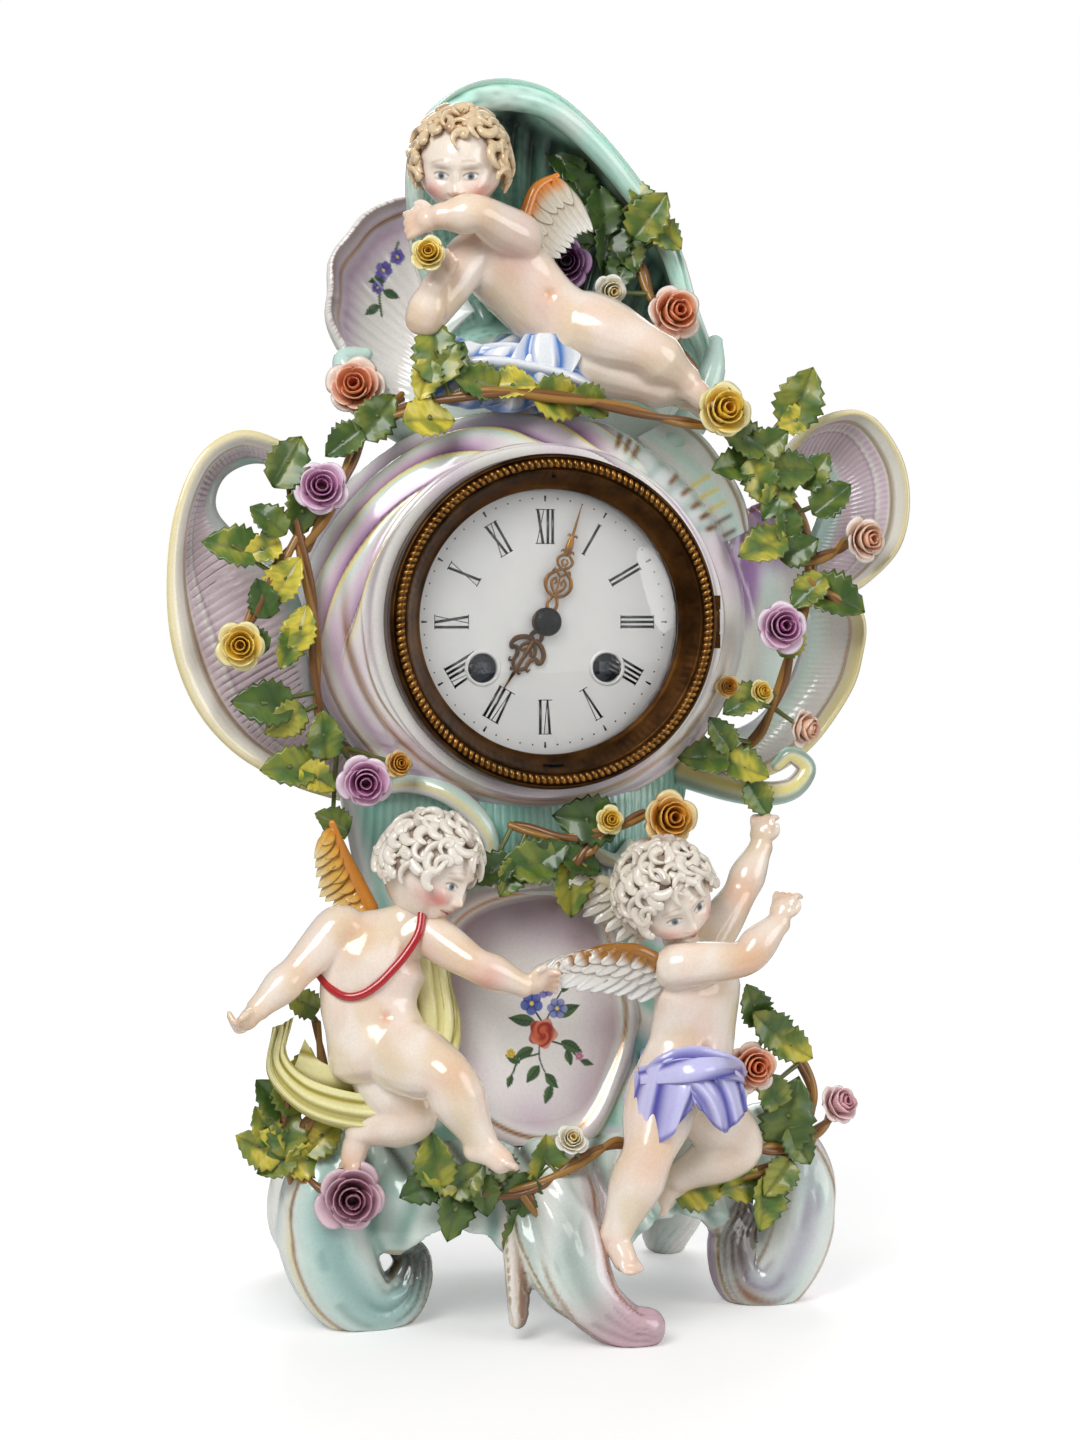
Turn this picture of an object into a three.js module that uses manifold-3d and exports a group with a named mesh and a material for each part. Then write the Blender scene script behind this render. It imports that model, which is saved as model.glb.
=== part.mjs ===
// A rococo porcelain mantel clock: a hollow porcelain case on scroll feet, dressed with three putti,
// roses and leaves, and holding a round brass striking movement with its dial, bezel and pendulum.
// Millimetres. X runs to the right of the dial, Y from the front to the back, Z up from the table.

import * as THREE from "three";
import { mergeVertices } from "three/addons/utils/BufferGeometryUtils.js";
import Module from "manifold-3d";

const wasm = await Module();
wasm.setup();

// Driving dimensions

const dialHeight = 247; // centre of the dial above the table
const fitGap = 0.3; // between pieces that seat on each other
const runningGap = 0.4; // between a turning piece and what it turns in

const caseFront = -52; // flat porcelain seat of the bezel
const caseBack = 46; // flat porcelain seat of the back door
const boreRadius = 51; // hole through the case for the movement
const seatRadius = 60; // round porcelain collar that the bezel sits on
const drumHalfWidth = 79.6; // oval drum round the dial
const drumTop = 75.4; // drum above the dial's centre, and below it
const drumBottom = 71.4;
const wallThickness = 8; // slip-cast wall of the waist and the plinth
const plinthTop = 66; // joint between the plinth and the waist
const plinthBottom = 26; // lower edge of the plinth between its feet
const archRadius = 20; // arches cut in the lower edge
const shellThickness = 4.5; // side wings and crest
const hoodThickness = 5.5;

const dialRadius = 47.9;
const dialThickness = 1.7;
const dialBack = -48.5;
const windingHoleRadius = 5.5;
const dialHoleRadius = 3.6;
const bezelRadius = 58;
const bezelDepth = 14.5;
const bezelOpening = 46; // what the bezel leaves of the dial
const glassThickness = 1.5;
const doorRadius = 54;
const doorThickness = 2.5;

const plateRadius = 44;
const plateThickness = 2;
const frontPlateY = -38; // front face of the front plate
const plateSpacing = 40; // clear height between the plates
const pillarRadius = 2.2;
const pillarCircle = 40;
const barrelRadius = 13.8;
const windingSquare = 4.2; // across the flats
const windingShaftRadius = 2.4;
const windingTailRadius = 1.2;
const barrelLength = 18.5;
const windingX = 22.3; // winding squares, either side of the dial's centre
const windingZ = -16.1;
const roundSides = 30; // facets of the large turned pieces
const bellRadius = 30;
const bellDepth = 13;
const pendulumLength = 143; // from the suspension to the middle of the bob
const bobRadius = 15;
const bobThickness = 8;

const frontPlateBack = frontPlateY + plateThickness;
const backPlateY = frontPlateBack + plateSpacing;
const backPlateBack = backPlateY + plateThickness;
const dialFront = dialBack - dialThickness;

// Materials

const finish = (color, roughness, metalness = 0) =>
  new THREE.MeshStandardMaterial({ color, roughness, metalness });
const porcelain = finish(0xf3f1ea, 0.12);
const lilacGlaze = finish(0xdcc4dc, 0.14);
const mintGlaze = finish(0xb5ddd0, 0.14);
const fleshGlaze = finish(0xf4dcc8, 0.16);
const leafGlaze = finish(0x7c8c32, 0.2);
const enamel = finish(0xf1f2f0, 0.1);
const gilt = finish(0xa9742c, 0.38, 1);
const brass = finish(0xc9a14c, 0.32, 1);
const steel = finish(0x42454c, 0.35, 1);
const clearGlass = new THREE.MeshStandardMaterial({
  color: 0xf6fbfb,
  roughness: 0.02,
  transparent: true,
  opacity: 0.25,
});

// Solids

const vector = (x, y, z) => new THREE.Vector3(x, y, z);

// A closed geometry as a solid, with its faces turned outwards.
function solidFrom(positions, triangles) {
  const make = (order) =>
    new wasm.Manifold(
      new wasm.Mesh({ numProp: 3, vertProperties: new Float32Array(positions), triVerts: new Uint32Array(order) }),
    );
  const made = make(triangles);
  if (made.volume() >= 0) return made;
  const turned = triangles.slice();
  for (let i = 0; i < turned.length; i += 3) [turned[i + 1], turned[i + 2]] = [turned[i + 2], turned[i + 1]];
  return make(turned);
}

function solid(geometry) {
  const bare = geometry.index ? geometry.toNonIndexed() : geometry.clone();
  bare.deleteAttribute("normal");
  bare.deleteAttribute("uv");
  const merged = mergeVertices(bare, 1e-4);
  const all = merged.index.array;
  const triangles = [];
  for (let i = 0; i < all.length; i += 3) {
    const [a, b, c] = [all[i], all[i + 1], all[i + 2]];
    if (a !== b && b !== c && a !== c) triangles.push(a, b, c);
  }
  return solidFrom(Array.from(merged.attributes.position.array), triangles);
}

const join = (...solids) => solids.flat().reduce((a, b) => a.add(b));
const cut = (body, ...tools) => tools.flat().reduce((a, b) => a.subtract(b), body);

// The largest piece that a cut leaves: slivers past the cut are broken off.
function mainPiece(body) {
  const pieces = body.decompose();
  return pieces.reduce((a, b) => (b.volume() > a.volume() ? b : a));
}

// Rings of points with equal counts, skinned and capped.
function loft(rings) {
  const count = rings[0].length;
  const positions = rings.flat().flatMap((p) => [p.x, p.y, p.z]);
  const triangles = [];
  rings.slice(1).forEach((_, r) => {
    for (let i = 0; i < count; i++) {
      const a = r * count + i;
      const b = r * count + ((i + 1) % count);
      triangles.push(a, b, b + count, a, b + count, a + count);
    }
  });
  const cap = (ring, start, flip) => {
    const middle = ring.reduce((s, p) => s.add(p), vector(0, 0, 0)).divideScalar(count);
    const hub = positions.length / 3;
    positions.push(middle.x, middle.y, middle.z);
    for (let i = 0; i < count; i++) {
      const a = start + i;
      const b = start + ((i + 1) % count);
      triangles.push(...(flip ? [hub, b, a] : [hub, a, b]));
    }
  };
  cap(rings[0], 0, true);
  cap(rings[rings.length - 1], (rings.length - 1) * count, false);
  return solidFrom(positions, triangles);
}

// A tapered round limb through points; widths are radii at those points, and flat squeezes it along Y.
function limb(points, widths, { sides = 8, steps = 8, flat = 1, grow = 0 } = {}) {
  const curve = new THREE.CatmullRomCurve3(points.map((p) => vector(...p)), false, "centripetal");
  const spans = points.length - 1;
  const radius = (t) => {
    const s = Math.min(t * spans, spans - 1e-6);
    const k = Math.floor(s);
    return widths[k] + (widths[k + 1] - widths[k]) * (s - k) + grow;
  };
  const frames = curve.computeFrenetFrames(steps, false);
  const rings = [];
  const ring = (centre, k, r) =>
    rings.push(
      Array.from({ length: sides }, (_, i) => {
        const a = (2 * Math.PI * i) / sides;
        const out = frames.normals[k].clone().multiplyScalar(Math.cos(a));
        out.addScaledVector(frames.binormals[k], Math.sin(a)).multiplyScalar(r);
        out.y *= flat;
        return centre.clone().add(out);
      }),
    );
  const roundedEnd = (k, t, sign) => {
    const r = radius(t);
    const tip = curve.getPoint(t);
    const along = frames.tangents[k].clone().multiplyScalar(sign);
    ring(tip.clone().addScaledVector(along, 0.7 * r), k, 0.66 * r);
  };
  roundedEnd(0, 0, -1);
  for (let k = 0; k <= steps; k++) ring(curve.getPoint(k / steps), k, radius(k / steps));
  roundedEnd(steps, 1, 1);
  return loft(rings);
}

function ball([x, y, z], [rx, ry, rz], { grow = 0, around = 10, down = 7 } = {}) {
  const sphere = new THREE.SphereGeometry(1, around, down).rotateX(Math.PI / 2);
  return solid(sphere.scale(rx + grow, ry + grow, rz + grow).translate(x, y, z));
}

// A body turned about the dial's axis, or about a parallel one at (x, z) from it.
function turned(profile, sides, x = 0, z = 0) {
  const lathe = new THREE.LatheGeometry(profile.map(([r, y]) => new THREE.Vector2(r, y)), sides);
  return solid(lathe).translate([x, 0, dialHeight + z]);
}

// A round rod parallel to the dial's axis.
function rod(x, z, radius, from, to, sides = 8) {
  const cylinder = new THREE.CylinderGeometry(radius, radius, to - from, sides);
  return solid(cylinder.translate(x, (from + to) / 2, dialHeight + z));
}

function block(x, y, z) {
  const [width, depth, height] = [x[1] - x[0], y[1] - y[0], z[1] - z[0]];
  const box = new THREE.BoxGeometry(width, depth, height);
  return solid(box.translate((x[0] + x[1]) / 2, (y[0] + y[1]) / 2, (z[0] + z[1]) / 2));
}

// A flat shape drawn as seen from the front, from its back face forwards.
function plate(shape, backY, thickness) {
  const slab = new THREE.ExtrudeGeometry(shape, { depth: thickness, bevelEnabled: false });
  return solid(slab.rotateX(Math.PI / 2).translate(0, backY, dialHeight));
}

// Gearing. Every wheel turns about an axis parallel to the dial's, at (x, z) from it.

const wheelTeeth = 24;
const pinionLeaves = 6;

// A gear and what it meshes with, at the distance between their arbors.
function gearOf(teeth, otherTeeth, distance) {
  const module = (2 * distance) / (teeth + otherTeeth);
  return { teeth, module, pitch: (teeth * module) / 2 };
}

const wheelTeethOf = (distance) => gearOf(wheelTeeth, pinionLeaves, distance);
const leavesOf = (distance) => gearOf(pinionLeaves, wheelTeeth, distance);

// Pointed teeth on a wheel, narrow flat-topped leaves on a pinion.
function gearShape({ teeth, pitch, module }, turn, x, z) {
  const leaf = teeth <= 10;
  const tip = pitch + (leaf ? 0.7 : 0.75) * module;
  const root = pitch - (leaf ? 1.05 : 1.0) * module;
  const step = (2 * Math.PI) / teeth;
  const corners = leaf
    ? [
        [-0.26, root],
        [0, tip],
        [0.26, root],
      ]
    : [
        [-0.5, root],
        [0, tip],
      ];
  const points = [];
  for (let k = 0; k < teeth; k++)
    for (const [share, r] of corners) {
      const a = turn + (k + share) * step;
      points.push(new THREE.Vector2(x + r * Math.cos(a), z + r * Math.sin(a)));
    }
  return new THREE.Shape(points);
}

// The turn that puts a gap of the driven gear where a tooth of the driver meets it.
function meshTurn(driver, driverTurn, driven, from, to) {
  const towards = Math.atan2(to[1] - from[1], to[0] - from[0]);
  const past = ((towards - driverTurn) * driver.teeth) / (2 * Math.PI);
  return towards + Math.PI - ((0.5 - past) * 2 * Math.PI) / driven.teeth;
}

// Window-like cut-outs that leave a wheel its rim, hub and crossings.
function crossings(rim, hub, x, z, count = 4, arm = 0.32) {
  return Array.from({ length: count }, (_, k) => {
    const a = (2 * Math.PI * (k + 0.5)) / count;
    const half = Math.PI / count - arm / 2;
    const hole = new THREE.Path();
    hole.moveTo(x + hub * Math.cos(a - half * 0.6), z + hub * Math.sin(a - half * 0.6));
    for (const s of [-1, 0, 1]) hole.lineTo(x + rim * Math.cos(a + s * half), z + rim * Math.sin(a + s * half));
    hole.lineTo(x + hub * Math.cos(a + half * 0.6), z + hub * Math.sin(a + half * 0.6));
    return hole;
  });
}

function wheel(gear, turn, [x, z], backY, thickness, hub = 4.2) {
  const shape = gearShape(gear, turn, x, z);
  const rim = gear.pitch - 2.6 * gear.module;
  if (rim > hub + 2) shape.holes = crossings(rim, hub, x, z);
  return plate(shape, backY, thickness);
}

const pinion = (gear, turn, [x, z], backY, length) => plate(gearShape(gear, turn, x, z), backY, length);

// Where the arbors stand. Each is placed at its distance and bearing from the one that drives it.

const bearing = ([x, z], distance, degrees) => [
  x + distance * Math.cos((degrees * Math.PI) / 180),
  z + distance * Math.sin((degrees * Math.PI) / 180),
];
const centre = [0, 0];
const goingBarrelAt = [windingX, windingZ];
const strikeBarrelAt = [-windingX, windingZ];
const barrelDistance = 18.9;
const secondAt = bearing(goingBarrelAt, barrelDistance, 100);
const secondDistance = Math.hypot(...secondAt);
const thirdDistance = 17.6;
const thirdAt = bearing(centre, thirdDistance, 105);
const escapeDistance = 13.2;
const escapeAt = [0, thirdAt[1] + Math.sqrt(escapeDistance ** 2 - thirdAt[0] ** 2)];
const escapeRadius = 5;
const palletsAt = [0, escapeAt[1] + 7.4];
const suspensionZ = palletsAt[1] + 1.6;
const strikeSecondAt = bearing(strikeBarrelAt, barrelDistance, 80);
const pinWheelDistance = 19.2;
const pinWheelAt = bearing(strikeSecondAt, pinWheelDistance, 115);
const flyDistance = 9.6;
const flyAt = bearing(pinWheelAt, flyDistance, 33);
const motionDistance = 12.8;
const motionAt = bearing(centre, motionDistance, 60);
const hammerAt = [37, 12];

// Levels of the wheels, as the Y of each wheel's back face, counted from the front plate's back.

const barrelFront = frontPlateBack + 1.5;
const barrelBack = barrelFront + barrelLength;
const greatWheelY = barrelBack + 2.5;
const greatWheelThickness = 2;
const trainThickness = 1.2;
const strikeSecondY = greatWheelY + 2.3;
const secondY = greatWheelY + 5.5;
const centreWheelY = secondY + 4.2;
const thirdY = centreWheelY + 4.5;
const pinWheelY = thirdY + 0.5;
const escapeY = secondY;

const arborRadius = 0.9;
const squareTip = dialBack + 1;
const pivotEnd = 0.4; // how far a pivot stays inside the outer face of its plate

// An arbor running between the plates, with its pivots in their holes.
const arbor = ([x, z], radius = arborRadius) =>
  rod(x, z, radius, frontPlateY + pivotEnd, backPlateBack - pivotEnd, 6);

const greatGear = wheelTeethOf(barrelDistance);
const secondPinionGear = leavesOf(barrelDistance);
const secondGear = wheelTeethOf(secondDistance);
const centrePinionGear = leavesOf(secondDistance);
const centreGear = wheelTeethOf(thirdDistance);
const thirdPinionGear = leavesOf(thirdDistance);
const thirdGear = wheelTeethOf(escapeDistance);
const escapePinionGear = leavesOf(escapeDistance);
const pinGear = wheelTeethOf(flyDistance);
const flyPinionGear = leavesOf(flyDistance);
const strikeSecondGear = wheelTeethOf(pinWheelDistance);
const pinWheelPinionGear = leavesOf(pinWheelDistance);

const secondTurn = meshTurn(greatGear, 0, secondPinionGear, goingBarrelAt, secondAt);
const centrePinionTurn = meshTurn(secondGear, secondTurn, centrePinionGear, secondAt, centre);
const thirdPinionTurn = meshTurn(centreGear, centrePinionTurn, thirdPinionGear, centre, thirdAt);
const escapePinionTurn = meshTurn(thirdGear, thirdPinionTurn, escapePinionGear, thirdAt, escapeAt);
const strikeSecondTurn = meshTurn(greatGear, 0, secondPinionGear, strikeBarrelAt, strikeSecondAt);
const pinWheelTurn = meshTurn(strikeSecondGear, strikeSecondTurn, pinWheelPinionGear, strikeSecondAt, pinWheelAt);
const flyTurn = meshTurn(pinGear, pinWheelTurn, flyPinionGear, pinWheelAt, flyAt);

// Ornament is drawn round a case of these sizes, and its places move with the case when that is changed.
const drawn = { dialHeight: 247, halfWidth: 79.6, top: 75.4, bottom: 71.4 };

function placed([x, y, z]) {
  const wider = drumHalfWidth / drawn.halfWidth;
  const drumFoot = drawn.dialHeight - drawn.bottom;
  const rise = z - drawn.dialHeight;
  if (rise >= 0) return [x * wider, y, dialHeight + (rise * drumTop) / drawn.top];
  if (z >= drumFoot) return [x * wider, y, dialHeight + (rise * drumBottom) / drawn.bottom];
  const share = Math.max(0, (z - plinthTop) / (drumFoot - plinthTop));
  const reach = dialHeight - drumBottom - plinthTop;
  return [x * (1 + share * (wider - 1)), y, share > 0 ? plinthTop + share * reach : z];
}

// Porcelain case

const round = (value, power) => Math.sign(value) * Math.abs(value) ** power;

// A level of the hollow case: bowed in front, squarer behind.
function caseRing(z, halfWidth, front, back, grow = 0, count = 18) {
  return Array.from({ length: count }, (_, i) => {
    const a = (2 * Math.PI * i) / count;
    const s = Math.sin(a);
    const y = s < 0 ? -(front - grow) * round(s, 0.85) : (back + grow) * round(s, 0.5);
    return vector((halfWidth + grow) * round(Math.cos(a), 0.72), y, z);
  });
}

function drum(grow = 0) {
  const profile = [
    [0, caseFront + 2],
    [0.79, caseFront + 2.4],
    [0.9, -42],
    [0.955, -34],
    [0.99, -22],
    [1, -8],
    [0.99, 18],
    [0.945, 34],
    [0.83, caseBack],
    [0, caseBack],
  ].map(([share, y]) => new THREE.Vector2(share, y));
  const oval = new THREE.LatheGeometry(profile, roundSides);
  const places = oval.attributes.position;
  for (let i = 0; i < places.count; i++) {
    const tall = places.getZ(i) > 0 ? drumTop : drumBottom;
    places.setX(i, places.getX(i) * (drumHalfWidth + grow));
    places.setZ(i, places.getZ(i) * (tall + grow));
  }
  const body = solid(oval).translate([0, 0, dialHeight]);
  const collar = rod(0, 0, seatRadius + grow, caseFront - grow, -20, roundSides);
  return join(body, collar);
}

// Waist levels: height above the plinth as a share of the waist, half width, front and back.
const waistLevels = [
  [0, 64, -53, 45],
  [0.13, 58, -50, 45],
  [0.35, 54, -46, 45],
  [0.6, 55, -44, 45],
  [0.85, 62, -42, 45],
  [1, 66, -38, 45],
];

const waistTop = dialHeight - 42;
const waistBottom = plinthTop + fitGap;

function waist(grow = 0, bottom = waistBottom) {
  const heights = waistLevels.map(([share]) => waistBottom + share * (waistTop - waistBottom));
  heights[0] = bottom;
  return loft(waistLevels.map(([, half, front, back], i) => caseRing(heights[i], half, front, back, grow)));
}

// The raised frame of the painted panel on the front of the waist.
const panelX = -4;
const panelZ = 110;
const panelHalfWidth = 33;
const panelHalfHeight = 43;

function panelFrame() {
  const count = 14;
  const points = Array.from({ length: count + 1 }, (_, i) => {
    const a = (2 * Math.PI * i) / count;
    const x = panelX + panelHalfWidth * round(Math.cos(a), 0.8);
    const y = -46 + 0.0075 * x * x;
    return placed([x, y, panelZ + panelHalfHeight * round(Math.sin(a), 0.85)]);
  });
  return limb(points, points.map(() => 2.4), { sides: 4, steps: count + 4 });
}

function caseOutside(grow = 0) {
  return join(drum(grow), waist(grow));
}

function caseBody() {
  const bore = rod(0, 0, boreRadius, caseFront - 5, caseBack + 5, roundSides);
  const hollow = waist(-wallThickness, waistBottom - 5);
  const frame = panelFrame().subtract(waist(-3, waistBottom - 5));
  const trimmed = cut(frame, bore);
  return mainPiece(cut(join(caseOutside(), trimmed), bore, hollow, undercut()));
}

// Everything below the plinth's top, which the waist may not reach into.
const undercut = () => block([-150, 150], [-150, 150], [-20, waistBottom]);

// Plinth levels: height, half width, front and back.
const plinthLevels = [
  [plinthBottom, 80, -62, 47],
  [plinthBottom + 8, 84, -65, 49],
  [plinthBottom + 22, 78, -62, 49],
  [plinthTop, 69, -57, 47],
];

const plinthShell = (grow = 0, below = 0, above = 0) =>
  loft(
    plinthLevels.map(([z, half, front, back], i) =>
      caseRing(z - (i === 0 ? below : 0) + (i === 3 ? above : 0), half, front, back, grow),
    ),
  );

// Scroll feet: the points and radii of each sweep, and how far it is drawn out along Y.
const feet = [
  {
    path: [
      [-66, -36, 60],
      [-76, -38, 48],
      [-77, -40, 33],
      [-71, -40, 16],
      [-61, -40, 6.4],
      [-50, -39, 9.8],
      [-45, -38, 21],
      [-50, -37, 26],
    ],
    widths: [12, 15, 16, 15, 12, 9, 6, 4],
    flat: 1.05,
  },
  {
    path: [
      [82, -34, 62],
      [95, -36, 52],
      [98.5, -38, 38],
      [96, -38, 22],
      [87, -38, 6.8],
      [77, -37, 8.6],
      [73, -36, 21],
      [76, -34, 31],
    ],
    widths: [9, 11, 12, 12.5, 11.5, 10, 8, 6.5],
    flat: 1.1,
  },
  {
    path: [[0, -54, 54], [2, -64, 41], [4, -73, 28], [10, -81, 14], [20, -86, 5.6], [28, -88, 5]],
    widths: [13, 14, 12, 9.5, 7.5, 6.3],
    flat: 1,
  },
  {
    path: [[-12, -60, 43], [-14, -67, 30], [-15, -73, 17], [-15.5, -76, 7]],
    widths: [4.6, 4, 3.4, 2.6],
    flat: 1,
  },
  { path: [[64, 40, 48], [74, 42, 36], [76, 43, 20], [70, 44, 5]], widths: [9, 10, 10, 9], flat: 0.8 },
  { path: [[-64, 40, 48], [-74, 42, 36], [-76, 43, 20], [-70, 44, 5]], widths: [9, 10, 10, 9], flat: 0.8 },
];

const foot = ({ path, widths, flat }, grow = 0) =>
  limb(path, widths, { sides: 8, steps: path.length + 2, flat, grow });
const archCentres = [-34, 46];
const floorCut = () => block([-200, 200], [-200, 200], [-40, 0]);

function plinthOutside(grow = 0) {
  return join(plinthShell(grow), feet.map((f) => foot(f, grow)));
}

function plinth() {
  const arches = archCentres.map((x) =>
    solid(new THREE.CylinderGeometry(archRadius, archRadius, 240, 12).translate(x, 0, plinthBottom - 9)),
  );
  const shell = cut(plinthShell(), arches, plinthShell(-wallThickness, 4, 4));
  const above = block([-150, 150], [-150, 150], [plinthTop, 200]);
  const scrolls = feet.map((f) => foot(f));
  const hollow = plinthShell(-wallThickness, 30, 4);
  return mainPiece(cut(join(shell, scrolls), hollow, above, floorCut()));
}

// Shells of the wings and the crest. Each has a rim in front, and an inner edge; between them the shell
// dips backwards by its hollow, and it is thickened backwards. A foot, where there is one, carries it down.

const shellShares = [0, 0.12, 0.35, 0.65, 1];

function shell({ rim, inner, hollow, foot = [] }, thickness = shellThickness) {
  return loft(
    rim.map((outer, i) => {
      const from = vector(...placed(outer));
      const to = vector(...placed(inner[i]));
      const end = i === 0 || i === rim.length - 1 ? 0.3 : 1;
      const front = shellShares.map((t) => from.clone().lerp(to, t).add(vector(0, dip(t) * hollow * end, 0)));
      if (foot.length) front.push(vector(...placed(foot[i])));
      const back = front.map((p) => p.clone().add(vector(0, thickness, 0)));
      return [...front.reverse(), ...back];
    }),
  );
}

const dip = (t) => (4 * t * (1 - t)) ** 0.8;
const horn = ({ path, widths }) => limb(path.map(placed), widths, { sides: 6, steps: path.length });

const leftEar = {
  rim: [
    [-80, -26, 302],
    [-89.5, -38, 308.7],
    [-105.5, -42, 312.8],
    [-119.7, -45, 304.4],
    [-128.5, -46, 285.3],
    [-131.6, -46, 261.3],
    [-129.6, -46, 237.4],
    [-121.4, -44, 216.8],
    [-107.2, -41, 201],
    [-87.6, -37, 190.1],
    [-70, -30, 184],
  ],
  inner: [
    [-78, -22, 297],
    [-88, -30, 300],
    [-100, -32, 302],
    [-110, -33, 297],
    [-113, -33, 287],
    [-106, -30, 278],
    [-86, -22, 262],
    [-78, -18, 240],
    [-76, -18, 222],
    [-70, -18, 208],
    [-60, -20, 196],
  ],
  hollow: 9,
};
const rightEar = {
  rim: [
    [92, -30, 304],
    [105.5, -40, 318.7],
    [120.2, -43, 321.3],
    [131.7, -45, 307.9],
    [135.2, -46, 291.4],
    [132.2, -45, 275],
    [121.4, -42, 263],
    [112, -36, 257],
  ],
  inner: [
    [84, -22, 292],
    [99, -30, 302],
    [108, -33, 300],
    [110, -34, 293],
    [108, -34, 285],
    [105, -33, 277],
    [103, -31, 268],
    [100, -28, 262],
  ],
  hollow: 10,
};
const rightScroll = {
  rim: [
    [112, -36, 262],
    [121.2, -37, 248],
    [120.6, -36, 234],
    [117.2, -34, 222.1],
    [106.3, -32, 205.6],
    [96, -30, 196],
    [84, -28, 190],
  ],
  inner: [
    [98, -26, 262],
    [104, -26, 248],
    [103, -24, 234],
    [98, -22, 222],
    [88, -20, 210],
    [72, -20, 203],
    [56, -20, 196],
  ],
  hollow: 6,
};
const rightCurl = {
  path: [
    [58, -26, 192],
    [72, -37, 187],
    [84, -41, 185],
    [94, -42, 187],
    [99, -42, 194],
    [93, -42, 199],
    [88, -41, 195],
  ],
  widths: [6, 5.5, 5, 4.4, 3.8, 3, 2],
};
const rightTop = {
  path: [[60, -20, 286], [77, -25, 295], [94, -32, 304]],
  widths: [6, 5, 3.5],
};
const leftTop = {
  path: [[-60, -18, 284], [-74, -23, 295], [-86, -32, 304]],
  widths: [6, 5, 3.5],
};

const leftWing = () => mainPiece(cut(join(shell(leftEar), horn(leftTop)), caseOutside(fitGap)));

function rightWing() {
  const shells = join(shell(rightEar), shell(rightScroll), horn(rightCurl), horn(rightTop));
  return mainPiece(cut(shells, caseOutside(fitGap)));
}

const hood = {
  rim: [
    [-40, -16, 392],
    [-42, -24, 408],
    [-39.9, -29, 421],
    [-30, -34, 432],
    [-14.4, -34, 437.7],
    [5.2, -30, 435.9],
    [25, -24, 423.1],
    [45.3, -17, 402.6],
    [56.8, -14, 384.6],
    [63.9, -13, 362.3],
    [68.8, -15, 347.4],
    [70, -18, 338],
  ],
  inner: [
    [-24, -6, 340],
    [-18, -5, 346],
    [-12, -4, 348],
    [-6, -4, 349],
    [2, -4, 349],
    [10, -4, 347],
    [18, -5, 344],
    [28, -6, 339],
    [37, -7, 333],
    [46, -8, 327],
    [53, -9, 322],
    [57, -10, 318],
  ],
  foot: [
    [-34, -8, 308],
    [-26, -8, 311],
    [-19, -8, 313],
    [-11, -8, 314],
    [-2, -8, 314],
    [7, -8, 314],
    [15, -8, 313],
    [24, -8, 311],
    [32, -8, 307],
    [40, -8, 303],
    [47, -8, 298],
    [52, -8, 294],
  ],
  hollow: 20,
};
const lobes = {
  rim: [
    [-50, -18, 330],
    [-60, -18, 338],
    [-66, -17, 346.5],
    [-70.5, -17, 356],
    [-70, -18, 366],
    [-69.5, -17, 376],
    [-64, -18, 383.8],
    [-57, -17, 392],
    [-47, -17, 397],
    [-38, -15, 399],
  ],
  inner: [
    [-36, -12, 318],
    [-37, -10, 324],
    [-36, -8, 330],
    [-34, -7, 335],
    [-32, -6, 340],
    [-30, -6, 344],
    [-28, -6, 348],
    [-25, -6, 352],
    [-21, -6, 356],
    [-16, -6, 360],
  ],
  hollow: 12,
};
const leftHorn = {
  path: [[-36, -14, 314], [-50, -20, 320], [-62, -22, 330], [-66, -20, 340], [-58, -20, 342]],
  widths: [7, 6.5, 5.5, 4, 2.6],
};
const rightHorn = {
  path: [[48, -14, 304], [62, -18, 320], [70, -18, 338], [72, -16, 350]],
  widths: [8, 6.5, 5, 3],
};

function crestShell() {
  const shells = join(shell(hood, hoodThickness), shell(lobes), horn(leftHorn), horn(rightHorn));
  return mainPiece(cut(shells, caseOutside(fitGap)));
}

// Putti. Each is given by the places of its joints, and modelled as one fused body.

const leftPutto = {
  head: [-45, -67, 163],
  neck: [-51, -64, 146],
  chest: [-60, -64, 134],
  waist: [-62, -64, 118],
  pelvis: [-60, -65, 102],
  arms: [
    [[-75, -64, 143], [-90, -68, 129], [-104, -72, 117], [-110, -74, 111]],
    [[-46, -66, 141], [-31, -82, 131], [-13, -80, 123], [-3, -77, 124]],
  ],
  legs: [
    [[-55, -72, 100], [-44, -94, 95], [-32, -92, 72], [-21, -98, 68]],
    [[-58, -62, 92], [-50, -66, 78], [-68, -60, 72], [-72, -62, 60]],
  ],
};
const rightPutto = {
  head: [38, -72, 153],
  neck: [45, -68, 135],
  chest: [49, -67, 122],
  waist: [47, -66, 104],
  pelvis: [45, -67, 88],
  arms: [
    [[57, -60, 134], [70, -54, 150], [79, -52, 167], [79, -52, 178]],
    [[40, -78, 128], [63, -84, 131], [76, -82, 143], [78, -80, 152]],
  ],
  legs: [
    [[38, -72, 84], [29, -82, 64], [18, -80, 34], [22, -92, 25]],
    [[52, -62, 80], [67, -64, 62], [44, -58, 49], [34, -57, 36]],
  ],
};
const topPutto = {
  head: [-30, -50, 405],
  neck: [-23, -46, 389],
  chest: [-15, -45, 375],
  waist: [-3, -44, 361],
  pelvis: [11, -43, 350],
  arms: [
    [[-10, -54, 380], [-28, -66, 385], [-40, -64, 385], [-47, -60, 384]],
    [[-26, -46, 374], [-43, -52, 351], [-40, -58, 362], [-36, -62, 370]],
  ],
  legs: [
    [[16, -48, 350], [34, -58, 342], [50, -54, 332], [59, -57, 327]],
    [[14, -42, 342], [36, -50, 333], [53, -46, 329], [62, -44, 326]],
  ],
};

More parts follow.
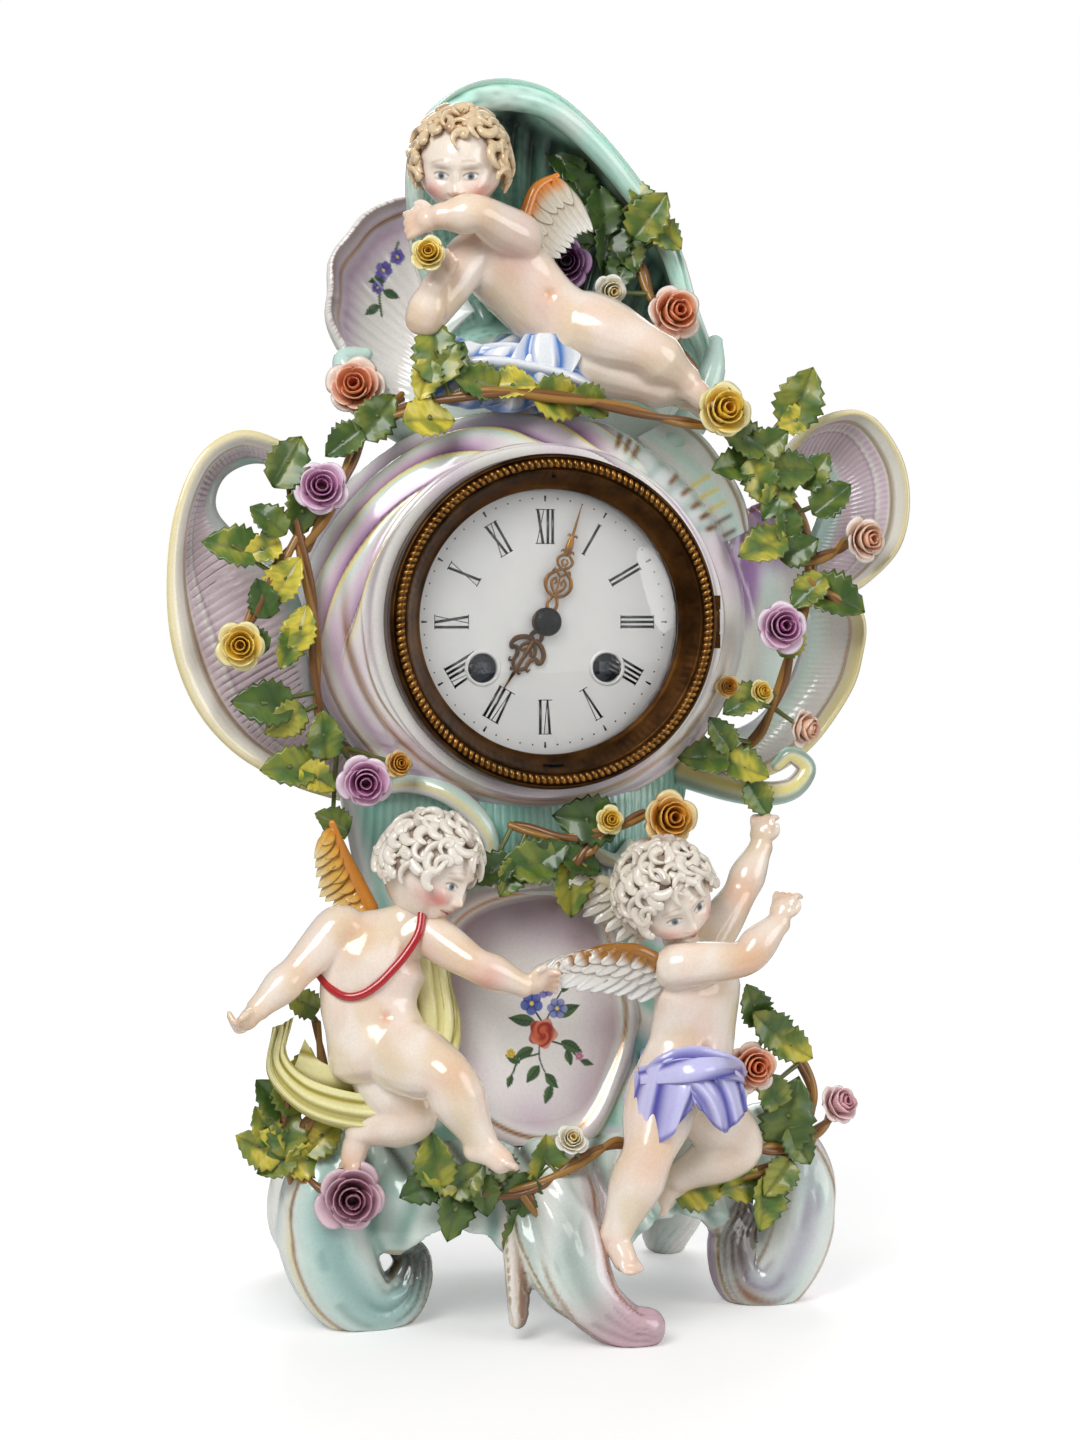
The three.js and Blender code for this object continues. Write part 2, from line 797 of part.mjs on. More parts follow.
const headSize = [18.5, 18, 19.5];
const torsoWidths = [8, 16.5, 16, 17.5];
const armWidths = [9, 8, 6.6, 4.6, 5];
const legWidths = [13, 12, 9.6, 6.4, 5];

function putto(drawnPose, grow = 0) {
  const pose = Object.fromEntries(
    Object.entries(drawnPose).map(([joint, at]) => {
      const limbs = Array.isArray(at[0]);
      return [joint, limbs ? at.map((path) => path.map(placed)) : placed(at)];
    }),
  );
  const torso = limb([pose.neck, pose.chest, pose.waist, pose.pelvis], torsoWidths, { sides: 7, steps: 4, grow });
  const head = ball(pose.head, headSize, { grow, around: 9, down: 7 });
  const arms = pose.arms.map((path) => limb([pose.chest, ...path], armWidths, { sides: 5, steps: 5, grow }));
  const legs = pose.legs.map((path) => limb([pose.pelvis, ...path], legWidths, { sides: 6, steps: 5, grow }));
  return join(torso, head, arms, legs);
}

// A feathered wing: a thin blade that widens from its root and rounds off at its tip.
function feather(root, middle, tip, widths, grow) {
  const points = [root, middle, tip].map((p) => vector(...placed(p)));
  const curve = new THREE.CatmullRomCurve3(points);
  const along = points[2].clone().sub(points[0]).normalize();
  const across = vector(0, 1, 0).cross(along).normalize();
  const steps = 3;
  return loft(
    Array.from({ length: steps + 1 }, (_, k) => {
      const t = k / steps;
      const half = widths[0] + (widths[1] - widths[0]) * Math.sin(Math.PI * Math.min(t * 0.72, 1));
      const centreAt = curve.getPoint(t);
      return Array.from({ length: 6 }, (_, i) => {
        const a = (2 * Math.PI * i) / 6;
        const side = (half + grow) * Math.cos(a) * (k === steps ? 0.45 : 1);
        return centreAt.clone().addScaledVector(across, side).add(vector(0, (1.4 + grow) * Math.sin(a), 0));
      });
    }),
  );
}

// Soft folds of the cloths.
const fold = (points, widths, grow) => limb(points.map(placed), widths, { sides: 5, steps: points.length, grow });

const leftFigure = (grow = 0) =>
  join(
    putto(leftPutto, grow),
    feather([-62, -50, 146], [-70, -50, 162], [-76, -52, 176], [5, 9], grow),
    fold([[-86, -62, 106], [-84, -56, 92], [-70, -56, 84], [-52, -52, 88]], [4, 7, 9, 8], grow),
    fold([[-44, -60, 140], [-40, -56, 118], [-46, -48, 96]], [3, 7, 11], grow),
  );

const rightFigure = (grow = 0) =>
  join(
    putto(rightPutto, grow),
    feather([36, -76, 124], [18, -76, 128], [-2, -74, 126], [6, 13], grow),
    feather([38, -58, 134], [22, -58, 146], [12, -60, 152], [5, 10], grow),
    fold([[28, -76, 82], [38, -78, 92], [54, -76, 90], [64, -66, 84]], [6, 11, 11, 8], grow),
    fold([[45, -56, 88], [45, -42, 92]], [12, 13], grow),
  );

const topFigure = (grow = 0) =>
  join(
    putto(topPutto, grow),
    feather([-8, -34, 376], [2, -32, 388], [8, -32, 402], [7, 11], grow),
    fold([[-34, -42, 338], [-14, -44, 337], [6, -42, 334], [20, -38, 331]], [8, 13, 13, 8], grow),
    fold([[-8, -30, 335], [12, -20, 326]], [16, 16], grow),
  );

// Flowers and leaves. A rose is an open cup of petals round a bud, and a leaf a folded blade.

function rose([x, y, z], radius, facing = [0, -1, 0]) {
  const cup = [
    [0, -0.7],
    [0.7, -0.45],
    [1, 0.15],
    [0.62, 0.05],
    [0.45, 0.5],
    [0, 0.35],
  ];
  const turnTo = new THREE.Quaternion().setFromUnitVectors(vector(0, 1, 0), vector(...facing).normalize());
  const lathe = new THREE.LatheGeometry(cup.map(([r, h]) => new THREE.Vector2(r * radius, h * radius)), 6);
  return solid(lathe.applyQuaternion(turnTo).translate(x, y, z));
}

// A leaf on a twig at a point, lying along a bearing seen from the front (0 is right, 90 is up).
function leaf(twigPoint, [x, y, z], degrees, length, lean = -0.25) {
  const a = (degrees * Math.PI) / 180;
  const along = vector(Math.cos(a), lean, Math.sin(a)).normalize();
  const across = vector(-Math.sin(a), 0, Math.cos(a));
  const up = across.clone().cross(along).normalize();
  const at = (s, w, h) =>
    vector(x, y, z).addScaledVector(along, s * length).addScaledVector(across, w * length).addScaledVector(up, h);
  const upper = [at(0.35, 0.36, -1), at(0.72, 0.24, -0.6), at(1, 0, 0.5)];
  const lower = [at(0.72, -0.24, -0.6), at(0.35, -0.36, -1)];
  const rim = [twigPoint, ...upper, ...lower];
  const points = [...rim, at(0.45, 0, 1.4), at(0.45, 0, -1.8)].flatMap((p) => [p.x, p.y, p.z]);
  const triangles = rim.flatMap((_, i) => [i, (i + 1) % 6, 6, (i + 1) % 6, i, 7]);
  return solidFrom(points, triangles);
}

// A three-sided stalk between two points.
function stalk(from, to, radius = 1.4) {
  const along = to.clone().sub(from).normalize();
  const side = vector(0.3, 0.2, 1).cross(along).normalize();
  const other = along.clone().cross(side);
  const ring = (at) =>
    [0, 1, 2].map((i) => {
      const a = (2 * Math.PI * i) / 3;
      return at.clone().addScaledVector(side, radius * Math.cos(a)).addScaledVector(other, radius * Math.sin(a));
    });
  return loft([ring(from), ring(to)]);
}

// A spray: twigs, with roses and leaves that each grow from the nearest point of a twig.
function spray({ twigs: drawnTwigs, roses = [], leaves = [] }) {
  const twigs = drawnTwigs.map((points) => points.map(placed));
  const curves = twigs.map((points) => new THREE.CatmullRomCurve3(points.map((p) => vector(...p))));
  const stations = curves.flatMap((curve) => curve.getPoints(16));
  const nearest = (point) => stations.reduce((a, b) => (b.distanceTo(point) < a.distanceTo(point) ? b : a));
  const wood = twigs.map((points) => limb(points, points.map(() => 1.9), { sides: 4, steps: points.length + 1 }));
  const flowers = roses.map(([drawnAt, radius, facing]) => {
    const at = placed(drawnAt);
    const heart = vector(...at);
    return join(rose(at, radius, facing), stalk(nearest(heart), heart));
  });
  const blades = leaves.map(([drawnAt, degrees, length, lean]) => {
    const at = placed(drawnAt);
    return leaf(nearest(vector(...at)), at, degrees, length, lean);
  });
  return mainPiece(join(wood, flowers, blades));
}

const leftGarland = {
  twigs: [
    [
      [-84, -24, 304],
      [-88, -44, 296],
      [-86, -47, 276],
      [-81, -46, 250],
      [-80, -44, 230],
      [-76, -38, 210],
      [-60, -24, 198],
    ],
    [[-84, -46, 272], [-76, -50, 286], [-68, -44, 302], [-60, -34, 318], [-48, -18, 322]],
  ],
  roses: [
    [[-65, -40, 328], 9.5, [-0.3, -1, 0.2]],
    [[-79, -54, 292], 9, [-0.1, -1, 0.1]],
    [[-106, -50, 239], 8.2, [-0.2, -1, 0]],
    [[-63, -52, 193], 9, [-0.1, -1, 0]],
  ],
  leaves: [
    [[-86, -50, 298], 70, 19],
    [[-92, -50, 274], 165, 18],
    [[-84, -52, 254], 85, 17],
    [[-86, -50, 222], 175, 20],
    [[-80, -48, 200], 165, 18],
    [[-72, -46, 206], 80, 16],
    [[-64, -40, 318], 35, 16],
  ],
};

const topGarland = {
  twigs: [[[-44, -52, 322], [-22, -58, 326], [0, -60, 325], [22, -60, 322], [42, -58, 318], [58, -54, 316]]],
  roses: [[[62, -60, 322], 9.5, [0.1, -1, 0.1]]],
  leaves: [
    [[-30, -58, 326], 100, 18],
    [[-14, -62, 327], 10, 16],
    [[16, -62, 322], 5, 17],
    [[-36, -56, 320], -25, 14],
  ],
};

const crestGarland = {
  twigs: [[[22, 0, 408], [34, 0, 394], [44, -4, 380], [48, -14, 366], [54, -24, 350], [60, -30, 338]]],
  roses: [
    [[15, -18, 376], 9, [-0.2, -1, 0]],
    [[53, -34, 358], 9.5, [0.2, -1, 0]],
  ],
  leaves: [
    [[22, -4, 400], 120, 19],
    [[34, -6, 392], 60, 20],
    [[40, -8, 384], 20, 18],
    [[44, -12, 374], -10, 17],
  ],
};

const rightGarland = {
  twigs: [
    [
      [85, -24, 300],
      [90, -43, 293],
      [98, -48, 276],
      [97, -49, 258],
      [92, -48, 240],
      [88, -44, 222],
      [80, -38, 204],
      [62, -26, 192],
    ],
    [[96, -49, 268], [106, -50, 272], [114, -38, 277]],
  ],
  roses: [
    [[116, -58, 276], 7.6, [0.2, -1, 0]],
    [[84, -60, 245], 9.6, [0, -1, 0.1]],
    [[96, -50, 210], 7, [0.7, -1, -0.2]],
  ],
  leaves: [
    [[84, -50, 300], 75, 20],
    [[82, -52, 298], 190, 18],
    [[84, -54, 290], -50, 19],
    [[100, -52, 270], 0, 16],
    [[92, -54, 264], 170, 18],
    [[100, -54, 252], -20, 20],
    [[84, -50, 222], 190, 16],
    [[76, -48, 204], 200, 17],
  ],
};

const centreSwag = {
  twigs: [[[-12, -52, 176], [4, -58, 172], [20, -60, 174], [34, -60, 180]]],
  roses: [
    [[42, -64, 178], 9, [0.1, -1, 0.1]],
    [[24, -62, 180], 5, [0, -1, 0.2]],
  ],
  leaves: [
    [[14, -60, 176], 150, 20],
    [[8, -60, 168], -60, 17],
    [[-6, -56, 170], 215, 15],
  ],
};

const baseLeftSpray = {
  twigs: [
    [[-88, -44, 52], [-92, -46, 66], [-92, -50, 82], [-90, -52, 92]],
    [[-88, -46, 56], [-80, -54, 52], [-72, -56, 52]],
  ],
  roses: [[[-70, -62, 48], 11.5, [-0.1, -1, 0]]],
  leaves: [
    [[-92, -50, 62], 130, 18],
    [[-90, -52, 64], 55, 18],
    [[-92, -52, 78], 110, 18],
    [[-88, -52, 84], 50, 15],
  ],
};

const baseCentreSpray = {
  twigs: [
    [[-42, -62, 56], [-26, -68, 50], [-10, -72, 52], [6, -72, 60], [20, -70, 66]],
    [[-12, -72, 50], [-4, -76, 38], [2, -82, 26]],
  ],
  roses: [[[2, -76, 68], 4.8, [0, -1, 0.6]]],
  leaves: [
    [[-40, -66, 58], 240, 18],
    [[-32, -68, 54], 260, 19],
    [[-14, -74, 54], 70, 17],
    [[-10, -74, 48], 200, 16],
    [[0, -80, 34], 220, 15],
  ],
};

const baseRightSpray = {
  twigs: [
    [[62, -60, 50], [78, -58, 52], [90, -56, 60], [98, -54, 76], [92, -52, 92], [80, -52, 100]],
    [[92, -56, 60], [102, -54, 66], [108, -52, 74]],
  ],
  roses: [
    [[76, -62, 90], 8.6, [0, -1, 0.1]],
    [[110, -54, 76], 7, [0.5, -1, 0.5]],
  ],
  leaves: [
    [[92, -58, 66], 85, 21],
    [[84, -56, 98], 60, 16],
    [[80, -60, 54], 260, 19],
    [[88, -60, 56], 290, 17],
  ],
};

// Dial, bezel and hands

const flangeFront = caseFront - 2.5;
const sleeveRadius = boreRadius - 0.6;
const sleeveWall = 1.8;
const sleeveEnd = frontPlateY + 4;

function dialRing() {
  const sleeve = sleeveRadius;
  return turned(
    [
      [dialRadius + fitGap, flangeFront],
      [bezelRadius - 1, flangeFront],
      [bezelRadius - 1, caseFront - fitGap],
      [sleeve, caseFront - fitGap],
      [sleeve, sleeveEnd],
      [sleeve - sleeveWall, sleeveEnd],
      [sleeve - sleeveWall, dialBack + 1.9],
      [plateRadius - 2.5, dialBack + 1.9],
      [plateRadius - 2.5, dialBack + fitGap],
      [dialRadius + fitGap, dialBack + fitGap],
      [dialRadius + fitGap, flangeFront],
    ],
    roundSides,
  );
}

function dial() {
  const disc = turned(
    [
      [0, dialFront],
      [dialRadius - 1.2, dialFront],
      [dialRadius, dialFront + 0.5],
      [dialRadius, dialBack],
      [0, dialBack],
    ],
    roundSides,
  );
  const holes = [
    rod(0, 0, dialHoleRadius, dialFront - 2, dialBack + 2, 10),
    ...[-1, 1].map((side) => rod(side * windingX, windingZ, windingHoleRadius, dialFront - 2, dialBack + 2, 12)),
  ];
  return cut(disc, holes);
}

const bezelBack = flangeFront - fitGap;
const bezelFront = bezelBack - bezelDepth;
const glassBack = bezelBack - 2;
const glassRadius = bezelOpening + 3;

function bezel() {
  const ring = turned(
    [
      [bezelOpening, glassBack - glassThickness - fitGap],
      [bezelOpening + 5.5, bezelFront + 2.5],
      [bezelOpening + 6.5, bezelFront + 0.6],
      [bezelOpening + 8.7, bezelFront],
      [bezelRadius - 1.4, bezelFront + 1],
      [bezelRadius, bezelFront + 5],
      [bezelRadius, bezelBack],
      [glassRadius + fitGap, bezelBack],
      [glassRadius + fitGap, glassBack - glassThickness - fitGap],
      [bezelOpening, glassBack - glassThickness - fitGap],
    ],
    roundSides,
  );
  return cut(join(ring, hingeTube()), hingeBore());
}

// The bezel hinges at three o'clock on a pin that stands on the collar of the case.
const hingePinX = bezelRadius + 1.6;
const hingePinY = bezelBack - 2.4;
const hingeTubeRadius = 2.2;
const hingePinRadius = 0.9;

const hingeTubeHalf = 4;
const hingeEarHeight = 5;

// An upright round bar at (x, y), centred on the dial's height or at z from it.
function upright(x, y, radius, height, z = 0, sides = 10) {
  const bar = new THREE.CylinderGeometry(radius, radius, height, sides).rotateX(Math.PI / 2);
  return solid(bar.translate(x, y, dialHeight + z));
}

const hingeTube = () => upright(hingePinX, hingePinY, hingeTubeRadius, 2 * hingeTubeHalf, 0, 12);
const hingeBore = () => upright(hingePinX, hingePinY, hingePinRadius + runningGap, 4 * hingeTubeHalf);

function bezelHinge() {
  const outer = hingeTubeHalf + fitGap + hingeEarHeight;
  const ears = [-1, 1].map((side) => {
    const ends = [side * (hingeTubeHalf + fitGap), side * outer].sort((a, b) => a - b);
    const earFront = hingePinY - hingePinRadius - 0.4;
    return block([hingePinX - 1.3, hingePinX + 2], [earFront, caseFront - fitGap], ends.map((z) => dialHeight + z));
  });
  const leafFront = hingePinY + hingeTubeRadius + runningGap;
  const leafPlate = block(
    [hingePinX + 0.4, hingePinX + 2],
    [leafFront, caseFront - fitGap],
    [dialHeight - outer, dialHeight + outer],
  );
  return join(upright(hingePinX, hingePinY, hingePinRadius, 2 * outer, 0, 8), ears, leafPlate);
}

const bezelGlass = () =>
  turned(
    [
      [0, glassBack - glassThickness],
      [glassRadius, glassBack - glassThickness],
      [glassRadius, glassBack],
      [0, glassBack],
    ],
    roundSides,
  );

const minuteAngle = 17; // clockwise from twelve
const hourAngle = 213;
const hourHandY = dialFront - 1;
const minuteHandY = hourHandY - 1.6;
const handThickness = 0.7;
const hourHandLength = 28.5;
const minuteHandLength = 43;
const pipeRadius = 2.1;
const hourPipeRadius = 3.1;

// A pierced hand: half-widths along its length, with an eye cut through its widest part.
function hand(degrees, length, outline, eye, hub, bore, backY) {
  const side = outline.map(([share, half]) => [share * length, half]);
  const points = [...side, ...side.slice().reverse().map(([s, half]) => [s, -half])];
  const a = ((90 - degrees) * Math.PI) / 180;
  const place = ([s, w]) => new THREE.Vector2(s * Math.cos(a) - w * Math.sin(a), s * Math.sin(a) + w * Math.cos(a));
  const blade = plate(new THREE.Shape(points.map(place)), backY, handThickness);
  const [at, radius] = eye;
  const [ex, ez] = place([at * length, 0]).toArray();
  const boss = rod(0, 0, hub, backY - handThickness, backY, 12);
  const eyeHole = rod(ex, ez, radius, backY - 3, backY + 3, 8);
  return cut(join(blade, boss), eyeHole, rod(0, 0, bore, backY - 3, backY + 3, 10));
}

const minuteHand = () =>
  hand(
    minuteAngle,
    minuteHandLength,
    [
      [0, 1.4],
      [0.22, 1.6],
      [0.28, 3.6],
      [0.36, 4.4],
      [0.44, 3.2],
      [0.5, 1.3],
      [0.55, 2.4],
      [0.6, 1.1],
      [0.66, 1.7],
      [0.71, 0.9],
      [1, 0.35],
    ],
    [0.36, 2.1],
    4,
    pipeRadius + fitGap,
    minuteHandY,
  );

const hourHand = () =>
  hand(
    hourAngle,
    hourHandLength,
    [
      [0, 1.6],
      [0.26, 1.7],
      [0.34, 4.2],
      [0.45, 5.6],
      [0.55, 3.8],
      [0.63, 2.4],
      [0.68, 3.1],
      [0.74, 1.2],
      [1, 0.4],
    ],
    [0.45, 2.3],
    5,
    hourPipeRadius + fitGap,
    hourHandY,
  );

const collet = () =>
  cut(
    turned(
      [
        [0, minuteHandY - handThickness - 2.2],
        [3.2, minuteHandY - handThickness - 2],
        [5, minuteHandY - handThickness - 0.9],
        [5, minuteHandY - handThickness - fitGap],
        [0, minuteHandY - handThickness - fitGap],
      ],
      10,
    ),
    rod(0, 0, arborRadius + fitGap, -80, 0, 6),
  );

// Motion work between the dial and the front plate

const cannonGear = gearOf(6, 18, motionDistance);
const minuteGear = gearOf(18, 6, motionDistance);
const minutePinionGear = gearOf(6, 24, motionDistance);
const hourGear = gearOf(24, 6, motionDistance);
const minuteWheelTurn = meshTurn(cannonGear, 0, minuteGear, centre, motionAt);
const hourWheelTurn = meshTurn(minutePinionGear, minuteWheelTurn, hourGear, motionAt, centre);
const cannonY = frontPlateY - 1;

function cannonPinion() {
  const pipe = rod(0, 0, pipeRadius, minuteHandY - handThickness, cannonY, 8);
  const teeth = pinion(cannonGear, 0, centre, cannonY, 2.2);
  return cut(join(pipe, teeth), rod(0, 0, arborRadius + fitGap, -80, 0, 6));
}

function minuteWheel() {
  const disc = wheel(minuteGear, minuteWheelTurn, motionAt, cannonY - 0.3, 1.4, 4);
  const leaves = pinion(minutePinionGear, minuteWheelTurn, motionAt, cannonY - 0.5, 6);
  return cut(join(disc, leaves), rod(...motionAt, 0.8 + runningGap, -80, 0, 8));
}

function hourWheel() {
  const disc = plate(gearShape(hourGear, hourWheelTurn, ...centre), cannonY - 4, 1.2);
  const pipe = rod(0, 0, hourPipeRadius, hourHandY - handThickness, cannonY - 4, 8);
  return cut(join(disc, pipe), rod(0, 0, pipeRadius + runningGap, -80, 0, 8));
}

// Movement frame

const arborPlaces = () => [centre, secondAt, thirdAt, escapeAt, palletsAt, strikeSecondAt, pinWheelAt, flyAt];
const pillarAngles = [40, 168, -70, -110];
const barrelPlaces = () => [goingBarrelAt, strikeBarrelAt];
const pivotHoles = (from, to, barrelHole) => [
  ...arborPlaces().map(([x, z]) => rod(x, z, arborRadius + runningGap, from, to, 6)),
  ...barrelPlaces().map(([x, z]) => rod(x, z, barrelHole + runningGap, from, to, 8)),
];

function frontPlate() {
  const disc = rod(0, 0, plateRadius, frontPlateY, frontPlateBack, roundSides);
  const dialFeet = [60, 180, 300].map((a) =>
    rod(...bearing(centre, plateRadius - 1.5, a), 1.2, dialBack + 2.2, frontPlateY + 1, 5),
  );
  const stud = rod(...motionAt, 0.8, cannonY - 6.2, frontPlateY + 1, 6);
  const holes = pivotHoles(frontPlateY - 1, frontPlateBack + 1, windingShaftRadius);
  return join(cut(join(disc, dialFeet), holes), stud);
}

function backPlate() {
  const disc = join(rod(0, 0, plateRadius, backPlateY, backPlateBack, roundSides), pillarAngles.map(pillar));
  const hammerStud = rod(...hammerAt, 1, backPlateY + 1, backPlateBack + 4.5, 6);
  return join(cut(disc, pivotHoles(backPlateY - 1, backPlateBack + 1, windingTailRadius)), hammerStud);
}

// A pillar, riveted in the back plate and standing against the front one.
function pillar(degrees) {
  const [x, z] = bearing(centre, pillarCircle, degrees);
  return rod(x, z, pillarRadius, frontPlateBack + fitGap, backPlateY + 1, 6);
}

// Springs, barrels and trains

function barrel(at) {
  const drumBody = rod(...at, barrelRadius, barrelFront, greatWheelY - 1, 20);
  const teeth = plate(gearShape(greatGear, 0, ...at), greatWheelY, greatWheelThickness);
  const bore = rod(...at, windingShaftRadius + runningGap, barrelFront - 1, greatWheelY + 1, 8);
  return cut(join(drumBody, teeth), bore);
}

// The winding arbor: a square for the key, a ratchet in front of the plate and a thin back pivot.
function windingArbor([x, z]) {
  const half = windingSquare / 2;
  const height = dialHeight + z;
  const square = block([x - half, x + half], [squareTip, frontPlateY - 1], [height - half, height + half]);
  const ratchet = plate(gearShape({ teeth: 11, pitch: 6.2, module: 0.9 }, 0, x, z), frontPlateY - 0.5, 1.4);
  const shaft = rod(x, z, windingShaftRadius, frontPlateY - 1, greatWheelY, 8);
  const tail = rod(x, z, windingTailRadius, greatWheelY - 1, backPlateBack - pivotEnd, 6);
  return join(square, ratchet, shaft, tail);
}

const secondWheel = () =>
  join(
    arbor(secondAt),
    pinion(secondPinionGear, secondTurn, secondAt, greatWheelY + 0.7, 4),
    wheel(secondGear, secondTurn, secondAt, secondY, trainThickness),
  );

const centreWheel = () =>
  join(
    rod(...centre, arborRadius, minuteHandY - handThickness - 1.9, backPlateBack - pivotEnd, 6),
    pinion(centrePinionGear, centrePinionTurn, centre, secondY + 0.7, 2.8),
    wheel(centreGear, centrePinionTurn, centre, centreWheelY, trainThickness),
  );

const thirdWheel = () =>
  join(
    arbor(thirdAt),
    pinion(thirdPinionGear, thirdPinionTurn, thirdAt, centreWheelY + 1, 3.4),
    wheel(thirdGear, thirdPinionTurn, thirdAt, thirdY, trainThickness, 3),
  );

const escapeWheel = () =>
  join(
    arbor(escapeAt),
    pinion(escapePinionGear, escapePinionTurn, escapeAt, thirdY + 1, 3.4),
    plate(gearShape({ teeth: 15, pitch: escapeRadius - 0.7, module: 0.9 }, 0, ...escapeAt), escapeY, 1),
  );

function pallets() {
  const [x, z] = palletsAt;
  const tip = 4.6;
  const drop = 3.6;
  const anchor = new THREE.Shape([
    [-tip, z - drop],
    [-tip - 1.1, z - drop + 0.6],
    [-1.6, z + 1.5],
    [1.6, z + 1.5],
    [tip + 1.1, z - drop + 0.6],
    [tip, z - drop],
    [0, z - 1],
  ].map(([px, pz]) => new THREE.Vector2(x + px, pz)));
  const crutch = block([-0.9, 0.9], [backPlateBack + 1, backPlateBack + 2.2], [dialHeight + 13, dialHeight + z]);
  const fork = [-1, 1].map((side) =>
    block(
      side < 0 ? [-2.5, -1.4] : [1.4, 2.5],
      [backPlateBack + 1, backPlateBack + 5],
      [dialHeight + 11.5, dialHeight + 13.5],
    ),
  );
  const across = [dialHeight + 11.5, dialHeight + 13.5];
  const bridge = block([-2.5, 2.5], [backPlateBack + 1, backPlateBack + 2.2], across);
  const shaft = rod(x, z, arborRadius, frontPlateY + pivotEnd, backPlateBack + 2, 6);
  return join(shaft, plate(anchor, escapeY, 1), crutch, bridge, fork);
}

const rodY = backPlateBack + 4; // middle of the pendulum rod

function suspensionCock() {
  const z = dialHeight + suspensionZ;
  const foot = block([-6, 6], [backPlateBack + fitGap, backPlateBack + 1.8], [z + 0.4, z + 4.5]);
  const arms = [-1, 1].map((side) =>
    block(side < 0 ? [-3.6, -1.9] : [1.9, 3.6], [backPlateBack + 1, rodY + 2], [z - 0.5, z + 3.5]),
  );
  const topBridge = block([-3.6, 3.6], [rodY - 1.8, rodY + 2], [z + 2, z + 3.5]);
  return join(foot, arms, topBridge);
}

function pendulumRod() {
  const z = dialHeight + suspensionZ;
  const spring = block([-1.4, 1.4], [rodY - 0.2, rodY + 0.2], [z - 9, z + 1.6]);
  const hook = block([-1.3, 1.3], [rodY - 0.9, rodY + 0.9], [z - 12, z - 7]);
  const shaft = block([-0.8, 0.8], [rodY - 0.6, rodY + 0.6], [z - pendulumLength - bobRadius - 5, z - 10]);
  const nut = new THREE.CylinderGeometry(2.6, 2.6, 2, 10).rotateX(Math.PI / 2);
  return join(spring, hook, shaft, solid(nut.translate(0, rodY, z - pendulumLength - bobRadius - 1.5)));
}

function pendulumBob() {
  const z = suspensionZ - pendulumLength;
  const half = bobThickness / 2;
  const lens = turned(
    [
      [0, rodY - half],
      [bobRadius * 0.5, rodY - half * 0.8],
      [bobRadius * 0.85, rodY - half * 0.4],
      [bobRadius, rodY],
      [bobRadius * 0.85, rodY + half * 0.4],
      [bobRadius * 0.5, rodY + half * 0.8],
      [0, rodY + half],
    ],
    16,
    0,
    z,
  );
  const slot = block([-1.1, 1.1], [rodY - 0.9, rodY + 0.9], [dialHeight + z - 30, dialHeight + z + 30]);
  return cut(lens, slot);
}

const strikeSecondWheel = () =>
  join(
    rod(...strikeSecondAt, arborRadius, frontPlateY + pivotEnd, backPlateBack + 2.6, 6),
    pinion(secondPinionGear, strikeSecondTurn, strikeSecondAt, greatWheelY + 0.7, 4),
    wheel(strikeSecondGear, strikeSecondTurn, strikeSecondAt, strikeSecondY + 0.1, trainThickness),
    countWheel(),
  );

// The count wheel, outside the back plate: a disc whose notches end each hour's blows.
function countWheel() {
  const blows = [1, 2, 3, 4, 5, 6, 7, 8, 9, 10, 11, 12];
  const total = 90;
  const [rim, floor] = [13, 11.4];
  const points = [];
  let passed = 0;
  for (const count of blows) {
    const start = (2 * Math.PI * passed) / total;
    const end = (2 * Math.PI * (passed + count + 0.5)) / total - 0.05;
    passed += count + 1;
    points.push([floor, start - 0.05], [rim, start], [rim, end], [floor, end + 0.02]);
  }
  const [x, z] = strikeSecondAt;
  const shape = new THREE.Shape(points.map(([r, a]) => new THREE.Vector2(x + r * Math.cos(a), z + r * Math.sin(a))));
  return plate(shape, backPlateBack + 2.2, 1.2);
}

function pinWheel() {
  const pins = Array.from({ length: 8 }, (_, k) =>
    rod(...bearing(pinWheelAt, 5.4, 45 * k + 10), 0.5, pinWheelY - 0.2, pinWheelY + 1.6, 3),
  );
  return join(
    arbor(pinWheelAt),
    pinion(pinWheelPinionGear, pinWheelTurn, pinWheelAt, strikeSecondY + 1, 3),
    plate(gearShape(pinGear, pinWheelTurn, ...pinWheelAt), pinWheelY, trainThickness),
    pins,
  );
}

function fly() {
  const [x, z] = flyAt;
  const height = dialHeight + z;
  const depth = [frontPlateBack + 6, frontPlateBack + 22];
  const vane = block([x - 3.4, x + 3.4], depth, [height - 0.35, height + 0.35]);
  return join(arbor(flyAt), pinion(flyPinionGear, flyTurn, flyAt, pinWheelY + 1, 3), vane);
}

// Bell and hammer

const bellMouth = backPlateBack + 10;
const bellCrown = bellMouth + bellDepth;

function bell() {
  const crown = bellCrown;
  return turned(
    [
      [1.4, crown - 1.4],
      [1.4, crown],
      [14, crown - 0.8],
      [25, crown - 5.5],
      [bellRadius, bellMouth],
      [bellRadius - 1.4, bellMouth],
      [24, crown - 6.2],
      [13.5, crown - 2.2],
      [1.4, crown - 1.4],
    ],
    20,
  );
}

// A thin square bar between two points.
function bar(from, to, half) {
  const along = vector(...to).sub(vector(...from)).normalize();
  const side = vector(0.1, 0.2, 1).cross(along).normalize();
  const other = along.clone().cross(side);
  const ring = (at) =>
    [0, 1, 2, 3].map((i) => {
      const a = (Math.PI * (i + 0.5)) / 2;
      return vector(...at).addScaledVector(side, half * Math.cos(a)).addScaledVector(other, half * Math.sin(a));
    });
  return loft([ring(from), ring(to)]);
}

const bellArmY = backPlateBack + 8;
const bellFoot = [22, -32];

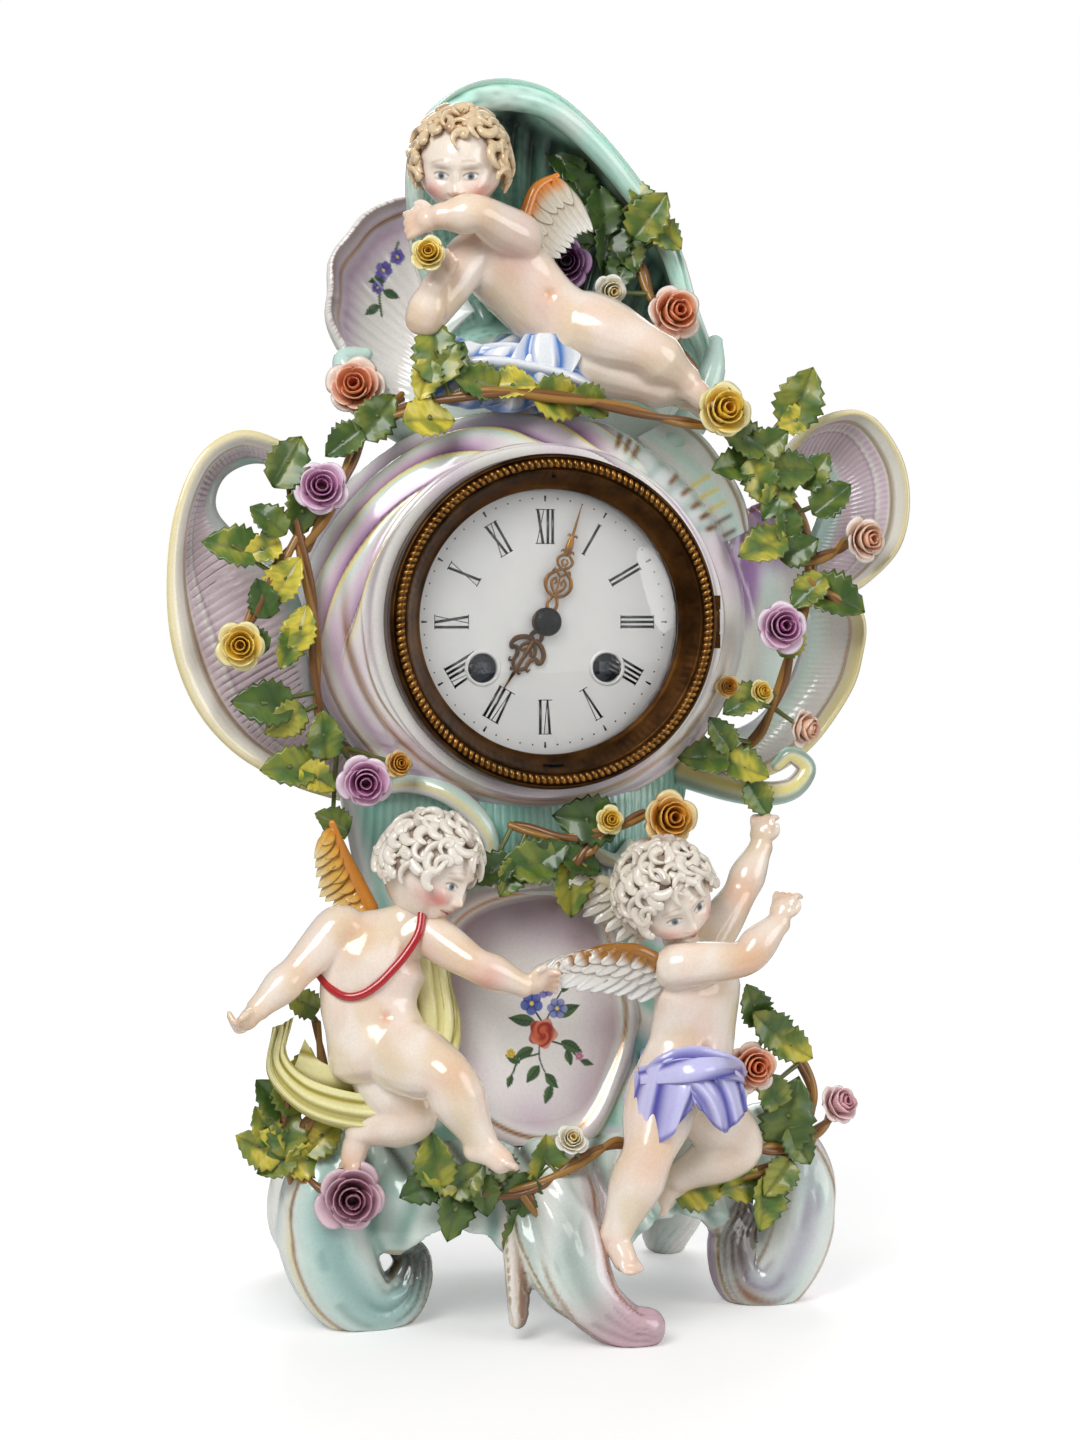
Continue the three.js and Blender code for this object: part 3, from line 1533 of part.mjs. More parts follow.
function bellStand() {
  const foot = rod(...bellFoot, 2.4, backPlateBack + fitGap, bellArmY + 1, 6);
  const arm = bar([bellFoot[0], bellArmY, dialHeight + bellFoot[1]], [0, bellArmY + 1, dialHeight], 1.5);
  const post = rod(0, 0, 1, bellArmY, bellCrown + 2.4, 6);
  const shoulder = rod(0, 0, 2.6, bellCrown - 3.2, bellCrown - 1.4 - fitGap, 6);
  const nut = rod(0, 0, 2.8, bellCrown + fitGap, bellCrown + 2.2, 6);
  return join(foot, arm, post, shoulder, nut);
}

const hammerHead = [33.6, -14]; // from the dial's axis
const hammerEyeY = backPlateBack + 3;

function hammer() {
  const [x, z] = hammerAt;
  const eye = cut(
    rod(x, z, 2.4, hammerEyeY - 1, hammerEyeY + 1, 8),
    rod(x, z, 1 + runningGap, hammerEyeY - 3, hammerEyeY + 3, 6),
  );
  const elbow = [37.4, hammerEyeY + 2, dialHeight - 2];
  const arm = [
    bar([x - 0.3, hammerEyeY, dialHeight + z - 2.1], elbow, 0.9),
    bar(elbow, [hammerHead[0], bellMouth + 1, dialHeight + hammerHead[1]], 0.9),
  ];
  const knob = rod(...hammerHead, 2.4, bellMouth - 1.5, bellMouth + 4, 8);
  return join(eye, arm, knob);
}

// Back door and the straps that clamp the case between the two rings

function backRing() {
  const from = caseBack + fitGap;
  const opening = doorRadius - 9;
  return join(
    turned(
      [
        [opening, from],
        [doorRadius + 3, from],
        [doorRadius + 3, from + 2.4],
        [opening, from + 2.4],
        [opening, from],
      ],
      roundSides,
    ),
    [-1, 1].map((side) => backKnuckle(side * 6.5, 4)),
    upright(backPinX, backPinY, backPinRadius, 15, 0, 8),
  );
}

const backDoorY = caseBack + fitGap + 2.4 + fitGap;
const backPinX = doorRadius + 3;
const backPinY = backDoorY + 2;
const backPinRadius = 0.8;

function backKnuckle(z, length) {
  const ends = [dialHeight + z - length / 2, dialHeight + z + length / 2];
  const lug = block([backPinX - 1.6, backPinX + 1], [caseBack + 1.5, backPinY], ends);
  return join(upright(backPinX, backPinY, 2, length, z), lug);
}

function backDoor() {
  const disc = turned(
    [
      [0, backDoorY + 1.2],
      [doorRadius - 5, backDoorY],
      [doorRadius - 0.6, backDoorY],
      [doorRadius - 0.6, backDoorY + doorThickness],
      [doorRadius - 5, backDoorY + doorThickness + 0.6],
      [doorRadius * 0.6, backDoorY + doorThickness + 2.4],
      [0, backDoorY + doorThickness + 2.8],
    ],
    roundSides,
  );
  const knuckle = upright(backPinX, backPinY, 2, 8);
  const tabDepth = [backDoorY + 0.2, backDoorY + 1.8];
  const tab = block([doorRadius - 4, backPinX], tabDepth, [dialHeight - 4, dialHeight + 4]);
  const knob = turned(
    [
      [0, backDoorY + 1],
      [1.5, backDoorY + 1],
      [1.5, backDoorY + 5],
      [3, backDoorY + 6.5],
      [2.4, backDoorY + 8.6],
      [0, backDoorY + 9],
    ],
    8,
    -doorRadius + 7,
    0,
  );
  return cut(join(disc, knuckle, tab, knob), upright(backPinX, backPinY, backPinRadius + runningGap, 12));
}

// A flat strap along the bore, from the dial ring's sleeve to the back ring.
function strap(side) {
  const [inner, outer] = [sleeveRadius - sleeveWall, sleeveRadius - 0.4];
  const x = side < 0 ? [-outer, -inner] : [inner, outer];
  return block(x, [sleeveEnd + fitGap, caseBack], [dialHeight - 3.5, dialHeight + 3.5]);
}

// Assembly

const ground = join(caseOutside(fitGap), plinthOutside(fitGap));
const shells = [leftWing(), rightWing(), crestShell()];
const thickened = (shell) => join([-1, 0, 1].map((side) => shell.translate([0, side * fitGap, 0])));

// What is luted on later is cut clear of all that stands before it in the list.
function seated(pieces, before) {
  let behind = join(before);
  return pieces.map(([name, material, made, grown]) => {
    const body = mainPiece(made.subtract(behind));
    behind = behind.add(grown ?? body);
    return [name, material, body];
  });
}

const porcelainPieces = [
  ["case_body", porcelain, caseBody()],
  ["plinth", porcelain, plinth()],
  ["left_scroll_wing", lilacGlaze, shells[0]],
  ["right_scroll_wing", lilacGlaze, shells[1]],
  ["crest_shell", mintGlaze, shells[2]],
  ...seated(
    [
      ["left_putto", fleshGlaze, leftFigure(), leftFigure(fitGap)],
      ["right_putto", fleshGlaze, rightFigure(), rightFigure(fitGap)],
      ["top_putto", fleshGlaze, topFigure(), topFigure(fitGap)],
      ["left_garland", leafGlaze, spray(leftGarland)],
      ["top_garland", leafGlaze, spray(topGarland)],
      ["crest_garland", leafGlaze, spray(crestGarland)],
      ["right_garland", leafGlaze, spray(rightGarland)],
      ["waist_swag", leafGlaze, spray(centreSwag)],
      ["base_left_spray", leafGlaze, spray(baseLeftSpray)],
      ["base_centre_spray", leafGlaze, spray(baseCentreSpray)],
      ["base_right_spray", leafGlaze, spray(baseRightSpray)],
    ],
    [ground, ...shells.map(thickened)],
  ),
];

const brassPieces = [
  ["dial_ring", gilt, dialRing()],
  ["dial", enamel, dial()],
  ["bezel", gilt, bezel()],
  ["bezel_glass", clearGlass, bezelGlass()],
  ["bezel_hinge", gilt, bezelHinge()],
  ["minute_hand", gilt, minuteHand()],
  ["hour_hand", gilt, hourHand()],
  ["hand_collet", gilt, collet()],
  ["cannon_pinion", brass, cannonPinion()],
  ["minute_wheel", brass, minuteWheel()],
  ["hour_wheel", brass, hourWheel()],
  ["front_plate", brass, frontPlate()],
  ["back_plate", brass, backPlate()],
  ["going_barrel", brass, barrel(goingBarrelAt)],
  ["going_winding_arbor", steel, windingArbor(goingBarrelAt)],
  ["second_wheel", brass, secondWheel()],
  ["centre_wheel", brass, centreWheel()],
  ["third_wheel", brass, thirdWheel()],
  ["escape_wheel", brass, escapeWheel()],
  ["pallets_and_crutch", steel, pallets()],
  ["suspension_cock", brass, suspensionCock()],
  ["pendulum_rod", steel, pendulumRod()],
  ["pendulum_bob", brass, pendulumBob()],
  ["strike_barrel", brass, barrel(strikeBarrelAt)],
  ["strike_winding_arbor", steel, windingArbor(strikeBarrelAt)],
  ["count_wheel_arbor", brass, strikeSecondWheel()],
  ["pin_wheel", brass, pinWheel()],
  ["fly", brass, fly()],
  ["bell_stand", steel, bellStand()],
  ["bell", brass, bell()],
  ["hammer", steel, hammer()],
  ["back_ring", gilt, backRing()],
  ["back_door", gilt, backDoor()],
  ["left_strap", brass, strap(-1)],
  ["right_strap", brass, strap(1)],
];

function meshOf([name, material, body]) {
  const { numProp, vertProperties, triVerts } = body.getMesh();
  const geometry = new THREE.BufferGeometry();
  geometry.setAttribute("position", new THREE.BufferAttribute(new Float32Array(vertProperties), numProp));
  geometry.setIndex(new THREE.BufferAttribute(new Uint32Array(triVerts), 1));
  geometry.computeVertexNormals();
  const mesh = new THREE.Mesh(geometry, material);
  mesh.name = name;
  return mesh;
}

// The clock stands with its feet on the table and the middle of its outline at the origin.
const clock = new THREE.Group();
clock.add(...[...porcelainPieces, ...brassPieces].map(meshOf));
const extent = new THREE.Box3().setFromObject(clock);
const middle = extent.getCenter(new THREE.Vector3());
clock.position.set(-middle.x, -middle.y, -extent.min.z);

export default clock;
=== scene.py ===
import bpy
import bmesh
import numpy as np
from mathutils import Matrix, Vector


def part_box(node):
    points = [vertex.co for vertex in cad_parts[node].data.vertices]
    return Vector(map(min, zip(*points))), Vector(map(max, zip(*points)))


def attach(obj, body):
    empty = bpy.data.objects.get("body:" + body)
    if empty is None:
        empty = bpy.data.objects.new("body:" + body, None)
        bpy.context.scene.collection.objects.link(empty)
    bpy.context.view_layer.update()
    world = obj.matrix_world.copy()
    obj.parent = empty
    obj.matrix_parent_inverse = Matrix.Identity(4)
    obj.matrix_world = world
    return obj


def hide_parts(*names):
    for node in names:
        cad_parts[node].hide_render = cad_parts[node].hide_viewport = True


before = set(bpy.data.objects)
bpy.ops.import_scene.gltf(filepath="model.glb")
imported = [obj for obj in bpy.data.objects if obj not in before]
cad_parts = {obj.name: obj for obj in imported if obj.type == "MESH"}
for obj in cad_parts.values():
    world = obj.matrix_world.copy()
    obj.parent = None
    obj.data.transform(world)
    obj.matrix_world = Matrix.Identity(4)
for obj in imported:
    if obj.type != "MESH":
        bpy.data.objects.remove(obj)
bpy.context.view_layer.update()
bpy.context.scene.view_settings.view_transform = "Standard"
print("frame loaded")

# Places are written in millimetres: the dial's axis is x 0, z 247, and the front is at negative y.
dialLow, dialHigh = (np.array(corner) * 1000 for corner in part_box("dial"))
dialZ = 247
shift = np.array([(dialLow[0] + dialHigh[0]) / 2, dialLow[1] + 50.2, (dialLow[2] + dialHigh[2]) / 2 - dialZ])


# Colour and number helpers

def linear(code):
    # an sRGB hex value as a linear colour
    value = np.array([(code >> s & 255) / 255 for s in (16, 8, 0)])
    return np.where(value <= 0.04045, value / 12.92, ((value + 0.055) / 1.055) ** 2.4)


def step(low, high, value):
    # 0 below low, 1 above high, and a smooth climb between
    t = np.clip((value - low) / (high - low), 0, 1)
    return t * t * (3 - 2 * t)


def bump(value, centre, width):
    # a bell curve of height 1
    return np.exp(-(((value - centre) / width) ** 2))


def mix(first, second, share):
    share = np.asarray(share)[..., None]
    return np.asarray(first) * (1 - share) + np.asarray(second) * share


def layered(paint, layers):
    # one tone after another, each laid on with its share
    for tone, share in layers:
        paint = mix(paint, tone, share)
    return paint


def vec(values):
    return np.asarray(values, float)


def fullTurn(count):
    # bearings evenly round a circle
    return np.linspace(0, 2 * np.pi, count, endpoint=False)


def gridOf(first, second):
    # two even runs, each a start, a stop and a count, as a grid
    return np.meshgrid(np.linspace(*first), np.linspace(*second), indexing="ij")


def unit(vectors):
    return vectors / np.maximum(np.linalg.norm(vectors, axis=-1, keepdims=True), 1e-9)


def cloudy(points, size, seed):
    # soft patches from -1 to 1: a sum of sine waves in seeded directions, about size mm across
    draw = np.random.default_rng(seed)
    total = np.zeros(points.shape[:-1])
    for _ in range(7):
        wave = unit(draw.normal(size=3)) * draw.uniform(0.6, 1.6) * 2 * np.pi / (2 * size)
        total += np.sin(points @ wave + draw.uniform(0, 6.28))
    return np.clip(total / 3.2, -1, 1)


def spline(points, count):
    # a Catmull-Rom curve through the points, spread evenly over its spans
    p = vec(points)
    p = np.vstack([2 * p[0] - p[1], p, 2 * p[-1] - p[-2]])
    t = np.linspace(0, len(p) - 3 - 1e-9, count)
    i = t.astype(int)
    f = (t - i)[:, None]
    a, b, c, d = p[i], p[i + 1], p[i + 2], p[i + 3]
    return 0.5 * (2 * b + (c - a) * f + (2 * a - 5 * b + 4 * c - d) * f**2 + (3 * b - a - 3 * c + d) * f**3)


# Parts are dictionaries of points, four-cornered faces, paint and gold, joined into one mesh per piece

def gridFaces(rows, cols, aroundCols=False, aroundRows=False):
    a, b = np.meshgrid(np.arange(rows if aroundRows else rows - 1),
        np.arange(cols if aroundCols else cols - 1), indexing="ij")
    a2, b2 = (a + 1) % rows, (b + 1) % cols
    return np.stack([a * cols + b, a2 * cols + b, a2 * cols + b2, a * cols + b2], -1).reshape(-1, 4)


def gridPart(points, paint, gold=0.0, aroundCols=False, aroundRows=False):
    rows, cols = points.shape[:2]
    return {
        "points": points.reshape(-1, 3),
        "faces": gridFaces(rows, cols, aroundCols, aroundRows),
        "paint": np.broadcast_to(paint, points.shape).reshape(-1, 3),
        "gold": np.broadcast_to(gold, points.shape[:2]).reshape(-1),
    }


def sheetNormals(points):
    return unit(np.cross(np.gradient(points, axis=0), np.gradient(points, axis=1)))


def sheetPart(points, thickness, paint, gold=0.0, backPaint=None):
    # a closed thin shell: the sheet and its copy moved along the normals, meeting at all four edges
    rows, cols = points.shape[:2]
    u, v = np.linspace(-1, 1, rows)[:, None], np.linspace(-1, 1, cols)[None, :]
    fade = np.sqrt(np.clip((1 - u**10) * (1 - v**10), 0, 1))
    back = points + sheetNormals(points) * (thickness * fade)[..., None]
    front = gridPart(points, paint, gold)
    rear = gridPart(back, paint if backPaint is None else backPaint, gold)
    return [front, {**rear, "faces": rear["faces"][:, ::-1]}]


def carriedSides(tangents, start):
    # a side vector carried along the path without twisting, one station at a time
    sides = np.empty_like(tangents)
    side = vec(start)
    for k, tangent in enumerate(tangents):
        side = unit(side - tangent * (side @ tangent))
        sides[k] = side
    return sides


def tube(path, radii, around=12, count=24, flat=1.0, start=(0.13, 1, 0.21),
    paint=(1, 1, 1), gold=0.0, profile=None):
    # circles of changing radius carried along a smooth path, with rounded ends
    centres = spline(path, count)
    sizes = np.maximum(spline(vec(radii)[:, None], count)[:, 0], 0.05)
    tangents = unit(np.gradient(centres, axis=0))
    capTurns, capReach = np.radians([90, 62, 35, 12]), 0.85
    sine, cosine = np.sin(capTurns), np.cos(capTurns)
    before = centres[0] - tangents[0] * sizes[0] * sine[:, None] * capReach
    after = centres[-1] + tangents[-1] * sizes[-1] * sine[::-1, None] * capReach
    centres = np.vstack([before, centres, after])
    sizes = np.concatenate([sizes[0] * cosine, sizes, sizes[-1] * cosine[::-1]])
    tangents = np.vstack([np.repeat(tangents[:1], len(sine), 0), tangents,
        np.repeat(tangents[-1:], len(sine), 0)])
    sides = carriedSides(tangents, start)
    others = np.cross(tangents, sides)
    a = fullTurn(around)
    along = np.linspace(0, 1, len(centres))[:, None]
    r = sizes[:, None] * (1 if profile is None else profile(along, a[None, :]))
    points = (centres[:, None] + sides[:, None] * (r * np.cos(a) * flat)[..., None] + others[:, None]
        * (r * np.sin(a))[..., None])
    if callable(paint):
        paint = paint(along + 0 * a, a + 0 * along, points)
    return gridPart(points, paint, gold, aroundCols=True)


def ball(centre, sizes, axes=np.eye(3), around=24, down=16, paint=(1, 1, 1), shape=None):
    # an ellipsoid as longitude by latitude, on the axes right, forward and up
    lat, lon = np.meshgrid(np.linspace(-np.pi / 2, np.pi / 2, down), fullTurn(around), indexing="ij")
    local = np.stack([np.cos(lat) * np.sin(lon), np.cos(lat) * np.cos(lon), np.sin(lat)], -1) * vec(sizes)
    if shape:
        local = shape(local)
    points = vec(centre) + local @ vec(axes)
    return gridPart(points, paint(local) if callable(paint) else paint, aroundCols=True)


def joined(parts):
    flat = []
    for part in parts:
        flat.extend(part if isinstance(part, list) else [part])
    starts = np.cumsum([0] + [len(p["points"]) for p in flat])
    return {
        "points": np.concatenate([p["points"] for p in flat]),
        "faces": np.concatenate([p["faces"] + s for p, s in zip(flat, starts)]),
        "paint": np.concatenate([p["paint"] for p in flat]),
        "gold": np.concatenate([p["gold"] for p in flat]),
    }


mergeMetres = 2e-6


def meshOf(name, part):
    # the part as a Blender mesh in metres, with doubles merged and faces turned outwards
    mesh = bpy.data.meshes.new(name)
    points, faces = (part["points"] + shift) / 1000, part["faces"]
    mesh.vertices.add(len(points))
    mesh.vertices.foreach_set("co", points.ravel())
    mesh.loops.add(faces.size)
    mesh.loops.foreach_set("vertex_index", faces.ravel().astype(np.int32))
    mesh.polygons.add(len(faces))
    mesh.polygons.foreach_set("loop_start", np.arange(0, faces.size, 4, dtype=np.int32))
    mesh.polygons.foreach_set("loop_total", np.full(len(faces), 4, dtype=np.int32))
    mesh.update(calc_edges=True)
    setPaint(mesh, part["paint"], part["gold"])
    tidy = bmesh.new()
    tidy.from_mesh(mesh)
    bmesh.ops.remove_doubles(tidy, verts=tidy.verts, dist=mergeMetres)
    bmesh.ops.dissolve_degenerate(tidy, edges=tidy.edges, dist=mergeMetres / 20)
    bmesh.ops.recalc_face_normals(tidy, faces=tidy.faces)
    tidy.to_mesh(mesh)
    tidy.free()
    mesh.shade_smooth()
    return mesh


def setPaint(mesh, paint, gold):
    for key, kind, values in (("paint", "FLOAT_COLOR", paint), ("gold", "FLOAT", gold)):
        layer = mesh.attributes.get(key) or mesh.attributes.new(key, kind, "POINT")
        if key == "paint":
            layer.data.foreach_set("color", np.column_stack([values,
                np.ones(len(values))]).astype(np.float32).ravel())
        else:
            layer.data.foreach_set("value", np.asarray(values, np.float32))


def pointsOf(mesh):
    # the mesh's points and normals in millimetres of the design
    places = np.empty(len(mesh.vertices) * 3, np.float32)
    normals = np.empty(len(mesh.vertices) * 3, np.float32)
    mesh.vertices.foreach_get("co", places)
    mesh.vertices.foreach_get("normal", normals)
    return places.reshape(-1, 3).astype(float) * 1000 - shift, normals.reshape(-1, 3).astype(float)


def setPoints(mesh, points):
    mesh.vertices.foreach_set("co", ((points + shift) / 1000).astype(np.float32).ravel())
    mesh.update()


def piece(name, made, material, body="case", nodes=()):
    # a visible object from a part, a list of parts or a finished mesh
    mesh = (made if isinstance(made, bpy.types.Mesh)
        else meshOf(name, made if isinstance(made, dict) else joined(made)))
    thing = bpy.data.objects.new(name, mesh)
    bpy.context.scene.collection.objects.link(thing)
    mesh.materials.clear()
    mesh.materials.append(material)
    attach(thing, body)
    if nodes:
        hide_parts(*nodes)
    return thing


def sculpted(name, parts, voxel, smoothing=4, extra=None):
    # the parts melted together: remeshed on a grid of voxel mm, then smoothed
    mesh = meshOf(name, joined(parts))
    if extra:
        merged = bmesh.new()
        merged.from_mesh(mesh)
        other = bmesh.new()
        other.from_mesh(extra)
        bmesh.ops.remove_doubles(other, verts=other.verts, dist=mergeMetres)
        copy = bpy.data.meshes.new(name + "Extra")
        other.to_mesh(copy)
        other.free()
        merged.from_mesh(copy)
        merged.to_mesh(mesh)
        merged.free()
    thing = bpy.data.objects.new(name + "Rough", mesh)
    bpy.context.scene.collection.objects.link(thing)
    remesh = thing.modifiers.new("remesh", "REMESH")
    remesh.mode, remesh.voxel_size = "VOXEL", voxel / 1000
    soften = thing.modifiers.new("soften", "SMOOTH")
    soften.factor, soften.iterations = 0.5, smoothing
    seen = thing.evaluated_get(bpy.context.evaluated_depsgraph_get())
    result = bpy.data.meshes.new_from_object(seen)
    result.name = name
    bpy.data.objects.remove(thing)
    result.shade_smooth()
    return result


# Materials

def addNode(tree, kind, settings=(), links=()):
    # one node, its settings by name, and its inputs either linked or set
    node = tree.nodes.new(kind)
    for key, value in dict(settings).items():
        setattr(node, key, value)
    for key, value in dict(links).items():
        if isinstance(value, bpy.types.NodeSocket):
            tree.links.new(value, node.inputs[key])
        else:
            node.inputs[key].default_value = value
    return node


def feed(output, *sockets):
    # one output of a node to one or more sockets
    for socket in sockets:
        output.id_data.links.new(output, socket)


def noise(tree, place, sizeMm, detail):
    # soft noise in patches about sizeMm across
    values = {"Vector": place, "Scale": 1000 / sizeMm, "Detail": detail}
    return addNode(tree, "ShaderNodeTexNoise", {}, values).outputs["Fac"]


def ranged(tree, value, low, high, fromLow=0.0, fromHigh=1.0):
    # a value carried from one range to another
    values = {"Value": value, "From Min": fromLow, "From Max": fromHigh, "To Min": low, "To Max": high}
    return addNode(tree, "ShaderNodeMapRange", {}, values).outputs["Result"]


def rippled(tree, height, strength, distance, *sockets):
    values = {"Height": height, "Strength": strength, "Distance": distance}
    feed(addNode(tree, "ShaderNodeBump", {}, values).outputs["Normal"], *sockets)


def setTwoTones(node, first, second):
    node.inputs["A"].default_value = (*linear(first), 1)
    node.inputs["B"].default_value = (*linear(second), 1)


def newMaterial(name, values):
    material = bpy.data.materials.new(name)
    material.use_nodes = True
    tree = material.node_tree
    shader = tree.nodes["Principled BSDF"]
    for key, value in values.items():
        shader.inputs[key].default_value = value
    place = addNode(tree, "ShaderNodeTexCoord").outputs["Object"]
    return material, tree, shader, place


glazeMade = {"coat": 0.7, "roughness": 0.2, "waviness": 0.12, "poolMm": 5, "speckMm": 0.9}


def glazedPorcelain(name, values):
    # hard-paste porcelain, painted in enamels under a clear fired glaze: glassy, and slightly wavy where
    # it pooled; gilding is burnished gold leaf fired on top
    material, tree, shader, place = newMaterial(name, {
        "IOR": 1.5, "Coat Weight": values["coat"], "Coat Roughness": 0.04, "Subsurface Weight": 0.0,
    })
    paint = addNode(tree, "ShaderNodeAttribute", {"attribute_name": "paint"}).outputs["Color"]
    gold = addNode(tree, "ShaderNodeAttribute", {"attribute_name": "gold"}).outputs["Fac"]
    tone = ranged(tree, noise(tree, place, values["speckMm"], 3.0), 0.95, 1.03, 0.3, 0.7)
    worked = addNode(tree, "ShaderNodeVectorMath", {"operation": "SCALE"}, {"Vector": paint, "Scale": tone})
    gilded = addNode(tree, "ShaderNodeMix", {"data_type": "RGBA"}, {"Factor": gold})
    feed(worked.outputs["Vector"], gilded.inputs["A"])
    gilded.inputs["B"].default_value = (*linear(0xA86F24), 1)
    feed(gilded.outputs["Result"], shader.inputs["Base Color"])
    metal = addNode(tree, "ShaderNodeMath", {"operation": "MULTIPLY"}, {0: gold, 1: 0.75})
    feed(metal.outputs[0], shader.inputs["Metallic"])
    feed(ranged(tree, gold, values["roughness"], 0.34), shader.inputs["Roughness"])
    rippled(tree, noise(tree, place, values["poolMm"], 1.0), values["waviness"], 0.0006,
        shader.inputs["Normal"], shader.inputs["Coat Normal"])
    return material


def metalMaterial(name, code, dark, roughness, grainMm, stretch=(1, 1, 1), wear=0.5):
    # a metal with tarnish in soft patches and fine grain from its making
    material, tree, shader, place = newMaterial(name, {"Metallic": 1.0, "Roughness": roughness})
    colours = addNode(tree, "ShaderNodeMix", {"data_type": "RGBA"})
    patches = noise(tree, place, grainMm * 14, 5.0)
    feed(ranged(tree, patches, 0.0, wear, 0.3, 0.7), colours.inputs["Factor"])
    setTwoTones(colours, code, dark)
    feed(colours.outputs["Result"], shader.inputs["Base Color"])
    stretched = addNode(tree, "ShaderNodeMapping", {}, {"Vector": place, "Scale": stretch})
    grain = noise(tree, stretched.outputs["Vector"], grainMm, 3.0)
    feed(ranged(tree, grain, roughness - 0.08, roughness + 0.14), shader.inputs["Roughness"])
    rippled(tree, grain, 0.12, 0.0002, shader.inputs["Normal"])
    return material


def plainGlaze(name, code, shade, roughness=0.22):
    # a white glaze or enamel with no painting: faint clouds, and specks from the kiln
    material, tree, shader, place = newMaterial(name,
        {"IOR": 1.5, "Coat Weight": 0.6, "Coat Roughness": 0.04})
    clouds = noise(tree, place, 14, 4.0)
    tones = addNode(tree, "ShaderNodeMix", {"data_type": "RGBA"}, {"Factor": clouds})
    setTwoTones(tones, code, shade)
    feed(tones.outputs["Result"], shader.inputs["Base Color"])
    fine = noise(tree, place, 0.8, 2.0)
    feed(ranged(tree, fine, roughness - 0.05, roughness + 0.08), shader.inputs["Roughness"])
    rippled(tree, clouds, 0.08, 0.0005, shader.inputs["Normal"])
    return material


def glassMaterial():
    # thin blown clock glass, with faint ripples from the blowing
    material, tree, shader, place = newMaterial("blownClockGlass",
        {"Transmission Weight": 1.0, "Roughness": 0.0, "IOR": 1.45, "Base Color": (1, 1, 1, 1)})
    rippled(tree, noise(tree, place, 30, 1.0), 0.03, 0.001, shader.inputs["Normal"])
    return material


porcelain = glazedPorcelain("glazedPorcelain", glazeMade)
flowerGlaze = glazedPorcelain("enamelledFlowers", {**glazeMade, "coat": 0.3, "roughness": 0.36})
castBrass = metalMaterial("antiqueCastBrass", 0x62401E, 0x22140A, 0.36, 0.6, wear=0.85)
ropeBrass = metalMaterial("rubbedRopeBrass", 0xB07E3E, 0x4A2E14, 0.3, 0.5, wear=0.6)
giltBrass = metalMaterial("fireGiltBrass", 0x9A6A2C, 0x3A220E, 0.32, 0.5, wear=0.6)
movementBrass = metalMaterial("turnedClockBrass", 0xC79E4E, 0x8F6A2C, 0.28, 0.35, (1, 1, 6), 0.5)
workedSteel = metalMaterial("bluedAndPolishedSteel", 0x5A5E66, 0x2C2E34, 0.3, 0.3, (1, 6, 1), 0.6)
darkGilt = metalMaterial("tarnishedGiltBrass", 0x6E4A22, 0x1E140C, 0.36, 0.4, wear=0.8)
blackSteel = metalMaterial("blackenedSteel", 0x1C1D20, 0x0C0C0E, 0.24, 0.4, wear=0.5)
clearGlass = glassMaterial()
print("materials made")

# Camera, light and floor: the camera stands 950 mm from the dial, 13 degrees to its left

view = {"yaw": 13, "distance": 950, "lens": 67.85, "down": 2.07, "left": 0.127}


def inFrame(point):
    return Vector((vec(point) + shift) / 1000)


def makeCamera():
    yaw = np.radians(view["yaw"])
    target = inFrame((0, -52, dialZ))
    place = target + Vector((-np.sin(yaw), -np.cos(yaw), 0)) * view["distance"] / 1000
    data = bpy.data.cameras.new("photoCamera")
    data.sensor_fit, data.sensor_height, data.sensor_width = "VERTICAL", 36, 36
    data.lens, data.clip_start = view["lens"], 0.05
    camera = bpy.data.objects.new("photoCamera", data)
    bpy.context.scene.collection.objects.link(camera)
    camera.location = place
    camera.rotation_euler = (np.radians(90 - view["down"]), 0, -yaw + np.radians(view["left"]))
    bpy.context.scene.camera = camera


def areaLight(name, place, aim, size, power, colour=(1, 1, 1)):
    data = bpy.data.lights.new(name, "AREA")
    data.shape, data.size, data.energy, data.color = "DISK", size, power, colour
    lamp = bpy.data.objects.new(name, data)
    bpy.context.scene.collection.objects.link(lamp)
    lamp.location = inFrame(place)
    lamp.rotation_euler = (inFrame(aim) - inFrame(place)).to_track_quat("-Z", "Y").to_euler()


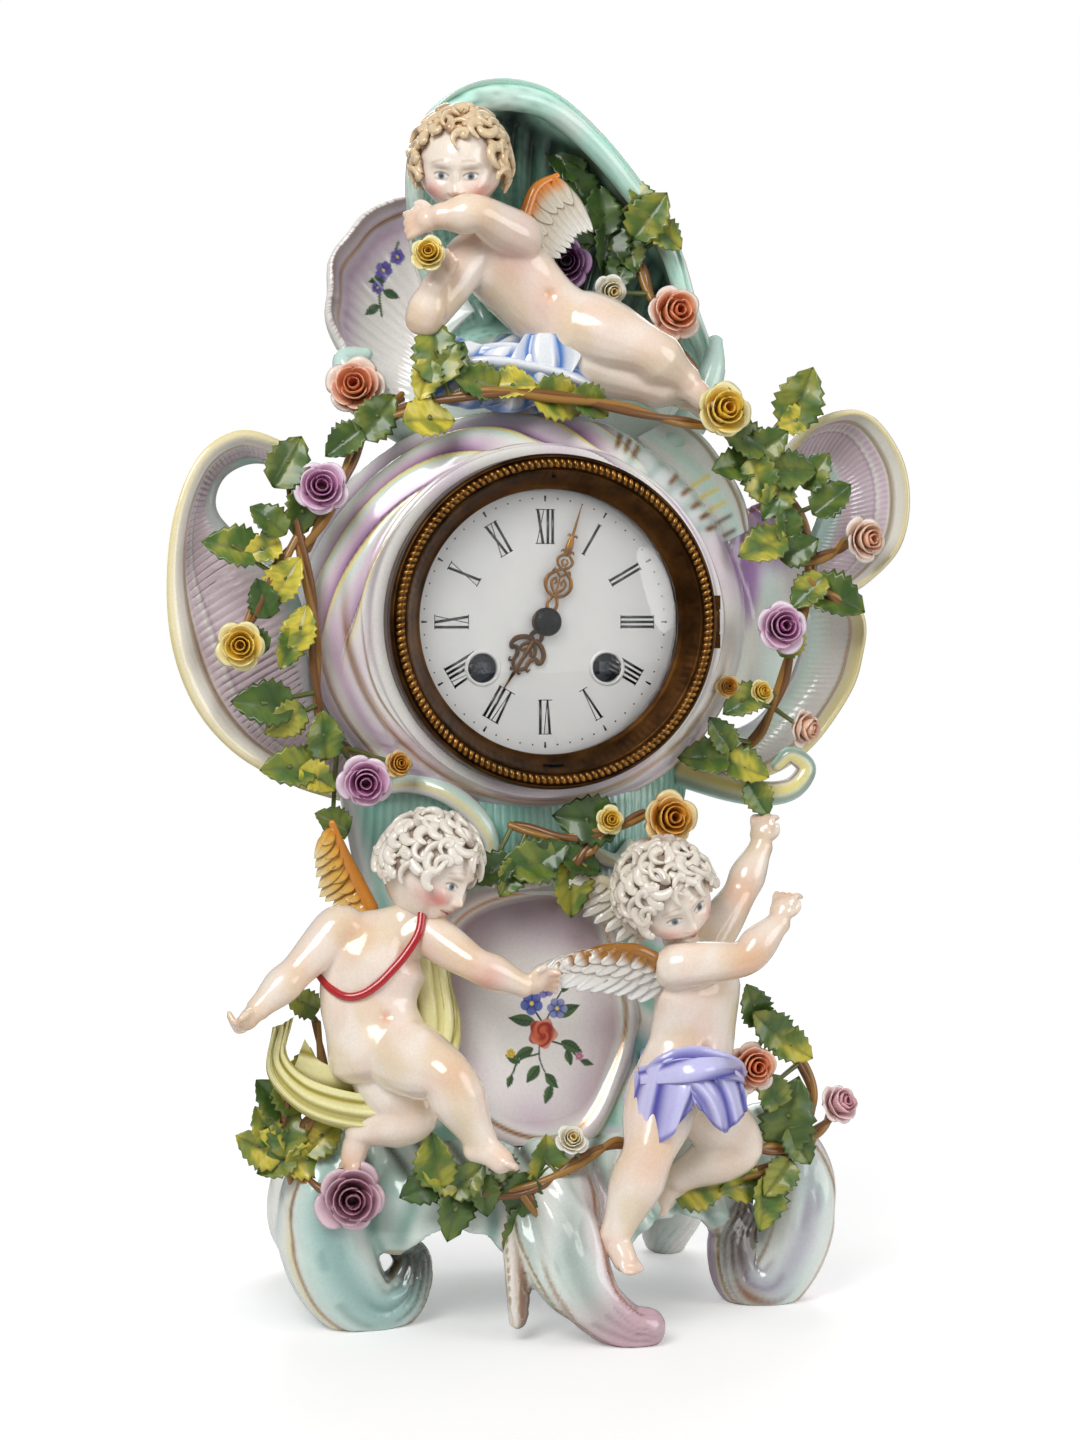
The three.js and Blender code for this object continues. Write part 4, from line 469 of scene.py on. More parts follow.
def makeStudio():
    world = bpy.data.worlds.new("paleStudio")
    bpy.context.scene.world = world
    world.use_nodes = True
    tree = world.node_tree
    background = tree.nodes["Background"]
    path = addNode(tree, "ShaderNodeLightPath")
    seen = addNode(tree, "ShaderNodeMath", {"operation": "MAXIMUM"},
        {0: path.outputs["Is Camera Ray"], 1: path.outputs["Is Transmission Ray"]})
    background.inputs["Color"].default_value = (1, 1, 1, 1)
    feed(ranged(tree, seen.outputs[0], 0.36, 1.0), background.inputs["Strength"])
    areaLight("softKey", (-520, -760, 820), (0, 0, 230), 0.6, 7.5)
    areaLight("softFill", (760, -640, 420), (0, 0, 220), 0.7, 3.0)
    areaLight("softBack", (200, 700, 700), (0, 0, 240), 0.8, 4)
    floor = bpy.data.meshes.new("paleFloor")
    half = 1.6
    floor.from_pydata([(-half, -half, 0), (half, -half, 0), (half, half, 0), (-half, half, 0)], [],
        [(0, 1, 2, 3)])
    table = bpy.data.objects.new("paleFloor", floor)
    bpy.context.scene.collection.objects.link(table)
    material, tree, shader, place = newMaterial("paleTable", {"Roughness": 0.7})
    # the table fades into the white backdrop away from the clock
    far = addNode(tree, "ShaderNodeVectorMath", {"operation": "LENGTH"}, {0: place})
    fade = ranged(tree, far.outputs["Value"], 0.0, 1.0, 0.22, 0.75)
    lookedAt = addNode(tree, "ShaderNodeLightPath")
    glow = addNode(tree, "ShaderNodeMath", {"operation": "MULTIPLY"},
        {0: lookedAt.outputs["Is Camera Ray"], 1: ranged(tree, fade, 0.3, 1.0)})
    shader.inputs["Emission Color"].default_value = (1, 1, 1, 1)
    feed(ranged(tree, fade, 0.82, 0.05), shader.inputs["Base Color"])
    feed(glow.outputs[0], shader.inputs["Emission Strength"])
    floor.materials.append(material)


makeCamera()
makeStudio()
print("camera and light")

white, cream = linear(0xF1EEE8), linear(0xEFE7DA)
mint, paleMint, seaGreen, deepGreen = linear(0xA5DACB), linear(0xCDE9DF), linear(0x6FB5A2), linear(0x2F4F40)
lilac, paleLilac, plum = linear(0xC7A2C4), linear(0xE3D0E2), linear(0x8D6590)
yellow, ochre, brown = linear(0xEFD85A), linear(0xB98A3A), linear(0x6E4426)

# Drum of the case: the outer skin, from the collar round the bezel over the shoulder to the back

drumShape = {
    "halfWidth": 80.4, "top": 76.5, "bottom": 72.4, "columns": 760, "rows": (100, 24), "strokes": 14,
    "sweep": 9.6, "relief": 2.0,
    "shares": [None, None, None, 0.81, 0.90, 0.955, 1.0, 1.008, 1.0, 0.955, 0.84, None, None],
    "radii": [56.4, 57.4, 61.5, None, None, None, None, None, None, None, None, 63.0, 62.0],
    "depths": [-50.0, -53.0, -53.4, -50.4, -43.5, -35.5, -22.0, -8.0, 18.0, 34.0, 47.0, 47.4, 45.0],
}


def drumStrokes(a, v):
    # leaf strokes rooted outside at the lower left, sweeping clockwise in to the bezel: a saw wave of bearing
    # less radius, steep on its gilt outer edge; each stroke has its own root and tip
    run = np.degrees(a)
    left = step(48, 80, run) * (1 - step(166, 198, run))
    phase = drumShape["strokes"] * a / (2 * np.pi) - drumShape["sweep"] * v + 0.3 * np.sin(3 * a + 6 * v)
    tooth = phase % 1
    own = np.modf(np.abs(np.sin(np.floor(phase) * 12.9898) * 43.7585))[0]
    tip, root = 0.1 + 0.14 * own, 0.66 - 0.12 * own
    seat = step(0, 0.07, v - tip) * (1 - step(-0.16, 0, v - root))
    crest = np.minimum(step(0.0, 0.12, tooth), 1 - step(0.16, 1.0, tooth))
    return left * seat, tooth, crest, own


def drumSkin():
    shape = drumShape
    rows = np.r_[np.linspace(0, 0.62, shape["rows"][0])[:-1], np.linspace(0.62, 1, shape["rows"][1])]
    a, v = np.meshgrid(fullTurn(shape["columns"]), rows, indexing="ij")
    cos, sin = np.cos(a), np.sin(a)
    tall = np.where(sin > 0, shape["top"], shape["bottom"])
    reach = 1 / np.sqrt((cos / shape["halfWidth"]) ** 2 + (sin / tall) ** 2)
    knots = np.linspace(0, 1, len(shape["depths"]))
    hats = smoothHats(v, knots)
    radial = sum(hat * (radius if share is None else share * reach)
        for share, radius, hat in zip(shape["shares"], shape["radii"], hats))
    depth = sum(y * hat for y, hat in zip(shape["depths"], hats))
    base = np.stack([radial * cos, depth, dialZ + radial * sin], -1)
    seat, tooth, crest, own = drumStrokes(a, v)
    run = np.degrees(a)
    low = step(158, 192, run) * (1 - step(330, 356, run))
    lines = (low * (bump(v, 0.30 + 0.012 * np.sin(3 * a), 0.012)
        + bump(v, 0.41 + 0.016 * np.sin(2 * a + 1), 0.012)))
    collar = bump(v, 0.225 + 0.008 * np.cos(a * 7), 0.016) * (1 - 0.9 * np.clip(seat * 3, 0, 1))
    combed = step(20, 34, run) * (1 - step(58, 70, run)) * step(0.2, 0.28, v) * (1 - step(0.5, 0.66, v))
    ribs = 0.5 + 0.5 * np.cos(46 * a + 16 * v)
    rise = seat * crest * shape["relief"] + collar * 0.9 + lines * 0.7 - combed * (1 - ribs) * 0.5
    rise += bump(v, 0.47, 0.05) * bump(run, 0, 24) * 1.2 + bump(v, 0.47, 0.05) * bump(run, 360, 24) * 1.2
    normals = unit(np.cross(np.gradient(base, axis=0), np.gradient(base, axis=1)))
    outward = np.sign(np.sum(normals * np.stack([cos, -0.4 + 0 * cos, sin], -1), -1, keepdims=True))
    points = base + normals * outward * rise[..., None]
    wash = cloudy(base, 16, 3)
    front = 1 - step(0.52, 0.72, v)
    paint = mix(white, paleLilac, 0.6 * step(-0.4, 0.6, wash) * front)
    # each stroke goes from white at its crest through lilac, partly its own colour and partly painted shade,
    # to plum painted shade on its low side where the next stroke overlaps it; the dark brown line at the step
    # is partly an outline and partly painted shadow
    paint = layered(paint, [
        (lilac, seat * step(0.3, 0.9, tooth) * (0.7 + 0.3 * own)),
        (plum, seat * step(0.7, 1.0, tooth) * 0.9),
        (linear(0x4A3428), seat * (bump(tooth, 0.985, 0.03) + bump(tooth, 0.0, 0.03)) * 0.85),
        (paleMint, seat * bump(tooth, 0.3, 0.12) * (own > 0.6) * 0.8),
        (paleMint, bump(v, 0.6, 0.1) * (0.4 + 0.2 * wash)),
        (mint, bump(run, 275, 34) * step(0.36, 0.46, v) * front * 0.6),
    ])
    right = np.clip(bump(run, 14, 22) + bump(run, 374, 22), 0, 1)
    paint = layered(paint, [
        (lilac, right * bump(v, 0.44, 0.07) * 0.9),
        (linear(0xA27CAE), bump(run, 16, 10) * bump(v, 0.42, 0.04) * 0.6),
        (paleMint, combed * (0.4 + 0.5 * (1 - ribs))),
        # grey in the grooves of the combed ribs: painted shade
        (linear(0xB9BDBE), combed * (1 - ribs) ** 3 * 0.7),
        # lilac bands between and beside the raised lines below the dial: lilac colour laid partly as painted
        # shade in the grooves
        (lilac, low * (bump(v, 0.35, 0.03) * 0.7 + bump(v, 0.465, 0.02) * 0.55)),
        (linear(0x4A3428), low * bump(v, 0.52 + 0.01 * np.sin(3 * a), 0.006) * 0.9),
        (linear(0xA9A0A4), bump(v, 0.19, 0.02) * 0.6),
    ])
    tips = 1 - step(0.34, 0.56, v)
    paint = mix(paint, yellow, seat * bump(tooth, 0.2, 0.07) * tips * 0.8)
    gold = seat * bump(tooth, 0.1, 0.04) * (0.45 + 0.55 * tips) + lines * 0.7
    gold = gold + bump(v, 0.246 + 0.008 * np.cos(a * 7), 0.005) * 0.8 * (1 - seat)
    marks = (sum(bump(run, at - 12 * (v - 0.35), 0.8) for at in (60, 63, 66, 28, 32, 36, 41, 46))
        * step(0.28, 0.32, v) * (1 - step(0.38, 0.44, v)))
    return gridPart(points, paint, np.clip(gold + marks, 0, 1), aroundRows=True)


def smoothHats(v, knots):
    # weights of evenly spaced knots under a smooth (cubic) curve through their values
    spacing = knots[1] - knots[0]
    count = len(knots)
    t = np.clip(v / spacing, 0, count - 1 - 1e-6)
    i, f = t.astype(int), t - t.astype(int)
    weights = [-0.5 * f + f**2 - 0.5 * f**3, 1 - 2.5 * f**2 + 1.5 * f**3,
        0.5 * f + 2 * f**2 - 1.5 * f**3, -0.5 * f**2 + 0.5 * f**3]
    hats = [np.zeros_like(v) for _ in knots]
    for offset, weight in zip((-1, 0, 1, 2), weights):
        at = np.clip(i + offset, 0, count - 1)
        for k in range(count):
            hats[k] += np.where(at == k, weight, 0)
    return hats


piece("drumSkin", drumSkin(), porcelain)
print("drum")

# Waist: a skin round the case below the drum, with the framed painted panel in front

waistShape = {
    "levels": [0, 0.13, 0.35, 0.6, 0.85, 1], "halves": [64, 58, 54, 55, 62, 66],
    "fronts": [53, 50, 46, 44, 42, 38], "backs": [45] * 6,
    "squareness": 0.72, "frontFall": 0.85, "backFall": 0.5, "turnEase": 0.42, "low": 64.0, "high": 199,
    "bottom": 66.3, "top": 205.0, "skin": 1.3, "columns": 430, "rows": 170,
    "panelX": -4, "panelZ": 110, "panelWide": 33, "panelTall": 43,
}


def panelDistance(x, z):
    # 1 on the panel's frame, less inside it
    shape = waistShape
    lobes = 1 + 0.035 * np.cos(5 * np.arctan2(z - shape["panelZ"], x - shape["panelX"]) + 0.6)
    across, up = (np.abs(x - shape["panelX"]) / shape["panelWide"],
        np.abs(z - shape["panelZ"]) / shape["panelTall"])
    return (across**2.35 + up**2.2) ** (1 / 2.3) / lobes


def waistFront(x, z):
    # depth of the waist's smooth front at a place
    half, front, _ = waistSizes(z)
    cos = np.clip(np.abs(x) / half, 0, 1) ** (1 / waistShape["squareness"])
    return -front * np.sqrt(1 - cos**2) ** waistShape["frontFall"]


def waistSizes(z):
    shape = waistShape
    share = (z - shape["bottom"]) / (shape["top"] - shape["bottom"])
    return [np.interp(share, shape["levels"], shape[key]) + shape["skin"]
        for key in ("halves", "fronts", "backs")]


def panelField(x, z, points):
    # the panel's ground: white below the middle, lilac clouds towards its frame, grey-brown painted shade
    # under the top of the frame, and a greyer tone near the frame in the middle
    d = panelDistance(x, z)
    wash = cloudy(points, 13, 5)
    field = mix(linear(0xF3EFEC), lilac, np.clip(step(0.4, 0.96, d) * (0.5 + 0.4 * wash), 0, 1) * 0.75)
    field = mix(field, linear(0x9C8290), step(0.25, 0.95, d) * step(102, 146, z) * 0.85)
    return mix(field, linear(0xC7B8B4), step(0.6, 1.0, d) * step(-20, 20, x) * 0.5)


def waistSkin():
    shape = waistShape
    turn = fullTurn(shape["columns"])
    turn = turn - shape["turnEase"] * np.sin(2 * turn + np.pi)
    z, a = np.meshgrid(np.linspace(shape["low"], shape["high"], shape["rows"]), turn, indexing="ij")
    half, front, back = waistSizes(z)
    cos, sin = np.cos(a), np.sin(a)
    x = half * np.sign(cos) * np.abs(cos) ** shape["squareness"]
    y = np.where(sin < 0, -front * np.abs(sin) ** shape["frontFall"], back * np.abs(sin) ** shape["backFall"])
    near = step(0.1, 0.5, -sin)
    d = panelDistance(x, z)
    outside = step(1.12, 1.2, d) * near
    angle = np.arctan2(z - shape["panelZ"], x - shape["panelX"])
    curls = 0.5 + 0.5 * np.sin(11 * angle + 8 * d + 1.4 * np.sin(3 * angle))
    upper = step(150, 164, z)
    fine = 0.5 + 0.5 * np.cos(x * 2 * np.pi / 2.6)
    rise = (bump(d, 1.07, 0.085) * near * 3.0 + outside * (1 - upper) * (curls - 0.35) * 1.8
        - upper * near * fine * 0.6)
    sideways = np.stack([np.gradient(y, axis=1), -np.gradient(x, axis=1), 0 * x], -1)
    normal = unit(sideways)
    normal = normal * np.sign(np.sum(normal * np.stack([x, y, 0 * x], -1), -1, keepdims=True))
    points = np.stack([x, y, z], -1) + normal * rise[..., None]
    wash = cloudy(points, 14, 5)
    paint = mix(white, paleMint, near * step(-0.3, 0.6, wash) * 0.7 + 0.5 * (1 - near)
        * (bump(z, 66, 12) + bump(z, 199, 14)))
    paint = layered(paint, [
        (mint, outside * np.clip(0.9 - curls, 0, 1)),
        (seaGreen, outside * bump(curls, 0.05, 0.2) * 0.5),
        (paleLilac, outside * step(0.1, 0.8, cloudy(points, 10, 8)) * 0.8),
        (mint, upper * (0.45 + 0.45 * fine) * near),
        (seaGreen, upper * (1 - fine) * near * 0.7),
        # a dark green band across the flutes behind the swag of leaves: painted shadow of the swag
        (deepGreen, upper * bump(z, 166, 7) * near * 0.35),
        (panelField(x, z, np.stack([x, 0 * x, z], -1)), (1 - step(0.9, 1.02, d)) * near),
        (mix(paleLilac, ochre, 0.25), bump(d, 1.07, 0.06) * near * 0.6),
    ])
    gold = (bump(d, 1.0, 0.016) + 0.8 * bump(d, 1.17, 0.014) * (1 - upper)) * near
    return gridPart(points, paint, np.clip(gold, 0, 1), aroundCols=True)


# A painted spray on the panel: strokes of enamel, laid as masks over a fine polar sheet

def paintedFlower(paint, x, z, at, size, tone, dark, petals=5, turn=0.0):
    r, a = np.hypot(x - at[0], z - at[1]) / size, np.arctan2(z - at[1], x - at[0]) + turn
    lobe = 0.74 + 0.26 * np.abs(np.cos(petals * a / 2)) ** 0.7
    shade = np.clip(0.15 + 0.8 * bump(np.cos(petals * a / 2), 0, 0.28) + 0.5 * bump(r, 0.3, 0.2), 0, 1)
    paint = mix(paint, mix(tone, dark, shade), 1 - step(0.88, 1.0, r / lobe))
    return mix(paint, yellow, 1 - step(0.13, 0.2, r))


def paintedRose(paint, x, z, at, size, tone, dark):
    r, a = np.hypot(x - at[0], z - at[1]) / size, np.arctan2(z - at[1], x - at[0])
    lobe = 0.9 + 0.1 * np.cos(5 * a + 0.7)
    folds = 0.5 + 0.5 * np.cos(11 * r + 1.6 * np.sin(2 * a + 4 * r) + a)
    return mix(paint, mix(mix(tone, dark, folds), cream, 0.35 * bump(r, 0.8, 0.14) * (1 - folds)),
        1 - step(0.9, 1.0, r / lobe))


def paintedLeaf(paint, x, z, at, angle, length, width, tone, dark):
    c, s = np.cos(np.radians(angle)), np.sin(np.radians(angle))
    u, w = ((x - at[0]) * c + (z - at[1]) * s) / length, ((z - at[1]) * c - (x - at[0]) * s) / width
    edge = np.sin(np.pi * np.clip(u, 0, 1) ** 0.8) + 1e-6
    ribs = 0.5 + 0.5 * np.cos(40 * u - 8 * np.abs(w))
    colour = mix(mix(tone, dark, 0.35 * ribs + 0.4 * (w > 0)), dark, bump(w, 0, 0.1))
    return mix(paint, colour, (1 - step(0.85, 1.0, np.abs(w) / edge)) * (u > 0) * (u < 1))


def paintedStem(paint, x, z, points, width, tone):
    line = spline([(px, 0, pz) for px, pz in points], 60)
    near = np.sqrt(np.min((x[..., None] - line[:, 0]) ** 2 + (z[..., None] - line[:, 2]) ** 2, -1))
    return mix(paint, tone, 1 - step(width * 0.5, width * 0.5 + 0.25, near))


def paintedSpray(paint, x, z):
    leaf, darkLeaf = linear(0x4F6E3A), linear(0x23402A)
    blue, darkBlue = linear(0x6677C4), linear(0x2E3A86)
    stems = [[(9, 120), (4, 112), (0, 104), (-2, 94), (2, 84)], [(-9, 121), (-5, 113), (0, 105)],
        [(0, 100), (8, 97), (13, 92)], [(-2, 95), (-9, 93), (-12, 88)]]
    for stem in stems:
        paint = paintedStem(paint, x, z, stem, 0.45, darkLeaf)
    leaves = [(4, 108, 20, 10, 2.4), (-3, 106, 170, 10, 2.3), (6, 99, -28, 9, 2.2), (-4, 97, 205, 8, 2.0),
        (-2, 91, 230, 8, 2.1), (0, 88, -50, 7, 1.9),
        (2, 84, 250, 7, 1.8), (8, 96, -75, 6, 1.6), (-9, 92, 150, 6, 1.6), (7, 116, 60, 6, 1.6),
        (-8, 119, 120, 6, 1.5), (-12, 88, 250, 5, 1.3), (13, 92, -20, 5, 1.3)]
    for lx, lz, angle, length, width in leaves:
        paint = paintedLeaf(paint, x, z, (lx, lz), angle, length, width, leaf, darkLeaf)
    paint = paintedFlower(paint, x, z, (-4.2, 112.5), 4.4, blue, darkBlue, 5, 0.4)
    paint = paintedFlower(paint, x, z, (5.0, 110.5), 4.0, mix(blue, white, np.array(0.25)), darkBlue, 6, 0.1)
    paint = paintedFlower(paint, x, z, (9.6, 120.5), 2.2, blue, darkBlue, 5, 0.9)
    paint = paintedFlower(paint, x, z, (0.8, 117.5), 3.6, mix(blue, lilac, np.array(0.4)), darkBlue, 5, 0.7)
    paint = paintedRose(paint, x, z, (-0.5, 102), 5.8, linear(0xE06A3C), linear(0xA3201C))
    paint = paintedFlower(paint, x, z, (12.6, 93.5), 1.7, linear(0xD98AA0), plum, 5)
    return paintedFlower(paint, x, z, (-12.2, 95.4), 1.8, linear(0xE9C84A), ochre, 5)


def paintedPanel():
    a, rho = np.meshgrid(fullTurn(400), np.linspace(0.002, 0.9, 130), indexing="ij")
    shape = waistShape
    cos, sin = np.cos(a), np.sin(a)
    edge = (np.abs(cos / shape["panelWide"]) ** 2.3 + np.abs(sin / shape["panelTall"]) ** 2.3) ** (-1 / 2.3)
    x, z = shape["panelX"] + rho * edge * cos, shape["panelZ"] + rho * edge * sin
    points = np.stack([x, waistFront(x, z) - 0.14, z], -1)
    paint = panelField(x, z, np.stack([x, 0 * x, z], -1))
    return gridPart(points, paintedSpray(paint, x, z), 0.0, aroundRows=True)


def archScroll(along, a, points):
    turn = np.mod(a, 2 * np.pi)
    tone = mix(mix(white, paleMint, 0.5 + 0.5 * np.cos(3 * a)), linear(0x4E3020),
        bump(turn, 4.15, 0.55) * 0.92)
    return mix(tone, yellow, bump(turn, 2.7, 0.3) * 0.6)


# a C-shaped scroll over the left cherub's head, and a smaller one over the right cherub's
scrolls = [
    tube([(-58, -28, 186), (-46, -38, 190), (-34, -44, 187), (-24, -46, 179), (-18.5, -46.5, 169),
        (-21, -45.5, 161)], [1.5, 3.4, 4, 3.8, 3, 1.4], 18, 70, paint=archScroll),
    tube([(12, -46, 172), (18, -46, 166), (27, -44.5, 162), (33, -42, 168)],
        [1.6, 2.6, 2.8, 1.8], 14, 40, paint=archScroll),
]
piece("waistSkin", [waistSkin()] + scrolls, porcelain)
piece("paintedPanel", paintedPanel(), porcelain)
print("waist")

# Shells: a rim curve and an inner curve, with a hollow between them and flutes running in from the rim

def shell(rim, inner, rows, cols, hollow, thickness, painter, flutes=60,
    fluteDepth=0.35, lip=2.2, fall=(0, 1, 0)):
    outer, root = spline(rim, rows)[:, None], spline(inner, rows)[:, None]
    s, t = (np.linspace(0, 1, rows)[:, None] + np.zeros((1, cols)),
        np.linspace(0, 1, cols)[None, :] + np.zeros((rows, 1)))
    ends = np.sin(np.pi * np.clip(s, 0.02, 0.98)) ** 0.35
    dip = (4 * t * (1 - t)) ** 0.8 * hollow * ends + lip * bump(t, 0.0, 0.1) * -1
    points = outer * (1 - t[..., None]) + root * t[..., None] + dip[..., None] * vec(fall)
    groove = (0.5 + 0.5 * np.cos(2 * np.pi * flutes * s)) * step(0.1, 0.2, t) * (1 - step(0.7, 0.95, t))
    points = points + sheetNormals(points) * (groove * fluteDepth)[..., None]
    paint, gold, *back = painter(s, t, points, groove)
    return sheetPart(points, thickness, paint, gold, *back)


def lilacEar(s, t, points, groove):
    wash = cloudy(points, 12, 11)
    paint = mix(linear(0xF4EFE4), yellow, (1 - step(0.008, 0.03, t)) * 0.6)
    inside = step(0.13, 0.17, t)
    paint = layered(paint, [
        (linear(0xDCC0D6), inside * (0.62 + 0.14 * (1 - groove)) * (1 - 0.4 * step(0.55, 1, t))),
        (mint, step(0.62, 0.8, t) * (points[..., 0] > 0) * 0.75),
        (linear(0xB08FA8), inside * (1 - groove) ** 3 * 0.28),
    ])
    scallop = 0.24 + 0.018 * np.abs(np.sin(s * np.pi * 34))
    paint = layered(paint, [
        (white, bump(t, scallop, 0.022) * 0.9),
        (plum, bump(t, scallop + 0.035, 0.012) * 0.5),
        (mint, step(0.72, 0.98, t) * (0.35 + 0.4 * step(-0.2, 0.5, wash))),
    ])
    gold = bump(t, 0.115, 0.014) * 0.9
    return paint, gold


leftEar = {
    "rim": [(-80, -26, 302), (-89.5, -38, 308.7), (-105.5, -42, 312.8), (-119.7, -45, 304.4),
        (-128.5, -46, 285.3), (-131.6, -46, 261.3),
        (-129.6, -46, 237.4), (-121.4, -44, 216.8), (-107.2, -41, 201), (-87.6, -37, 190.1), (-70, -30, 184)],
    "inner": [(-78, -22, 297), (-88, -30, 300), (-100, -32, 302), (-110, -33, 297),
        (-113, -33, 287), (-106, -30, 278),
        (-86, -22, 262), (-78, -18, 240), (-76, -18, 222), (-70, -18, 208), (-60, -20, 196)],
}
rightEar = {
    "rim": [(92, -30, 304), (105.5, -40, 318.7), (120.2, -43, 321.3), (131.7, -45, 307.9),
        (135.2, -46, 291.4), (132.2, -45, 275), (121.4, -42, 263), (112, -36, 257)],
    "inner": [(84, -22, 292), (99, -30, 302), (108, -33, 300), (110, -34, 293), (108, -34, 285),
        (105, -33, 277), (103, -31, 268), (100, -28, 262)],
}
piece("leftEarShell", shell(leftEar["rim"], leftEar["inner"], 310, 50, 9, 4.2, lilacEar, 78, 0.22), porcelain,
    nodes=["left_scroll_wing"])


def mintScroll(s, t, points, groove):
    paint = mix(white, mint, step(0.3, 0.9, t) * (0.35 + 0.3 * (1 - groove)))
    paint = mix(paint, yellow, (1 - step(0.05, 0.2, t)) * 0.6)
    paint = mix(paint, paleLilac, step(0.75, 1, t) * 0.5)
    return paint, bump(t, 0.16, 0.02) * 0.8


def hookPaint(along, a, points):
    turn = np.mod(a, 2 * np.pi)
    tone = mix(mix(white, mint, 0.5 - 0.5 * np.sin(a)), yellow, bump(turn, 2.7, 0.5) * 0.8)
    return mix(tone, brown, (bump(turn, 3.6, 0.2) + bump(turn, 1.9, 0.14)) * 0.8)


lowerScroll = {
    "rim": [(112, -36, 262), (121.2, -37, 248), (120.6, -36, 234), (117.2, -34, 222.1), (106.3, -32, 205.6),
        (96, -30, 196), (84, -28, 190)],
    "inner": [(98, -26, 262), (104, -26, 248), (103, -24, 234), (98, -22, 222), (88, -20, 210),
        (72, -20, 203), (56, -20, 196)],
}


def bridgeSheet(outer, inner, painter):
    outer, inner = spline(outer, 90)[:, None], spline(inner, 90)[:, None]
    s, t = gridOf((0, 1, 90), (0, 1, 32))
    fold = np.cos(9 * t + 4 * s)
    points = outer * (1 - t[..., None]) + inner * t[..., None]
    points[..., 1] += 5 * np.sin(np.pi * t) - 1.0 * fold * np.sin(np.pi * t)
    return sheetPart(points, 4.0, *painter(s, t, fold))


def combPaint(s, t, fold):
    # short brown and yellow strokes across a white shoulder
    marks = bump((s * 9) % 1, 0.5, 0.16) * step(0.4, 0.5, s) * step(0.2, 0.35, t) * (1 - step(0.8, 0.95, t))
    paint = mix(mix(white, paleMint, 0.5 + 0.4 * fold), yellow, marks * (s < 0.75) * 0.8)
    return (mix(paint, linear(0x6E4A30), marks * (s >= 0.75) * 0.8), bump(t, 0.06, 0.03) * 0.8,
        mix(white, paleMint, 0.4 + 0 * s))


def shoulderPaint(s, t, fold):
    low = step(0.22, 0.42, s - 0.35 * t + 0.05 * fold)
    pale = mix(white, paleMint, 0.4 + 0.3 * fold)
    paint = mix(mix(linear(0xB592C2), paleLilac, step(0.2, 1, fold) * 0.6),
        linear(0x8E6A9E), bump(s, 0.4, 0.1) * 0.5)
    return mix(paint, pale, low), bump(s, 0.05, 0.02) * 0.9, pale


# a lilac leaf of porcelain fills between the drum and the right ear, and a white one the drum's shoulder
shoulderLines = ([(88, -25, 291), (98, -30, 287), (101, -31, 272), (102, -29, 255),
    (102, -26, 238), (97, -24, 222)],
    [(82, -23, 288), (77, -23, 279), (76, -25, 266), (78, -27, 250), (77, -26, 236), (72, -25, 222)])
combLines = ([(54, -27, 321), (64, -29, 313), (71, -31, 303), (77, -32, 292), (80, -32, 280)],
    [(40, -25, 314), (50, -27, 305), (57, -29, 294), (64, -30, 284), (70, -30, 273)])
smallScroll = [(58, -26, 192), (72, -37, 187), (84, -41, 185), (94, -42, 187), (99, -42, 194),
    (93, -42, 199), (88, -41, 195)]
rightParts = [
    shell(rightEar["rim"], rightEar["inner"], 220, 50, 10, 4.2, lilacEar, 52, 0.22),
    shell(lowerScroll["rim"], lowerScroll["inner"], 160, 40, 6, 3.8, mintScroll, 40, 0.2),
    bridgeSheet(*shoulderLines, shoulderPaint),
    bridgeSheet(*combLines, combPaint),
    tube(smallScroll, [5.6, 5, 4.5, 4, 3.6, 3, 2.2], 20, 60, paint=hookPaint),
]
piece("rightEarShell", rightParts, porcelain, nodes=["right_scroll_wing"])
print("ears")

# Crest: a mint scroll that curls forward over the reclining figure, and a lobed lilac shell on its left

def mintHood(s, t, points, groove):
    wash = cloudy(points, 9, 21)
    paint = mix(linear(0xC8FBEA), paleMint, step(-0.1, 0.8, wash) * 0.4)
    lines = bump(np.mod(26 * t + 2.4 * np.sin(6 * s) + 0.8 * wash, 1), 0.5, 0.13) * step(0.015, 0.05, t)
    paint = mix(paint, linear(0x5E8C7C), lines * (0.25 + 0.4 * bump(s, 0.3, 0.12)))
    # dark green inside the hollow of the hood, with near-black streaks in its upper part: painted shade
    dark = (step(0.07, 0.15, t + 0.03 * wash) * (1 - step(0.9, 1, t))
        * step(0.14, 0.3, s) * (1 - step(0.8, 0.9, s)))
    paint = mix(paint, linear(0x3F6B57), dark * 0.85)
    shadeStreaks = np.clip((1 - groove) * 0.9 + 0.6 * wash, 0, 1)
    paint = mix(paint, linear(0x131F19), dark * shadeStreaks * step(0.2, 0.36, s) * 0.9)
    paint = mix(paint, white, step(0.78, 0.9, s) * step(0.1, 0.4, t) * 0.75)
    return paint, bump(t, 0.1, 0.008) * step(0.5, 0.65, s) * 0.7, mix(white, paleMint, 0.4 + 0.3 * wash)


def hoodRoll(along, a, points):
    # the rolled rim: bright mint with darker brush lines
    tone = mix(linear(0xB9F4E2), white, 0.3 + 0.3 * cloudy(points, 8, 3))
    tone = mix(tone, linear(0x6B9486), bump(np.mod(1.3 * a + 1.5 * np.sin(9 * along), 1), 0.5, 0.12) * 0.35)
    return mix(tone, linear(0x4C6C62), bump(along, 0.3, 0.05)
        * step(0, 0.6, np.cos(5 * a + 30 * along)) * 0.6)


